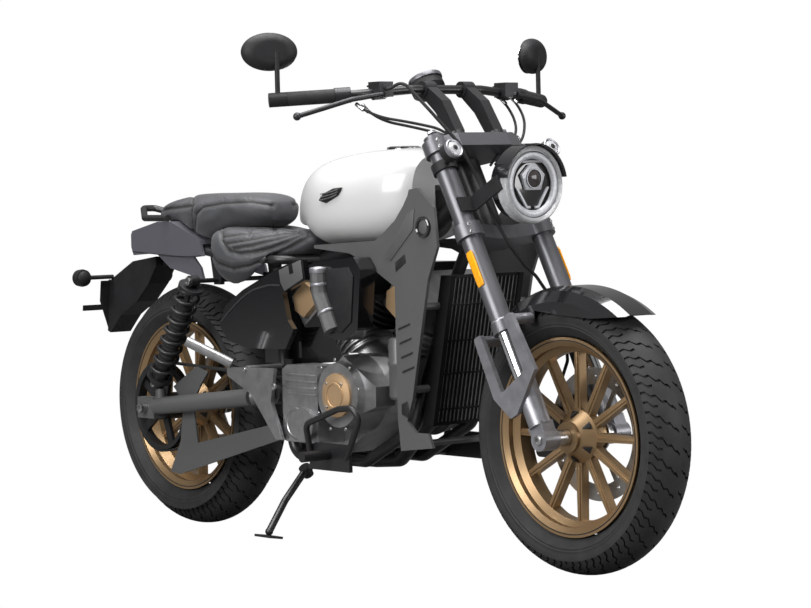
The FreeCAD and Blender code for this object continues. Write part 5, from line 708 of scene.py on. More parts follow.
class Axis(Enum):
    """The axis that a turned form stands on, with the turn that puts a flat ring across it."""

    FORWARD = ((1.0, 0.0, 0.0), (0.0, math.pi / 2, 0.0))
    ACROSS = ((0.0, 1.0, 0.0), (math.pi / 2, 0.0, 0.0))
    UP = ((0.0, 0.0, 1.0), (0.0, 0.0, 0.0))

    def line(self) -> Vector:
        """Returns the axis as a unit vector."""
        return Vector(self.value[0])

    def scales(self, factor: float) -> Point:
        """Returns the resize values that change a ring's radius and nothing else."""
        return tuple(1.0 if part else factor for part in self.value[0])


class Bench:
    """Hand tools for modelling: every form is drawn in the upright machine, in millimetres."""

    SMOOTH_ANGLE = math.radians(32.0)
    MERGE = 0.00002
    BAND_WIDTH = 2.2
    BAND_STEPS = (40, 10)
    SPIN_STEPS = 24
    # A screw head's rim and socket rim as shares of its radius, its dome and socket of its height.
    HEAD_RIM = 0.16
    HEAD_DOME = 0.15
    SOCKET_RIM = 0.3
    SOCKET_DEPTH = 0.5

    def __init__(self, palette: Palette) -> None:
        """Keeps the finishes at hand.

        Args:
            palette: the machine's finishes.
        """
        self.palette = palette

    def turn(self, centre: Sequence[float], axis: Axis, rings: Rings, count: int = 40,
             hollow: bool = False) -> bpy.types.Object:
        """Draws a turned form by extruding a ring along its axis.

        Args:
            centre: the middle of the form's axis.
            axis: the axis that it is turned about.
            rings: distances along the axis with radii.
            count: how many corners a ring has.
            hollow: True for a closed profile that goes round, such as a band.

        Returns:
            The form as the active object.
        """
        clear_selection()
        middle = metres(centre)
        line = axis.line()
        along, radius = rings[0]
        bpy.ops.mesh.primitive_circle_add(
            vertices=count, radius=radius / PER_METRE, fill_type="NOTHING" if hollow else "NGON",
            location=middle + line * along / PER_METRE, rotation=axis.value[1])
        form = bpy.context.object
        bpy.ops.object.mode_set(mode="EDIT")
        for next_along, next_radius in rings[1:]:
            step = line * (next_along - along) / PER_METRE
            bpy.ops.mesh.extrude_region_move(TRANSFORM_OT_translate={"value": step})
            spot = middle + line * next_along / PER_METRE
            bpy.ops.transform.resize(value=axis.scales(next_radius / radius), center_override=spot)
            along, radius = next_along, next_radius
        bpy.ops.mesh.select_all(action="SELECT")
        bpy.ops.mesh.remove_doubles(threshold=self.MERGE)
        self.close()
        return form

    def outline(self, corners: Points) -> bpy.types.Object:
        """Draws an outline corner by corner and fills it.

        Args:
            corners: the outline's corners in order.

        Returns:
            The flat form as the active object, in edit mode with all of it selected.
        """
        clear_selection()
        bpy.ops.mesh.primitive_plane_add(size=0.001, location=metres(corners[0]))
        form = bpy.context.object
        bpy.ops.object.mode_set(mode="EDIT")
        bpy.ops.mesh.merge(type="CENTER")
        for before, corner in zip(corners, corners[1:]):
            step = metres(corner) - metres(before)
            bpy.ops.mesh.extrude_region_move(TRANSFORM_OT_translate={"value": step})
        bpy.ops.mesh.select_all(action="SELECT")
        bpy.ops.mesh.edge_face_add()
        return form

    def close(self) -> None:
        """Turns the edited form's faces outwards and leaves edit mode."""
        bpy.ops.mesh.select_all(action="SELECT")
        bpy.ops.mesh.normals_make_consistent(inside=False)
        bpy.ops.object.mode_set(mode="OBJECT")

    def plate(self, corners: Points, depth: Sequence[float], bevel: float = 0.8) -> bpy.types.Object:
        """Draws an outline and gives it thickness.

        Args:
            corners: the outline's corners in order.
            depth: the extrusion.
            bevel: the edges' width.

        Returns:
            The plate as the active object.
        """
        form = self.outline(corners)
        bpy.ops.mesh.extrude_region_move(TRANSFORM_OT_translate={"value": metres(depth)})
        self.close()
        return self.rounded(form, bevel)

    def rounded(self, form: bpy.types.Object, width: float, segments: int = 2) -> bpy.types.Object:
        """Rounds a form's edges.

        Args:
            form: the form, which is the active object.
            width: the rounding's width.
            segments: how many steps it has.

        Returns:
            The same form.
        """
        if width:
            bpy.ops.object.modifier_add(type="BEVEL")
            bevel = form.modifiers[-1]
            bevel.width = width / PER_METRE
            bevel.segments = segments
            bevel.limit_method = "ANGLE"
            bpy.ops.object.modifier_apply(modifier=bevel.name)
        return form

    def line(self, points: Points, radius: float) -> bpy.types.Object:
        """Draws a round line through points.

        Args:
            points: the points that it runs past.
            radius: its radius.

        Returns:
            The line as a mesh.
        """
        clear_selection()
        bpy.ops.curve.primitive_nurbs_path_add()
        form = bpy.context.object
        spline = form.data.splines[0]
        spline.points.add(max(0, len(points) - len(spline.points)))
        for place, point in zip(spline.points, list(points) + [points[-1]] * 5):
            place.co = (*metres(point), 1.0)
        spline.order_u = 3
        spline.use_endpoint_u = True
        form.data.bevel_depth = radius / PER_METRE
        form.data.bevel_resolution = 3
        form.data.use_fill_caps = True
        bpy.ops.object.convert(target="MESH")
        return bpy.context.object

    def band(self, centre: Sequence[float], radius: float, thickness: float,
             way: Sequence[float]) -> bpy.types.Object:
        """Draws a round band, such as a clamp or a sealing ring.

        Args:
            centre: the band's middle.
            radius: its middle radius.
            thickness: its own radius.
            way: the direction of its axis.

        Returns:
            The band.
        """
        clear_selection()
        around, across = self.BAND_STEPS
        bpy.ops.mesh.primitive_torus_add(
            major_radius=radius / PER_METRE, minor_radius=thickness / PER_METRE,
            major_segments=around, minor_segments=across)
        form = bpy.context.object
        bpy.ops.object.mode_set(mode="EDIT")
        bpy.ops.mesh.select_all(action="SELECT")
        bpy.ops.transform.resize(value=(1.0, 1.0, self.BAND_WIDTH))
        bpy.ops.object.mode_set(mode="OBJECT")
        form.location = metres(centre)
        form.rotation_euler = Vector(way).to_track_quat("Z", "Y").to_euler()
        bpy.ops.object.transform_apply(location=True, rotation=True, scale=True)
        return form

    def bolt(self, place: Sequence[float], way: Sequence[float], radius: float = 5.0,
             height: float = 4.0, corners: int = 20) -> bpy.types.Object:
        """Draws a screw head with a socket.

        Args:
            place: where the head sits.
            way: the direction that it faces.
            radius: its radius.
            height: its height.
            corners: 6 for a hexagon head.

        Returns:
            The head.
        """
        clear_selection()
        direction = Vector(way).normalized()
        bpy.ops.mesh.primitive_circle_add(
            vertices=corners, radius=radius / PER_METRE, fill_type="NGON", location=metres(place),
            rotation=direction.to_track_quat("Z", "Y").to_euler())
        form = bpy.context.object
        bpy.ops.object.mode_set(mode="EDIT")
        rise = direction * height / PER_METRE
        bpy.ops.mesh.extrude_region_move(TRANSFORM_OT_translate={"value": rise})
        bpy.ops.mesh.inset(thickness=radius * self.HEAD_RIM / PER_METRE)
        bpy.ops.transform.translate(value=rise * self.HEAD_DOME)
        bpy.ops.mesh.inset(thickness=radius * self.SOCKET_RIM / PER_METRE)
        bpy.ops.mesh.extrude_region_move(TRANSFORM_OT_translate={"value": rise * -self.SOCKET_DEPTH})
        self.close()
        return form

    def arc(self, corners: Points, centre: Sequence[float], axis: Axis, start: float,
            sweep: float) -> bpy.types.Object:
        """Draws a section and spins it part of the way round.

        Args:
            corners: the section's corners, drawn at angle zero.
            centre: a point on the axis.
            axis: the axis of the spin.
            start: the angle in degrees that it starts at.
            sweep: the angle in degrees that it goes through.

        Returns:
            The spun form.
        """
        form = self.outline(corners)
        middle = metres(centre)
        bpy.ops.mesh.spin(steps=self.SPIN_STEPS, angle=math.radians(sweep), center=middle, axis=axis.line())
        self.close()
        turn = Matrix.Rotation(math.radians(start), 4, axis.line())
        about = Matrix.Translation(middle) @ turn @ Matrix.Translation(-middle)
        form.matrix_world = about @ form.matrix_world
        return form

    def mirror(self, form: bpy.types.Object) -> bpy.types.Object:
        """Copies a form to the other side of the machine.

        Args:
            form: the form to copy.

        Returns:
            The copy, with its faces outwards.
        """
        pick(form)
        bpy.ops.object.transform_apply(location=True, rotation=True, scale=True)
        bpy.ops.object.duplicate()
        copy = bpy.context.object
        bpy.ops.object.mode_set(mode="EDIT")
        bpy.ops.mesh.select_all(action="SELECT")
        bpy.ops.transform.mirror(constraint_axis=(False, True, False), center_override=(0.0, 0.0, 0.0))
        self.close()
        return copy

    def settle(self, name: str, forms: Sequence[bpy.types.Object], finish: str, slot: str,
               body: Body, place: Matrix | None = None, both: bool = False) -> bpy.types.Object:
        """Joins forms into one finished piece and puts it on the machine.

        Args:
            name: the piece's name.
            forms: the forms.
            finish: the finish's name.
            slot: the record's material slot; not used.
            body: the body that it rides on.
            place: the matrix from where it was drawn, or None for the upright machine.
            both: True to add its mirror image.

        Returns:
            The finished piece.
        """
        if both:
            forms = list(forms) + [self.mirror(form) for form in forms]
        clear_selection()
        for form in forms:
            form.select_set(True)
        bpy.context.view_layer.objects.active = forms[0]
        if len(forms) > 1:
            bpy.ops.object.join()
        piece = bpy.context.object
        piece.name = name
        piece.data.name = name
        piece.matrix_world = (place or STANCE.upright()) @ piece.matrix_world
        bpy.ops.object.transform_apply(location=True, rotation=True, scale=True)
        bpy.ops.object.shade_smooth_by_angle(angle=self.SMOOTH_ANGLE)
        self.palette.dress(piece, finish)
        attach(piece, body.value)
        LOG.info("piece %s", name)
        return piece


@dataclass
class Tyre:
    """A grooved tyre with ribbed walls, in the place of its plain solid."""

    bench: Bench
    node: str
    body: Body
    place: Matrix
    radius: float
    width: float
    rim_width: float
    rim: float = 230.0
    crown: float = 75.0
    columns: int = 320
    pitch: int = 8
    groove: float = 5.0
    bead_inset: float = 9.3
    bead_height: float = 13.0
    shoulder_drop: float = 44.0
    tread_drop: float = 42.0
    wall_lean: float = 8.0
    wall_rib: float = 1.2

    # How far round the rings shift, in millimetres, by their share of the half width.
    SHIFTS = ((-1.0, 36.0), (-0.90, 34.0), (-0.80, 20.0), (-0.68, 20.0), (-0.54, 2.0), (-0.39, 2.0),
              (-0.27, -12.0), (-0.16, -12.0), (-0.05, -22.0), (0.05, 22.0), (0.16, 12.0), (0.27, 12.0),
              (0.39, -2.0), (0.54, -2.0), (0.68, -20.0), (0.80, -20.0), (0.90, -34.0), (1.0, -36.0))
    WALL_SHARES = (0.25, 0.35, 0.45, 0.55, 0.65, 0.8)
    RIBBED_SHARES = (0.35, 0.55)
    CROWN_ANGLES = (60.0, 52.0, 44.0, 36.0, 28.0, 20.0, 14.0, 9.0, 4.0)
    GROOVES_FROM = 0.10
    SHORT_GROOVES_FROM = 0.62
    GROOVES_TO = 0.97

    def profile(self) -> list[tuple[float, float]]:
        """Draws the tyre's section.

        Returns:
            Places across the tyre with radii, from one bead over the crown to the other.
        """
        half = self.width / 2
        foot = self.rim_width / 2 - self.bead_inset
        bead = self.rim + self.bead_height
        wall = self.radius - self.shoulder_drop - bead
        side = [(foot, self.rim + 1.0), (foot + 6.0, self.rim + 6.0), (foot + 10.0, bead)]
        for share in self.WALL_SHARES:
            rib = self.wall_rib if share in self.RIBBED_SHARES else 0.0
            bulge = half - self.wall_lean * (1.0 - share) + rib
            side.append((min(half, bulge), bead + wall * share))
        side.append((half, self.radius - self.shoulder_drop))
        for angle in self.CROWN_ANGLES:
            turn = math.radians(angle)
            drop = self.crown * (1.0 - math.cos(turn))
            side.append((min(half, self.crown * math.sin(turn)), self.radius - drop))
        return [(-across, radius) for across, radius in side] + [(0.0, self.radius)] + side[::-1]

    def shift(self, across: float) -> float:
        """Turns a ring, so that the grooves run in a zigzag.

        Args:
            across: the ring's place across the tyre.

        Returns:
            The turn in radians.
        """
        share = across / (self.width / 2)
        places, values = zip(*self.SHIFTS)
        return float(numpy.interp(share, places, values)) / self.radius

    def grooved(self, across: float, angle: float, height: float) -> bool:
        """Tells whether a face lies in a groove of the tread.

        Args:
            across: the face's place across the tyre.
            angle: its place round the tyre, in radians.
            height: its distance from the axle.

        Returns:
            True for a face that is sunk.
        """
        share = across / (self.width / 2)
        if height < self.radius - self.tread_drop:
            return False
        if not self.GROOVES_FROM < abs(share) < self.GROOVES_TO:
            return False
        column = int((angle - self.shift(across)) / (2 * math.pi) * self.columns) % self.pitch
        half_turn = self.pitch // 2
        long_groove, short_groove = (0, half_turn) if share < 0.0 else (half_turn, 0)
        return column == long_groove or (abs(share) > self.SHORT_GROOVES_FROM and column == short_groove)

    def build(self) -> None:
        """Models the tyre ring by ring and sinks its grooves."""
        clear_selection()
        rings = self.profile()
        across, radius = rings[0]
        bpy.ops.mesh.primitive_circle_add(
            vertices=self.columns, radius=radius / PER_METRE, fill_type="NOTHING",
            location=(0.0, across / PER_METRE, 0.0), rotation=Axis.ACROSS.value[1])
        tyre = bpy.context.object
        bpy.ops.object.mode_set(mode="EDIT")
        turned = self.shift(across)
        for next_across, next_radius in rings[1:]:
            spot = Vector((0.0, next_across / PER_METRE, 0.0))
            step = (0.0, (next_across - across) / PER_METRE, 0.0)
            bpy.ops.mesh.extrude_region_move(TRANSFORM_OT_translate={"value": step})
            bpy.ops.transform.resize(value=Axis.ACROSS.scales(next_radius / radius), center_override=spot)
            turn = self.shift(next_across) - turned
            bpy.ops.transform.rotate(value=turn, orient_axis="Y", center_override=spot)
            turned += turn
            across, radius = next_across, next_radius
        bpy.ops.object.mode_set(mode="OBJECT")
        bpy.ops.object.transform_apply(location=True, rotation=True, scale=True)
        self.sink_grooves(tyre)
        piece = self.bench.settle(
            self.node + "_treaded", [tyre], "tyre_rubber", "tyre_rubber", self.body, self.place)
        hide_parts(self.node)

    def sink_grooves(self, tyre: bpy.types.Object) -> None:
        """Selects the faces that lie in grooves and sinks them.

        Args:
            tyre: the smooth tyre.
        """
        mesh = tyre.data
        outward = max(mesh.polygons, key=lambda face: face.center.z)
        if outward.normal.z < 0.0:
            mesh.flip_normals()
        sign = self.turning_sign(tyre)
        bpy.ops.object.mode_set(mode="EDIT")
        bpy.ops.mesh.select_mode(type="FACE")
        bpy.ops.mesh.select_all(action="DESELECT")
        bpy.ops.object.mode_set(mode="OBJECT")
        for face in mesh.polygons:
            middle = face.center * PER_METRE
            angle = math.atan2(middle.x, middle.z) * sign
            face.select = self.grooved(middle.y, angle, math.hypot(middle.x, middle.z))
        bpy.ops.object.mode_set(mode="EDIT")
        sink = {"value": -self.groove / PER_METRE}
        bpy.ops.mesh.extrude_region_shrink_fatten(TRANSFORM_OT_shrink_fatten=sink)
        bpy.ops.mesh.select_mode(type="VERT")
        bpy.ops.object.mode_set(mode="OBJECT")

    def turning_sign(self, tyre: bpy.types.Object) -> float:
        """Finds which way a positive turn moved the rings.

        Args:
            tyre: the smooth tyre.

        Returns:
            1.0 where the turn is as asked, and -1.0 where it is reversed.
        """
        mesh = tyre.data
        first, last = mesh.vertices[0].co, mesh.vertices[-self.columns].co
        moved = math.atan2(last.x, last.z) - math.atan2(first.x, first.z)
        moved = (moved + math.pi) % (2 * math.pi) - math.pi
        wanted = self.shift(self.profile()[-1][0]) - self.shift(self.profile()[0][0])
        return 1.0 if moved * wanted > 0.0 else -1.0


@dataclass
class Cushion:
    """A padded seat, blown up a little by cloth from its solid, with its seams pressed in."""

    bench: Bench
    node: str
    voxel: float = 0.006
    shrink: float = 0.003
    cap: float = 0.007
    seam: float = 0.0034
    depth: float = 0.0026
    frames: int = 20
    pressure: float = 4.0
    held_height: float = 0.03
    held_share: float = 0.15
    lines: Sequence[Points] = ()

    # How far forward a line of sight runs for each metre outwards, and how far out the seams' plane lies.
    SKEW = 1.352
    SIDE = 0.115
    # Each press of a seam: its reach in seam widths, and its share of the depth.
    PRESSES = ((3.4, 0.5), (2.0, 0.6), (1.0, 0.8))
    # How many seam widths the painted shade along a seam reaches.
    SHADE_WIDTHS = 1.9
    TINY = 1e-9

    def seams(self, places: numpy.ndarray, normals: numpy.ndarray) -> numpy.ndarray:
        """Finds how far each vertex lies from the nearest seam, measured over the surface.

        Args:
            places: the vertices in the upright machine, in metres.
            normals: their normals.

        Returns:
            One distance for each vertex, in metres.
        """
        side = numpy.where(places[:, 1] < 0.0, -1.0, 1.0)
        along = places[:, 0] - self.SKEW * (numpy.abs(places[:, 1]) - self.SIDE)
        height = places[:, 2]
        nearest = numpy.full(len(places), 1.0)
        for line in self.lines:
            for (start, low), (end, high) in zip(line, line[1:]):
                run, rise = end - start, high - low
                share = ((along - start) * run + (height - low) * rise) / (run * run + rise * rise)
                share = numpy.clip(share, 0.0, 1.0)
                off_along = along - start - share * run
                off_height = height - low - share * rise
                away = numpy.hypot(off_along, off_height) + self.TINY
                slope = numpy.stack((off_along, -self.SKEW * side * off_along, off_height), axis=1)
                slope /= away[:, None]
                through = numpy.sum(slope * normals, axis=1)
                steep = numpy.maximum(numpy.sum(slope * slope, axis=1) - through ** 2, 0.01)
                nearest = numpy.minimum(nearest, away / numpy.sqrt(steep))
        return nearest

    def build(self) -> None:
        """Copies the solid, remeshes it, lets cloth fill it and presses its seams in."""
        source = bpy.data.objects[self.node]
        pad = source.copy()
        pad.data = source.data.copy()
        bpy.context.collection.objects.link(pad)
        pad.hide_viewport = False
        pad.hide_render = False
        pick(pad)
        bpy.ops.object.mode_set(mode="EDIT")
        bpy.ops.mesh.select_all(action="SELECT")
        bpy.ops.mesh.remove_doubles(threshold=0.0001)
        bpy.ops.object.mode_set(mode="OBJECT")
        pad.data.remesh_voxel_size = self.voxel
        bpy.ops.object.voxel_remesh()
        bpy.ops.object.mode_set(mode="EDIT")
        bpy.ops.mesh.select_all(action="SELECT")
        bpy.ops.mesh.vertices_smooth(factor=0.5, repeat=2)
        bpy.ops.transform.shrink_fatten(value=-self.shrink)
        bpy.ops.object.mode_set(mode="OBJECT")
        self.inflate(pad)
        bpy.ops.object.modifier_add(type="SUBSURF")
        pad.modifiers[-1].levels = 1
        pad.modifiers[-1].render_levels = 1
        bpy.ops.object.modifier_apply(modifier=pad.modifiers[-1].name)
        self.press_seams(pad)
        piece = self.bench.settle(
            self.node + "_padded", [pad], "seat_leather", "seat_leather", Body.CHASSIS, Matrix.Identity(4))
        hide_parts(self.node)

    def inflate(self, pad: bpy.types.Object) -> None:
        """Blows the pad up with cloth pressure, less near its base.

        Args:
            pad: the remeshed pad.
        """
        count = len(pad.data.vertices)
        before = numpy.empty(count * 3)
        pad.data.vertices.foreach_get("co", before)
        bpy.ops.object.modifier_add(type="CLOTH")
        cloth = pad.modifiers[-1]
        cloth.settings.use_pressure = True
        cloth.settings.uniform_pressure_force = self.pressure
        cloth.settings.effector_weights.gravity = 0.0
        scene = bpy.context.scene
        for frame in range(1, self.frames + 1):
            scene.frame_set(frame)
        grown = pad.evaluated_get(bpy.context.evaluated_depsgraph_get()).to_mesh()
        after = numpy.empty(count * 3)
        grown.vertices.foreach_get("co", after)
        bpy.ops.object.modifier_remove(modifier=cloth.name)
        scene.frame_set(1)
        before = before.reshape(-1, 3)
        move = after.reshape(-1, 3) - before
        length = numpy.linalg.norm(move, axis=1, keepdims=True) + self.TINY
        move *= numpy.minimum(1.0, self.cap / length)
        low = before[:, 2].min()
        move *= numpy.clip((before[:, 2:] - low) / self.held_height, self.held_share, 1.0)
        pad.data.vertices.foreach_set("co", (before + move).ravel())
        pad.data.update()
        bpy.ops.object.mode_set(mode="EDIT")
        bpy.ops.mesh.select_all(action="SELECT")
        bpy.ops.mesh.vertices_smooth(factor=0.5, repeat=8)
        bpy.ops.object.mode_set(mode="OBJECT")

    def press_seams(self, pad: bpy.types.Object) -> None:
        """Sinks the vertices along the seams, first wide and shallow, then narrow and deep, and stores the
        painted shade along them.

        Args:
            pad: the subdivided pad.
        """
        count = len(pad.data.vertices)
        points = numpy.empty(count * 3)
        pad.data.vertices.foreach_get("co", points)
        normals = numpy.empty(count * 3)
        pad.data.vertex_normals.foreach_get("vector", normals)
        back = numpy.array(STANCE.upright().inverted())
        places = points.reshape(-1, 3) @ back[:3, :3].T + back[:3, 3]
        away = self.seams(places, normals.reshape(-1, 3) @ back[:3, :3].T)
        for widths, share in self.PRESSES:
            pick(pad)
            bpy.ops.object.mode_set(mode="EDIT")
            bpy.ops.mesh.select_mode(type="VERT")
            bpy.ops.mesh.select_all(action="DESELECT")
            bpy.ops.object.mode_set(mode="OBJECT")
            pad.data.vertices.foreach_set("select", away < self.seam * widths)
            bpy.ops.object.mode_set(mode="EDIT")
            bpy.ops.transform.shrink_fatten(value=-self.depth * share)
            bpy.ops.object.mode_set(mode="OBJECT")
        # The seam attribute carries the painted shade along the seams, darkest on the seam line.
        seam_shading = pad.data.attributes.new("seam", "FLOAT", "POINT")
        painted_seam_shade = numpy.clip(self.SHADE_WIDTHS - away / self.seam, 0.0, 1.0)
        seam_shading.data.foreach_set("value", painted_seam_shade.astype(numpy.float32))


# The seams as an upright side view shows them, in metres forward of the rear axle and above the ground.
RIDER_SEAMS = (
    ((0.209, 0.787), (0.216, 0.747), (0.250, 0.716), (0.316, 0.701), (0.395, 0.707), (0.482, 0.728),
     (0.559, 0.751), (0.623, 0.774), (0.644, 0.784)),
    ((0.276, 0.797), (0.275, 0.774), (0.301, 0.748), (0.353, 0.740), (0.419, 0.743), (0.483, 0.751),
     (0.547, 0.766), (0.611, 0.786)),
    ((0.285, 0.784), (0.399, 0.794), (0.507, 0.799), (0.603, 0.796)),
    ((0.293, 0.766), (0.399, 0.776), (0.506, 0.787), (0.603, 0.794)),
    ((0.319, 0.752), (0.406, 0.760), (0.506, 0.775), (0.603, 0.791)),
)
PASSENGER_SEAMS = (
    ((0.150, 0.900), (0.136, 0.840), (0.150, 0.770)),
    ((0.150, 0.800), (0.158, 0.842), (0.190, 0.862), (0.280, 0.871), (0.400, 0.873), (0.500, 0.862)),
    ((-0.080, 0.842), (0.030, 0.858), (0.146, 0.866)),
)


@dataclass
class Headlamp:
    """The round lamp's rings, projector, light guide and visor, measured from its centre."""

    bench: Bench
    centre: Point = (1330.3, 0.0, 899.9)
    face: float = 20.5
    projector_rise: float = 14.0
    projector_size: float = 34.0
    projector_widening: float = 1.12
    bowl: Rings = ((16.0, 76.0), (20.0, 76.0), (20.5, 40.0), (20.5, 2.0))
    ring: Rings = ((19.0, 62.0), (25.0, 60.0), (29.5, 64.0), (31.0, 70.0), (29.5, 75.5), (25.0, 77.6),
                   (19.0, 77.6), (19.0, 62.0))
    rim: Rings = ((22.0, 78.0), (30.0, 78.0), (34.0, 81.0), (35.0, 86.0), (31.0, 90.0), (24.0, 91.5),
                  (4.0, 91.5), (4.0, 90.2), (22.0, 90.2), (22.0, 78.0))
    projector: Rings = ((29.0, 21.0), (31.0, 20.5), (35.5, 15.0), (37.5, 8.0), (38.0, 1.0))
    projector_ring: Rings = ((29.5, 24.0), (33.0, 23.5), (33.0, 21.2), (29.5, 21.2), (29.5, 24.0))
    guide: Points = ((46.0, -6.0), (53.0, -6.0), (20.0, -56.0), (8.0, -56.0), (8.0, -50.0), (17.0, -50.0))
    brow: Points = ((-42.0, 50.0), (42.0, 50.0), (30.0, 58.0), (-30.0, 58.0))
    visor: Points = ((-8.0, 92.5), (40.0, 92.5), (42.0, 96.0), (-8.0, 96.0))
    visor_start: float = 80.0
    visor_sweep: float = 160.0

    HEXAGON = (15.0, 75.0, 105.0, 165.0, 232.0, 308.0)

    def on_face(self, outline: Points) -> list[Point]:
        """Returns corners on the lamp's face from their places across it and above its centre."""
        x, y, z = self.centre
        return [(x + self.face, y + across, z + above) for across, above in outline]

    def projector_frame(self) -> list[Point]:
        """Draws the hexagon round the projector.

        Returns:
            Its corners on the lamp's face.
        """
        outline = []
        for angle in self.HEXAGON:
            turn = math.radians(angle)
            across = self.projector_size * self.projector_widening * math.cos(turn)
            outline.append((across, self.projector_rise + self.projector_size * math.sin(turn)))
        return self.on_face(outline)

    def build(self) -> None:
        """Models the lamp's parts from the back of the bowl to the visor."""
        bench, centre = self.bench, self.centre
        bowl = bench.turn(centre, Axis.FORWARD, self.bowl, count=64)
        bench.settle("lamp_bowl", [bowl], "radiator_black", "moulded_black", Body.STEERING)
        ring = bench.turn(centre, Axis.FORWARD, self.ring, count=72, hollow=True)
        bench.settle("lamp_ring", [ring], "lit_lens", "lens", Body.STEERING)
        rim = bench.turn(centre, Axis.FORWARD, self.rim, count=72, hollow=True)
        bench.settle("lamp_rim", [rim], "clear_lens", "bright_chrome", Body.STEERING)
        frame = bench.plate(self.projector_frame(), (9.0, 0.0, 0.0), bevel=1.6)
        bench.settle("lamp_projector_frame", [frame], "lit_lens", "lens", Body.STEERING)
        x, y, z = centre
        middle = (x, y, z + self.projector_rise)
        lens = bench.turn(middle, Axis.FORWARD, self.projector, count=40)
        collar = bench.turn(middle, Axis.FORWARD, self.projector_ring, count=40, hollow=True)
        bench.settle("lamp_projector", [lens], "smoked_lens", "lens", Body.STEERING)
        bench.settle("lamp_projector_ring", [collar], "fork_cast", "bright_chrome", Body.STEERING)
        guides = []
        for side in (-1.0, 1.0):
            outline = [(side * across, above) for across, above in self.guide]
            guides.append(bench.plate(self.on_face(outline), (6.0, 0.0, 0.0), bevel=1.2))
        bench.settle("lamp_light_guide", guides, "lit_lens", "lens", Body.STEERING)
        brow = bench.plate(self.on_face(self.brow), (5.0, 0.0, 0.0), bevel=1.0)
        bench.settle("lamp_brow", [brow], "fork_grey", "moulded_black", Body.STEERING)
        section = [(x + along, y, z + above) for along, above in self.visor]
        visor = bench.arc(section, centre, Axis.FORWARD, self.visor_start, self.visor_sweep)
        bench.settle("lamp_visor", [visor], "gloss_black", "gloss_black", Body.STEERING)


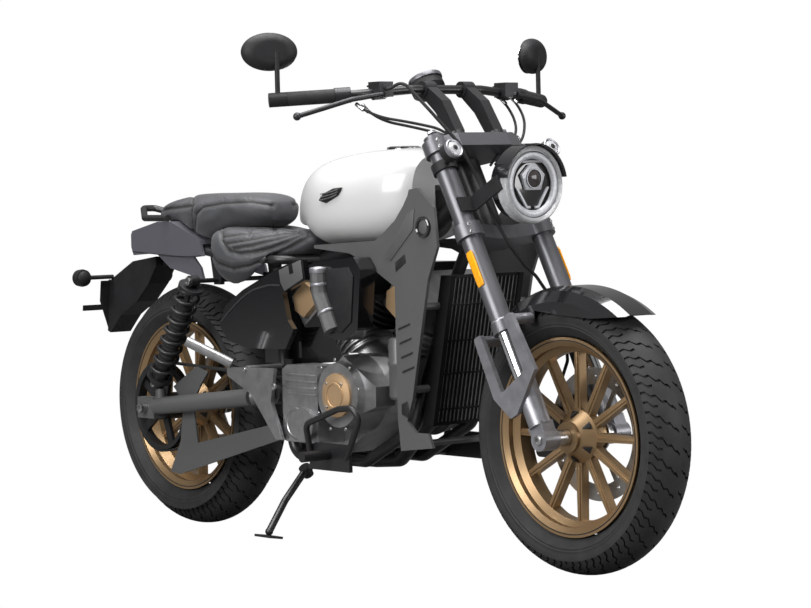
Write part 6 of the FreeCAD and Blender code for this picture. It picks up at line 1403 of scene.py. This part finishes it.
@dataclass
class Cockpit:
    """What the rider sees: the gauge's face, the mirrors, the reservoirs and the cables."""

    bench: Bench
    gauge: Point = (-30.0, 0.0, 960.0)
    gauge_glass: Rings = ((30.2, 39.0), (31.5, 38.5), (31.8, 1.0))
    gauge_rim: Rings = ((24.0, 42.3), (31.0, 42.8), (34.5, 41.5), (33.0, 38.8), (30.3, 38.8), (24.0, 42.3))
    mirror: Point = (914.7, -414.6, 1221.0)
    mirror_toe: float = 26.0
    glass_behind: float = 17.2
    glass_half_width: float = 60.0
    glass_half_height: float = 39.0
    glass_corners: int = 28
    shell_half_width: float = 52.0
    shell_half_height: float = 44.0
    rib_heights: tuple[float, ...] = (-22.0, -8.0, 6.0, 20.0)
    rib_share: float = 0.72
    reservoir_ends: tuple[float, float] = (1020.0, 1062.0)
    reservoir_side: float = 199.0
    reservoir_half_width: float = 20.0
    reservoir_top: float = 1139.0
    window_forward: float = 1064.0
    window_height: float = 1121.0
    window: Rings = ((-2.0, 9.0), (1.5, 9.0), (2.5, 7.0), (1.2, 6.0), (1.2, 1.0))
    cable_radius: float = 3.4
    sleeve_radius: float = 5.0

    CABLES = (
        ((1018.0, -250.0, 1100.0), (1060.0, -240.0, 1070.0), (1110.0, -150.0, 1052.0),
         (1150.0, -70.0, 1030.0), (1172.0, -30.0, 965.0)),
        ((1010.0, -225.0, 1098.0), (1045.0, -215.0, 1062.0), (1100.0, -130.0, 1040.0),
         (1146.0, -52.0, 1015.0), (1160.0, -22.0, 960.0)),
        ((1022.0, 232.0, 1122.0), (1070.0, 240.0, 1080.0), (1105.0, 205.0, 1010.0),
         (1160.0, 110.0, 985.0), (1182.0, 40.0, 950.0)),
        ((1026.0, 196.0, 1118.0), (1066.0, 204.0, 1080.0), (1092.0, 196.0, 1020.0),
         (1150.0, 90.0, 990.0), (1176.0, 30.0, 948.0)),
    )

    def build(self) -> None:
        """Models the cockpit's details."""
        bench = self.bench
        steer = STANCE.steering()
        glass = bench.turn(self.gauge, Axis.UP, self.gauge_glass, count=48)
        bench.settle("gauge_glass", [glass], "smoked_lens", "lens", Body.STEERING, steer)
        rim = bench.turn(self.gauge, Axis.UP, self.gauge_rim, count=48, hollow=True)
        bench.settle("gauge_rim", [rim], "fork_grey", "satin_black_alloy", Body.STEERING, steer)
        self.finish_mirrors()
        self.cap_reservoirs()
        self.run_cables()

    def finish_mirrors(self) -> None:
        """Adds the mirrors' glasses and the ribs on the backs of their shells."""
        bench = self.bench
        toe = math.radians(self.mirror_toe)
        facing = Vector((math.cos(toe), -math.sin(toe), 0.0))
        across = Vector((math.sin(toe), math.cos(toe), 0.0))
        upward = Vector((0.0, 0.0, self.glass_half_height))
        middle = Vector(self.mirror) - facing * self.glass_behind
        corners = []
        for index in range(self.glass_corners):
            angle = 2 * math.pi * index / self.glass_corners
            corners.append(
                middle + across * self.glass_half_width * math.cos(angle) + upward * math.sin(angle))
        glass = bench.plate(corners, -facing * 1.6, bevel=0.5)
        bench.settle("mirror_glasses", [glass], "mirror_glass", "bright_chrome", Body.STEERING, both=True)
        ribs = []
        for rise in self.rib_heights:
            width = self.shell_half_width * math.sqrt(1.0 - (rise / self.shell_half_height) ** 2)
            middle = Vector(self.mirror) + facing * 12.0 + Vector((0.0, 0.0, rise))
            reach = across * width * self.rib_share
            ends = (middle - reach - facing * 2.0, middle + facing * 4.0, middle + reach - facing * 2.0)
            ribs.append(bench.line(ends, radius=1.6))
        bench.settle("mirror_ribs", ribs, "moulded_black", "moulded_black", Body.STEERING, both=True)

    def cap_reservoirs(self) -> None:
        """Adds the lids and the windows of the two fluid reservoirs."""
        bench, top = self.bench, self.reservoir_top
        back, front = self.reservoir_ends
        caps, windows = [], []
        for side in (-1.0, 1.0):
            middle = side * self.reservoir_side
            right, left = middle - self.reservoir_half_width, middle + self.reservoir_half_width
            corners = ((back, right, top), (front, right, top), (front, left, top), (back, left, top))
            caps.append(bench.plate(corners, (0.0, 0.0, 5.0), bevel=1.5))
            place = (self.window_forward, middle, self.window_height)
            windows.append(bench.turn(place, Axis.FORWARD, self.window, count=24))
        bench.settle("reservoir_caps", caps, "moulded_black", "moulded_black", Body.STEERING)
        bench.settle("reservoir_windows", windows, "clear_lens", "lens", Body.STEERING)

    def run_cables(self) -> None:
        """Draws the cables from the hand controls to the head of the fork."""
        bench = self.bench
        cables = [bench.line(points, radius=self.cable_radius) for points in self.CABLES]
        bench.settle("control_cables", cables, "grip_rubber", "hose_rubber", Body.STEERING)
        sleeves = []
        for points in self.CABLES:
            start, after = Vector(points[0]), Vector(points[1])
            run = (start, start.lerp(after, 0.25), start.lerp(after, 0.5))
            sleeves.append(bench.line(run, radius=self.sleeve_radius))
        bench.settle("cable_sleeves", sleeves, "turned_steel", "turned_steel", Body.STEERING)


@dataclass
class ForkTrim:
    """Lamps, reflectors, seal rings and bolts on the fork."""

    bench: Bench
    signal: Point = (110.0, -154.0, 706.0)
    signal_lens: Rings = ((26.2, 17.5), (29.0, 17.0), (31.5, 12.0), (32.5, 5.0), (32.7, 0.8))
    signal_ring: Rings = ((20.0, 23.2), (29.0, 23.6), (31.0, 21.5), (29.0, 18.0), (26.3, 18.0),
                          (20.0, 23.2))
    signal_core: Rings = ((30.0, 6.5), (33.4, 6.0), (34.4, 1.0))
    reflector_place: Point = (46.0, -135.5, 436.0)
    reflector: Points = ((-9.0, -44.0), (9.0, -44.0), (11.0, -36.0), (11.0, 36.0), (8.0, 46.0),
                         (-8.0, 46.0), (-11.0, 38.0), (-11.0, -36.0))
    leg_forward: float = 42.0
    leg_side: float = -112.0
    leg_top: float = 798.2
    seal_ring: Rings = ((282.0, 25.6), (284.0, 27.6), (300.0, 27.6), (303.0, 25.6), (303.0, 25.2),
                        (282.0, 25.2), (282.0, 25.6))
    clamp_forward: float = 68.0
    clamp_side: float = -128.0
    clamp_heights: tuple[float, ...] = (749.0, 767.0, 523.0, 542.0)
    clamp_way: Point = (1.0, -0.35, 0.0)
    axle_nut: Point = (1505.0, -131.0, 320.0)
    mudguard_side: float = -123.0
    mudguard_bolts: Points = ((1318.0, 540.0), (1424.0, 591.0))

    def build(self) -> None:
        """Models the fork's trim."""
        bench = self.bench
        steer = STANCE.steering()
        lens = bench.turn(self.signal, Axis.FORWARD, self.signal_lens, count=32)
        bench.settle("front_signal_lenses", [lens], "clear_lens", "lens", Body.STEERING, steer, both=True)
        ring = bench.turn(self.signal, Axis.FORWARD, self.signal_ring, count=40, hollow=True)
        bench.settle(
            "front_signal_rings", [ring], "fork_cast", "bright_chrome", Body.STEERING, steer, both=True)
        core = bench.turn(self.signal, Axis.FORWARD, self.signal_core, count=20)
        bench.settle(
            "front_signal_cores", [core], "frame_black", "moulded_black", Body.STEERING, steer, both=True)
        x, y, z = self.reflector_place
        corners = [(x + forward, y, z + up) for forward, up in self.reflector]
        reflector = bench.plate(corners, (0.0, -4.5, 0.0), bevel=1.6)
        # The reflectors' amber glow is painted light.
        bench.settle("fork_reflectors", [reflector], "amber_lens", "lens", Body.STEERING, steer, both=True)
        collar = bench.turn(
            (self.leg_forward, self.leg_side, 0.0), Axis.UP, self.seal_ring, count=40, hollow=True)
        bench.settle(
            "fork_seal_rings", [collar], "fork_cast", "satin_black_alloy", Body.STEERING, steer, both=True)
        top = (self.leg_forward, self.leg_side, self.leg_top)
        cap = bench.bolt(top, UPWARD, radius=11.0, height=6.0, corners=6)
        bench.settle("fork_cap_bolts", [cap], "fork_cast", "turned_steel", Body.STEERING, steer, both=True)
        pinch = []
        for height in self.clamp_heights:
            place = (self.clamp_forward, self.clamp_side, height)
            pinch.append(bench.bolt(place, self.clamp_way, radius=4.6, height=4.0))
        bench.settle("clamp_bolts", pinch, "turned_steel", "turned_steel", Body.STEERING, steer, both=True)
        nuts = [bench.bolt(self.axle_nut, NEAR_SIDE, radius=13.0, height=8.0, corners=6)]
        for place in standing(self.mudguard_bolts, self.mudguard_side):
            nuts.append(bench.bolt(place, NEAR_SIDE, radius=6.5, height=4.0, corners=6))
        bench.settle("fork_nuts", nuts, "turned_steel", "turned_steel", Body.STEERING, both=True)


@dataclass
class WheelTrim:
    """Rim grooves, spoke ribs and hub slots of one wheel."""

    bench: Bench
    name: str
    body: Body
    place: Matrix
    half_width: float
    spokes: int = 12
    rib_root: float = 66.0
    rib_tip: float = 204.0
    rib_root_half: float = 3.6
    rib_tip_half: float = 2.4
    rib_side: float = 11.0
    rib_height: float = 2.6
    groove_inner: float = 221.5
    groove_outer: float = 224.0
    groove_inset: float = 1.0
    groove_rise: float = 1.5
    hub_slots: int = 6
    slot: Points = ((42.0, 34.0, 0.0), (57.0, 17.0, -9.0), (57.0, 17.0, 9.0))
    slot_depth: Point = (2.2, 2.6, 0.0)

    def build(self) -> None:
        """Models ribs on the spokes, a groove in each side of the rim and slots round the hub."""
        bench = self.bench
        ribs, grooves, slots = [], [], []
        for side in (-1.0, 1.0):
            ribs += self.ribs(side)
        bench.settle(self.name + "_spoke_ribs", ribs, "wheel_bronze", "bronze", self.body, self.place)
        for side in (-1.0, 1.0):
            inner = side * (self.half_width - self.groove_inset)
            outer = inner + side * self.groove_rise
            section = ((inner, self.groove_inner), (outer, self.groove_inner), (outer, self.groove_outer),
                       (inner, self.groove_outer), (inner, self.groove_inner))
            grooves.append(bench.turn((0.0, 0.0, 0.0), Axis.ACROSS, section, count=96, hollow=True))
            slots += self.slots(side)
        bench.settle(
            self.name + "_rim_grooves", grooves, "frame_black", "frame_black", self.body, self.place)
        bench.settle(self.name + "_hub_slots", slots, "frame_black", "frame_black", self.body, self.place)

    def ribs(self, side: float) -> list[bpy.types.Object]:
        """Models a tapered rib for each spoke.

        Args:
            side: -1.0 or 1.0, for the side of the wheel.

        Returns:
            The ribs.
        """
        made = []
        level = side * self.rib_side
        for index in range(self.spokes):
            turn = Matrix.Rotation(2 * math.pi * index / self.spokes, 4, "Y")
            corners = ((self.rib_root, level, -self.rib_root_half),
                       (self.rib_tip, level, -self.rib_tip_half),
                       (self.rib_tip, level, self.rib_tip_half),
                       (self.rib_root, level, self.rib_root_half))
            rib = self.bench.plate(corners, (0.0, side * self.rib_height, 0.0), bevel=0.9)
            rib.matrix_world = turn @ rib.matrix_world
            made.append(rib)
        return made

    def slots(self, side: float) -> list[bpy.types.Object]:
        """Models the three-cornered slots round the hub.

        Args:
            side: -1.0 or 1.0, for the side of the wheel.

        Returns:
            The slots.
        """
        made = []
        for index in range(self.hub_slots):
            turn = Matrix.Rotation(2 * math.pi * (index + 0.5) / self.hub_slots, 4, "Y")
            corners = [(out, side * across, up) for out, across, up in self.slot]
            out, across, up = self.slot_depth
            slot = self.bench.plate(corners, (out, side * across, up), bevel=0.6)
            slot.matrix_world = turn @ slot.matrix_world
            made.append(slot)
        return made


@dataclass
class BodyTrim:
    """Details on the tank, the panels, the radiator and the tail."""

    bench: Bench
    core_foot: Point = (1107.5, 0.0, 338.0)
    core_head: Point = (1185.0, 0.0, 684.0)
    fin_depth: float = 2.6
    fin_thickness: float = 2.0
    fin_pitch: float = 12.2
    fins_a_side: int = 8
    shroud_side: float = -168.0
    louvre: Points = ((0.0, 0.0), (44.0, 14.0), (44.0, 19.0), (0.0, 5.0))
    louvres: Points = ((1056.0, 560.0), (1060.0, 526.0), (1064.0, 492.0), (1068.0, 458.0))
    upper_vent: Points = ((1052.0, 700.0), (1090.0, 722.0), (1086.0, 742.0), (1050.0, 722.0))
    lower_vent: Points = ((1062.0, 360.0), (1084.0, 352.0), (1090.0, 372.0), (1084.0, 392.0),
                          (1062.0, 384.0))
    ring_centre: Point = (1158.0, -168.0, 806.0)
    ring: Rings = ((0.0, 26.0), (-6.0, 25.0), (-7.5, 22.0), (-6.0, 18.0), (0.0, 17.5), (0.0, 26.0))
    ring_disc: Rings = ((0.0, 17.0), (-2.0, 17.0), (-3.4, 14.0), (-3.4, 1.0))
    facet: Points = ((1010.0, 735.0), (1034.0, 726.0), (1120.0, 800.0), (1126.0, 850.0), (1100.0, 838.0),
                     (1060.0, 790.0))
    scoop: Points = ((748.0, -157.0, 873.0), (778.0, -157.4, 866.0), (826.0, -157.4, 884.0),
                     (842.0, -157.0, 904.0), (806.0, -156.0, 902.0), (766.0, -156.0, 890.0))
    scoop_blades: int = 3
    blade_pitch: float = 7.0
    cover_side: float = -178.2
    cover_panel: Points = ((604.0, 700.0), (694.0, 727.0), (703.0, 680.0), (626.0, 648.0), (610.0, 668.0))
    cover_slot: Points = ((650.0, 690.0), (666.0, 694.0), (660.0, 718.0), (646.0, 712.0))
    tail_lens: Points = ((-175.4, -56.0, 757.0), (-175.4, 56.0, 757.0), (-175.4, 52.0, 780.0),
                         (-175.4, -52.0, 780.0))
    signal: Point = (-366.0, -138.0, 668.0)
    signal_shell: Rings = ((-21.0, 3.0), (-19.0, 11.0), (-13.0, 19.0), (-5.0, 23.8), (4.0, 24.6),
                           (13.0, 21.0), (19.0, 13.0), (21.0, 3.0))
    signal_lens: Rings = ((-19.5, 12.0), (-23.0, 9.0), (-24.0, 1.0))
    plate_foot: Point = (-399.0, 0.0, 515.0)
    plate_lean: float = 18.0
    plate_height: float = 142.0
    plate_way: Point = (-1.0, 0.0, 0.12)
    plate_bolts: Points = ((-30.0, 655.0), (30.0, 655.0), (-26.0, 612.0), (26.0, 612.0))
    tail_edge: Points = ((-146.0, -112.4, 742.0), (-60.0, -112.8, 737.0), (100.0, -112.8, 728.0),
                         (176.0, -112.4, 732.0))

    def build(self) -> None:
        """Models the body's trim from the front to the rear."""
        self.fit_fins()
        self.trim_shrouds()
        self.trim_tank()
        self.trim_side_covers()
        self.trim_tail()

    def fit_fins(self) -> None:
        """Stands thin fins in front of the radiator's core, in a light grey finish as painted highlight on
        their edges.
        """
        low, high = Vector(self.core_foot), Vector(self.core_head)
        ahead = Vector((self.fin_depth, 0.0, 0.0))
        corners = (low, high, high + ahead, low + ahead)
        fin = self.bench.plate(corners, (0.0, self.fin_thickness, 0.0), bevel=0.0)
        fins = []
        for index in range(-self.fins_a_side, self.fins_a_side + 1):
            copy = fin.copy()
            copy.data = fin.data.copy()
            bpy.context.collection.objects.link(copy)
            aside = metres((0.0, index * self.fin_pitch, 0.0))
            copy.matrix_world = Matrix.Translation(aside) @ fin.matrix_world
            fins.append(copy)
        bpy.data.objects.remove(fin)
        # The fins are black alloy; their light grey finish is painted highlight, the light lines that their
        # lit edges show.
        self.bench.settle("radiator_fins", fins, "engine_cover", "satin_black_alloy", Body.CHASSIS)

    def trim_shrouds(self) -> None:
        """Adds louvre lines, two vents, a ring and a facet to each side panel."""
        bench, side = self.bench, self.shroud_side
        lines = []
        for forward, height in self.louvres:
            outline = [(forward + along, height + rise) for along, rise in self.louvre]
            lines.append(bench.plate(standing(outline, side), (0.0, -1.6, 0.0), bevel=0.6))
        for vent in (self.upper_vent, self.lower_vent):
            lines.append(bench.plate(standing(vent, side), (0.0, -1.4, 0.0), bevel=0.6))
        bench.settle("shroud_louvres", lines, "frame_black", "moulded_black", Body.CHASSIS, both=True)
        ring = bench.turn(self.ring_centre, Axis.ACROSS, self.ring, count=40, hollow=True)
        bench.settle("shroud_rings", [ring], "gloss_black", "gloss_black", Body.CHASSIS, both=True)
        disc = bench.turn(self.ring_centre, Axis.ACROSS, self.ring_disc, count=32)
        facet = bench.plate(standing(self.facet, side), (0.0, -2.4, 0.0), bevel=1.6)
        bench.settle("shroud_facets", [disc, facet], "shroud_grey", "gunmetal", Body.CHASSIS, both=True)

    def trim_tank(self) -> None:
        """Adds a plain dark scoop with three blades on each side of the tank."""
        bench = self.bench
        scoop = bench.plate(self.scoop, (0.0, -4.5, -0.6), bevel=1.8)
        bench.settle("tank_scoops", [scoop], "moulded_black", "moulded_black", Body.CHASSIS, both=True)
        blades = []
        for index in range(self.scoop_blades):
            rise = index * self.blade_pitch
            blade = ((760.0, -163.0, 874.0 + rise), (795.0, -163.6, 878.0 + rise),
                     (824.0 + index * 4.0, -163.0, 887.0 + rise * 0.9))
            blades.append(bench.line(blade, radius=1.5))
        bench.settle("tank_scoop_blades", blades, "turned_steel", "bright_chrome", Body.CHASSIS, both=True)

    def trim_side_covers(self) -> None:
        """Adds the grey upper panels with their slots, and a fold along each cover."""
        bench, side = self.bench, self.cover_side
        panel = bench.plate(standing(self.cover_panel, side), (0.0, -2.6, 0.0), bevel=1.4)
        bench.settle("side_cover_panels", [panel], "shroud_grey", "gunmetal", Body.CHASSIS, both=True)
        slot = bench.plate(standing(self.cover_slot, side - 2.7), (0.0, -0.8, 0.0), bevel=0.3)
        bench.settle("side_cover_slots", [slot], "radiator_black", "moulded_black", Body.CHASSIS, both=True)
        run = ((352.0, side - 0.6, 566.0), (450.0, side - 1.4, 640.0), (560.0, side - 1.4, 664.0),
               (608.0, side - 1.0, 662.0))
        fold = bench.line(run, radius=2.2)
        bench.settle("side_cover_folds", [fold], "gloss_black", "gloss_black", Body.CHASSIS, both=True)

    def trim_tail(self) -> None:
        """Adds the tail lamp, the rear signals, the plate bracket's bolts and the tail's edge."""
        bench = self.bench
        lamp = bench.plate(self.tail_lens, (-4.0, 0.0, 0.0), bevel=1.8)
        bench.settle("tail_lens", [lamp], "red_lens", "lens", Body.CHASSIS)
        shell = bench.turn(self.signal, Axis.FORWARD, self.signal_shell, count=32)
        bench.settle(
            "rear_signal_shells", [shell], "moulded_black", "moulded_black", Body.CHASSIS, both=True)
        lens = bench.turn(self.signal, Axis.FORWARD, self.signal_lens, count=24)
        bench.settle("rear_signal_lenses", [lens], "amber_lens", "lens", Body.CHASSIS, both=True)
        bolts = []
        foot_forward, _, foot_height = self.plate_foot
        for across, height in self.plate_bolts:
            share = (height - foot_height) / self.plate_height
            forward = foot_forward + share * self.plate_lean - 5.0
            place = (forward, across, height)
            bolts.append(bench.bolt(place, self.plate_way, radius=5.0, height=3.0, corners=6))
        bench.settle("plate_bolts", bolts, "turned_steel", "turned_steel", Body.CHASSIS)
        edge = bench.line(self.tail_edge, radius=1.4)
        bench.settle("tail_edge_trim", [edge], "frame_black", "frame_black", Body.CHASSIS, both=True)


@dataclass
class EngineTrim:
    """Bolts, ribs, bands and caps on the engine, its air filter and its heads."""

    bench: Bench
    clutch: Point = (853.0, 0.0, 398.0)
    cover_bolts: int = 9
    cover_bolt_circle: float = 87.0
    cover_face: float = -198.6
    cap_bolts: int = 4
    cap_bolt_circle: float = 41.0
    cap_face: float = -208.6
    cap_ring: Rings = ((-208.4, 33.0), (-210.6, 32.0), (-210.6, 28.0), (-208.4, 27.0), (-208.4, 33.0))
    rib_side: float = -200.0
    rib_width: float = 5.0
    ribs: Points = ((300.0, 648.0, 690.0), (392.0, 652.0, 772.0), (408.0, 652.0, 772.0),
                    (424.0, 652.0, 772.0), (440.0, 652.0, 772.0))
    boss_centre: Point = (690.0, -198.0, 322.0)
    boss: Rings = ((0.0, 40.0), (-6.0, 40.0), (-8.0, 38.0), (-9.0, 33.0), (-7.5, 31.0), (-7.5, 27.0),
                   (-10.0, 25.0), (-10.5, 12.0), (-9.5, 1.0))
    canister_foot: Point = (1021.0, -128.0, 0.0)
    canister: Rings = ((388.0, 8.0), (392.0, 30.0), (398.0, 34.0), (470.0, 34.0), (474.0, 36.5),
                       (482.0, 36.5), (486.0, 34.0), (532.0, 34.0), (540.0, 30.0), (543.0, 6.0))
    canister_stub: Points = ((1021.0, -100.0, 440.0), (1000.0, -96.0, 440.0), (960.0, -96.0, 440.0))
    airbox_side: float = -220.2
    airbox_panel: Points = ((818.0, 704.0), (938.0, 712.0), (955.0, 690.0), (943.0, 580.0), (905.0, 553.0),
                            (888.0, 552.0), (848.0, 560.0), (808.0, 652.0))
    duct: Points = ((825.6, -224.0, 704.6), (829.5, -224.0, 645.6), (873.3, -222.0, 558.5))
    duct_lead: float = 12.0
    duct_radius: float = 22.4
    duct_cap_place: Point = (825.6, -224.0, 703.8)
    duct_cap: Rings = ((-6.0, 23.4), (1.0, 24.6), (5.0, 24.0), (7.5, 20.0), (7.0, 16.0), (8.6, 14.0),
                       (8.6, 1.0))
    crank: Point = (832.0, 0.0, 372.0)
    bank: float = 36.0
    fin_rises: tuple[float, ...] = (150.0, 167.0, 184.0)
    fin_edge: Points = ((60.0, -46.0), (34.0, -67.0), (0.0, -75.0), (-34.0, -67.0))
    head_rise: float = 330.0
    head_half_width: float = 46.0
    head_side: float = -124.4
    head_shares: tuple[float, ...] = (-0.7, 0.7)
    band_radius: float = 22.6

    # Each band's place on the duct, with the duct's direction there.
    BANDS = (
        ((827.9, -224.0, 669.0), (0.066, 0.0, -1.0)),
        ((852.0, -223.0, 601.0), (0.45, 0.0, -0.89)),
    )

    def build(self) -> None:
        """Models the engine's trim."""
        bench = self.bench
        self.bolt_covers()
        ring = bench.turn(self.clutch, Axis.ACROSS, self.cap_ring, count=48, hollow=True)
        bench.settle("clutch_cap_ring", [ring], "cover_bronze", "bronze", Body.CHASSIS)
        ribs = []
        for height, start, end in self.ribs:
            top = height + self.rib_width
            outline = ((start, height), (end, height), (end, top), (start, top))
            ribs.append(bench.plate(standing(outline, self.rib_side), (0.0, -3.0, 0.0), bevel=1.2))
        bench.settle("cover_ribs", ribs, "engine_cover", "cast_grey", Body.CHASSIS)
        boss = bench.turn(self.boss_centre, Axis.ACROSS, self.boss, count=48)
        bench.settle("cover_boss", [boss], "engine_cover", "cast_grey", Body.CHASSIS)
        self.fit_airbox()
        self.fit_heads()
        canister = bench.turn(self.canister_foot, Axis.UP, self.canister, count=40)
        stub = bench.line(self.canister_stub, radius=12.0)
        bench.settle("oil_canister", [canister, stub], "shroud_grey", "moulded_black", Body.CHASSIS)

    def bolt_covers(self) -> None:
        """Puts bolts round the clutch cover and round its cap."""
        bench = self.bench
        x, _, z = self.clutch
        bolts = []
        for index in range(self.cover_bolts):
            angle = 2 * math.pi * (index + 0.3) / self.cover_bolts
            along, up = self.cover_bolt_circle * math.cos(angle), self.cover_bolt_circle * math.sin(angle)
            bolts.append(bench.bolt((x + along, self.cover_face, z + up), NEAR_SIDE, radius=4.6, height=4.0))
        for index in range(self.cap_bolts):
            angle = 2 * math.pi * (index + 0.5) / self.cap_bolts
            along, up = self.cap_bolt_circle * math.cos(angle), self.cap_bolt_circle * math.sin(angle)
            bolts.append(bench.bolt((x + along, self.cap_face, z + up), NEAR_SIDE, radius=3.6, height=2.6))
        bench.settle("cover_bolts", bolts, "turned_steel", "turned_steel", Body.CHASSIS)

    def fit_airbox(self) -> None:
        """Adds the air filter cover's inner panel and the duct's sleeve, cap and bands."""
        bench = self.bench
        panel = bench.plate(standing(self.airbox_panel, self.airbox_side), (0.0, -3.0, 0.0), bevel=2.0)
        bench.settle("airbox_panel", [panel], "moulded_black", "moulded_black", Body.CHASSIS)
        top, bend, foot = (Vector(point) for point in self.duct)
        lead = (bend - top).normalized() * self.duct_lead
        tail = (foot - bend).normalized() * self.duct_lead
        sleeve = bench.line((top, bend - lead, bend, bend + tail, foot), radius=self.duct_radius)
        bench.settle("duct_sleeve", [sleeve], "shroud_grey", "moulded_black", Body.CHASSIS)
        cap = bench.turn(self.duct_cap_place, Axis.UP, self.duct_cap, count=40)
        bench.settle("duct_cap", [cap], "fork_cast", "cast_grey", Body.CHASSIS)
        bands = []
        for place, way in self.BANDS:
            bands.append(bench.band(place, radius=self.band_radius, thickness=1.8, way=way))
        bench.settle("duct_bands", bands, "fork_cast", "bright_chrome", Body.CHASSIS)

    def fit_heads(self) -> None:
        """Adds painted highlights, bright steel lines along the edges of three fins of each head, and bolts
        to its cover.
        """
        bench = self.bench
        crank = Vector(self.crank)
        edges, bolts = [], []
        for direction in (-1.0, 1.0):
            tilt = math.radians(self.bank) * direction
            along = Vector((math.sin(tilt), 0.0, math.cos(tilt)))
            across = Vector((math.cos(tilt), 0.0, -math.sin(tilt)))
            # Each bright line along a fin's edge is a painted highlight on the cast fin.
            for rise in self.fin_rises:
                middle = crank + along * rise
                run = [middle + across * out + Vector((0.0, side, 0.0)) for out, side in self.fin_edge]
                edges.append(bench.line(run, radius=1.6))
            for share in self.head_shares:
                place = crank + along * self.head_rise + across * self.head_half_width * share
                place += Vector((0.0, self.head_side, 0.0))
                bolts.append(bench.bolt(place, NEAR_SIDE, radius=5.0, height=4.0))
        bench.settle("fin_edges", edges, "turned_steel", "cast_grey", Body.CHASSIS, both=True)
        bench.settle("head_bolts", bolts, "turned_steel", "turned_steel", Body.CHASSIS, both=True)


@dataclass
class RearTrim:
    """Nuts, bolts and rubber boots at the rear wheel and the shocks."""

    bench: Bench
    shock_foot: Point = (51.0, -176.0, 394.0)
    shock_head: Point = (226.0, -176.0, 668.0)
    boot_foot: Rings = ((62.0, 9.0), (64.0, 22.0))
    boot_head: Rings = ((250.0, 22.0), (252.0, 9.0))
    boot_ribs: int = 15
    boot_start: float = 68.0
    boot_pitch: float = 12.0
    boot_valley: float = 5.0
    boot_radii: tuple[float, float] = (23.6, 21.8)

    # Each bolt's place, with its radius, height and corners.
    BOLTS = (
        ((0.0, -197.2, 326.0), 13.0, 7.0, 6),
        ((226.0, -189.2, 668.0), 11.0, 6.0, 20),
        ((51.0, -189.2, 394.0), 10.0, 5.0, 20),
        ((627.0, -220.2, 412.0), 9.0, 5.0, 20),
        ((506.0, -220.2, 450.0), 6.0, 4.0, 20),
    )

    def build(self) -> None:
        """Models the rear end's trim."""
        bench = self.bench
        nuts = []
        for place, radius, height, corners in self.BOLTS:
            nuts.append(bench.bolt(place, NEAR_SIDE, radius=radius, height=height, corners=corners))
        bench.settle("rear_nuts", nuts, "turned_steel", "turned_steel", Body.CHASSIS, both=True)
        ridge, valley = self.boot_radii
        rings = list(self.boot_foot)
        for rib in range(self.boot_ribs):
            height = self.boot_start + rib * self.boot_pitch
            rings += [(height, ridge), (height + self.boot_valley, valley)]
        boot = bench.turn((0.0, 0.0, 0.0), Axis.UP, rings + list(self.boot_head), count=32)
        foot, head = Vector(self.shock_foot), Vector(self.shock_head)
        tilt = Matrix.Rotation(math.atan2(head.x - foot.x, head.z - foot.z), 4, "Y")
        boot.matrix_world = Matrix.Translation(metres(foot)) @ tilt @ boot.matrix_world
        bench.settle("shock_boots", [boot], "grip_rubber", "hose_rubber", Body.CHASSIS, both=True)


def main() -> None:
    """Loads the frame, builds each sub-assembly and reports it."""
    logging.basicConfig(level=logging.INFO, format="%(message)s")
    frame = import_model()
    bpy.ops.object.select_all(action="DESELECT")
    Studio().build()
    palette = Palette()
    palette.dress_nodes(frame["nodes"])
    bench = Bench(palette)
    front, rear = STANCE.front_wheel(), STANCE.rear_wheel()
    assemblies = (
        Tyre(bench, "front_tyre", Body.FRONT_WHEEL, front, radius=320.0, width=130.0, rim_width=94.0),
        Tyre(bench, "rear_tyre", Body.REAR_WHEEL, rear, radius=326.0, width=158.0, rim_width=118.0),
        WheelTrim(bench, "front_wheel", Body.FRONT_WHEEL, front, half_width=47.0),
        WheelTrim(bench, "rear_wheel", Body.REAR_WHEEL, rear, half_width=59.0),
        Headlamp(bench),
        Cockpit(bench),
        ForkTrim(bench),
        BodyTrim(bench),
        EngineTrim(bench),
        RearTrim(bench),
        Cushion(bench, "rider_seat", lines=RIDER_SEAMS),
        Cushion(bench, "passenger_seat", lines=PASSENGER_SEAMS),
    )
    for assembly in assemblies:
        LOG.info("building %s", type(assembly).__name__)
        assembly.build()


if __name__ == "__main__":
    main()
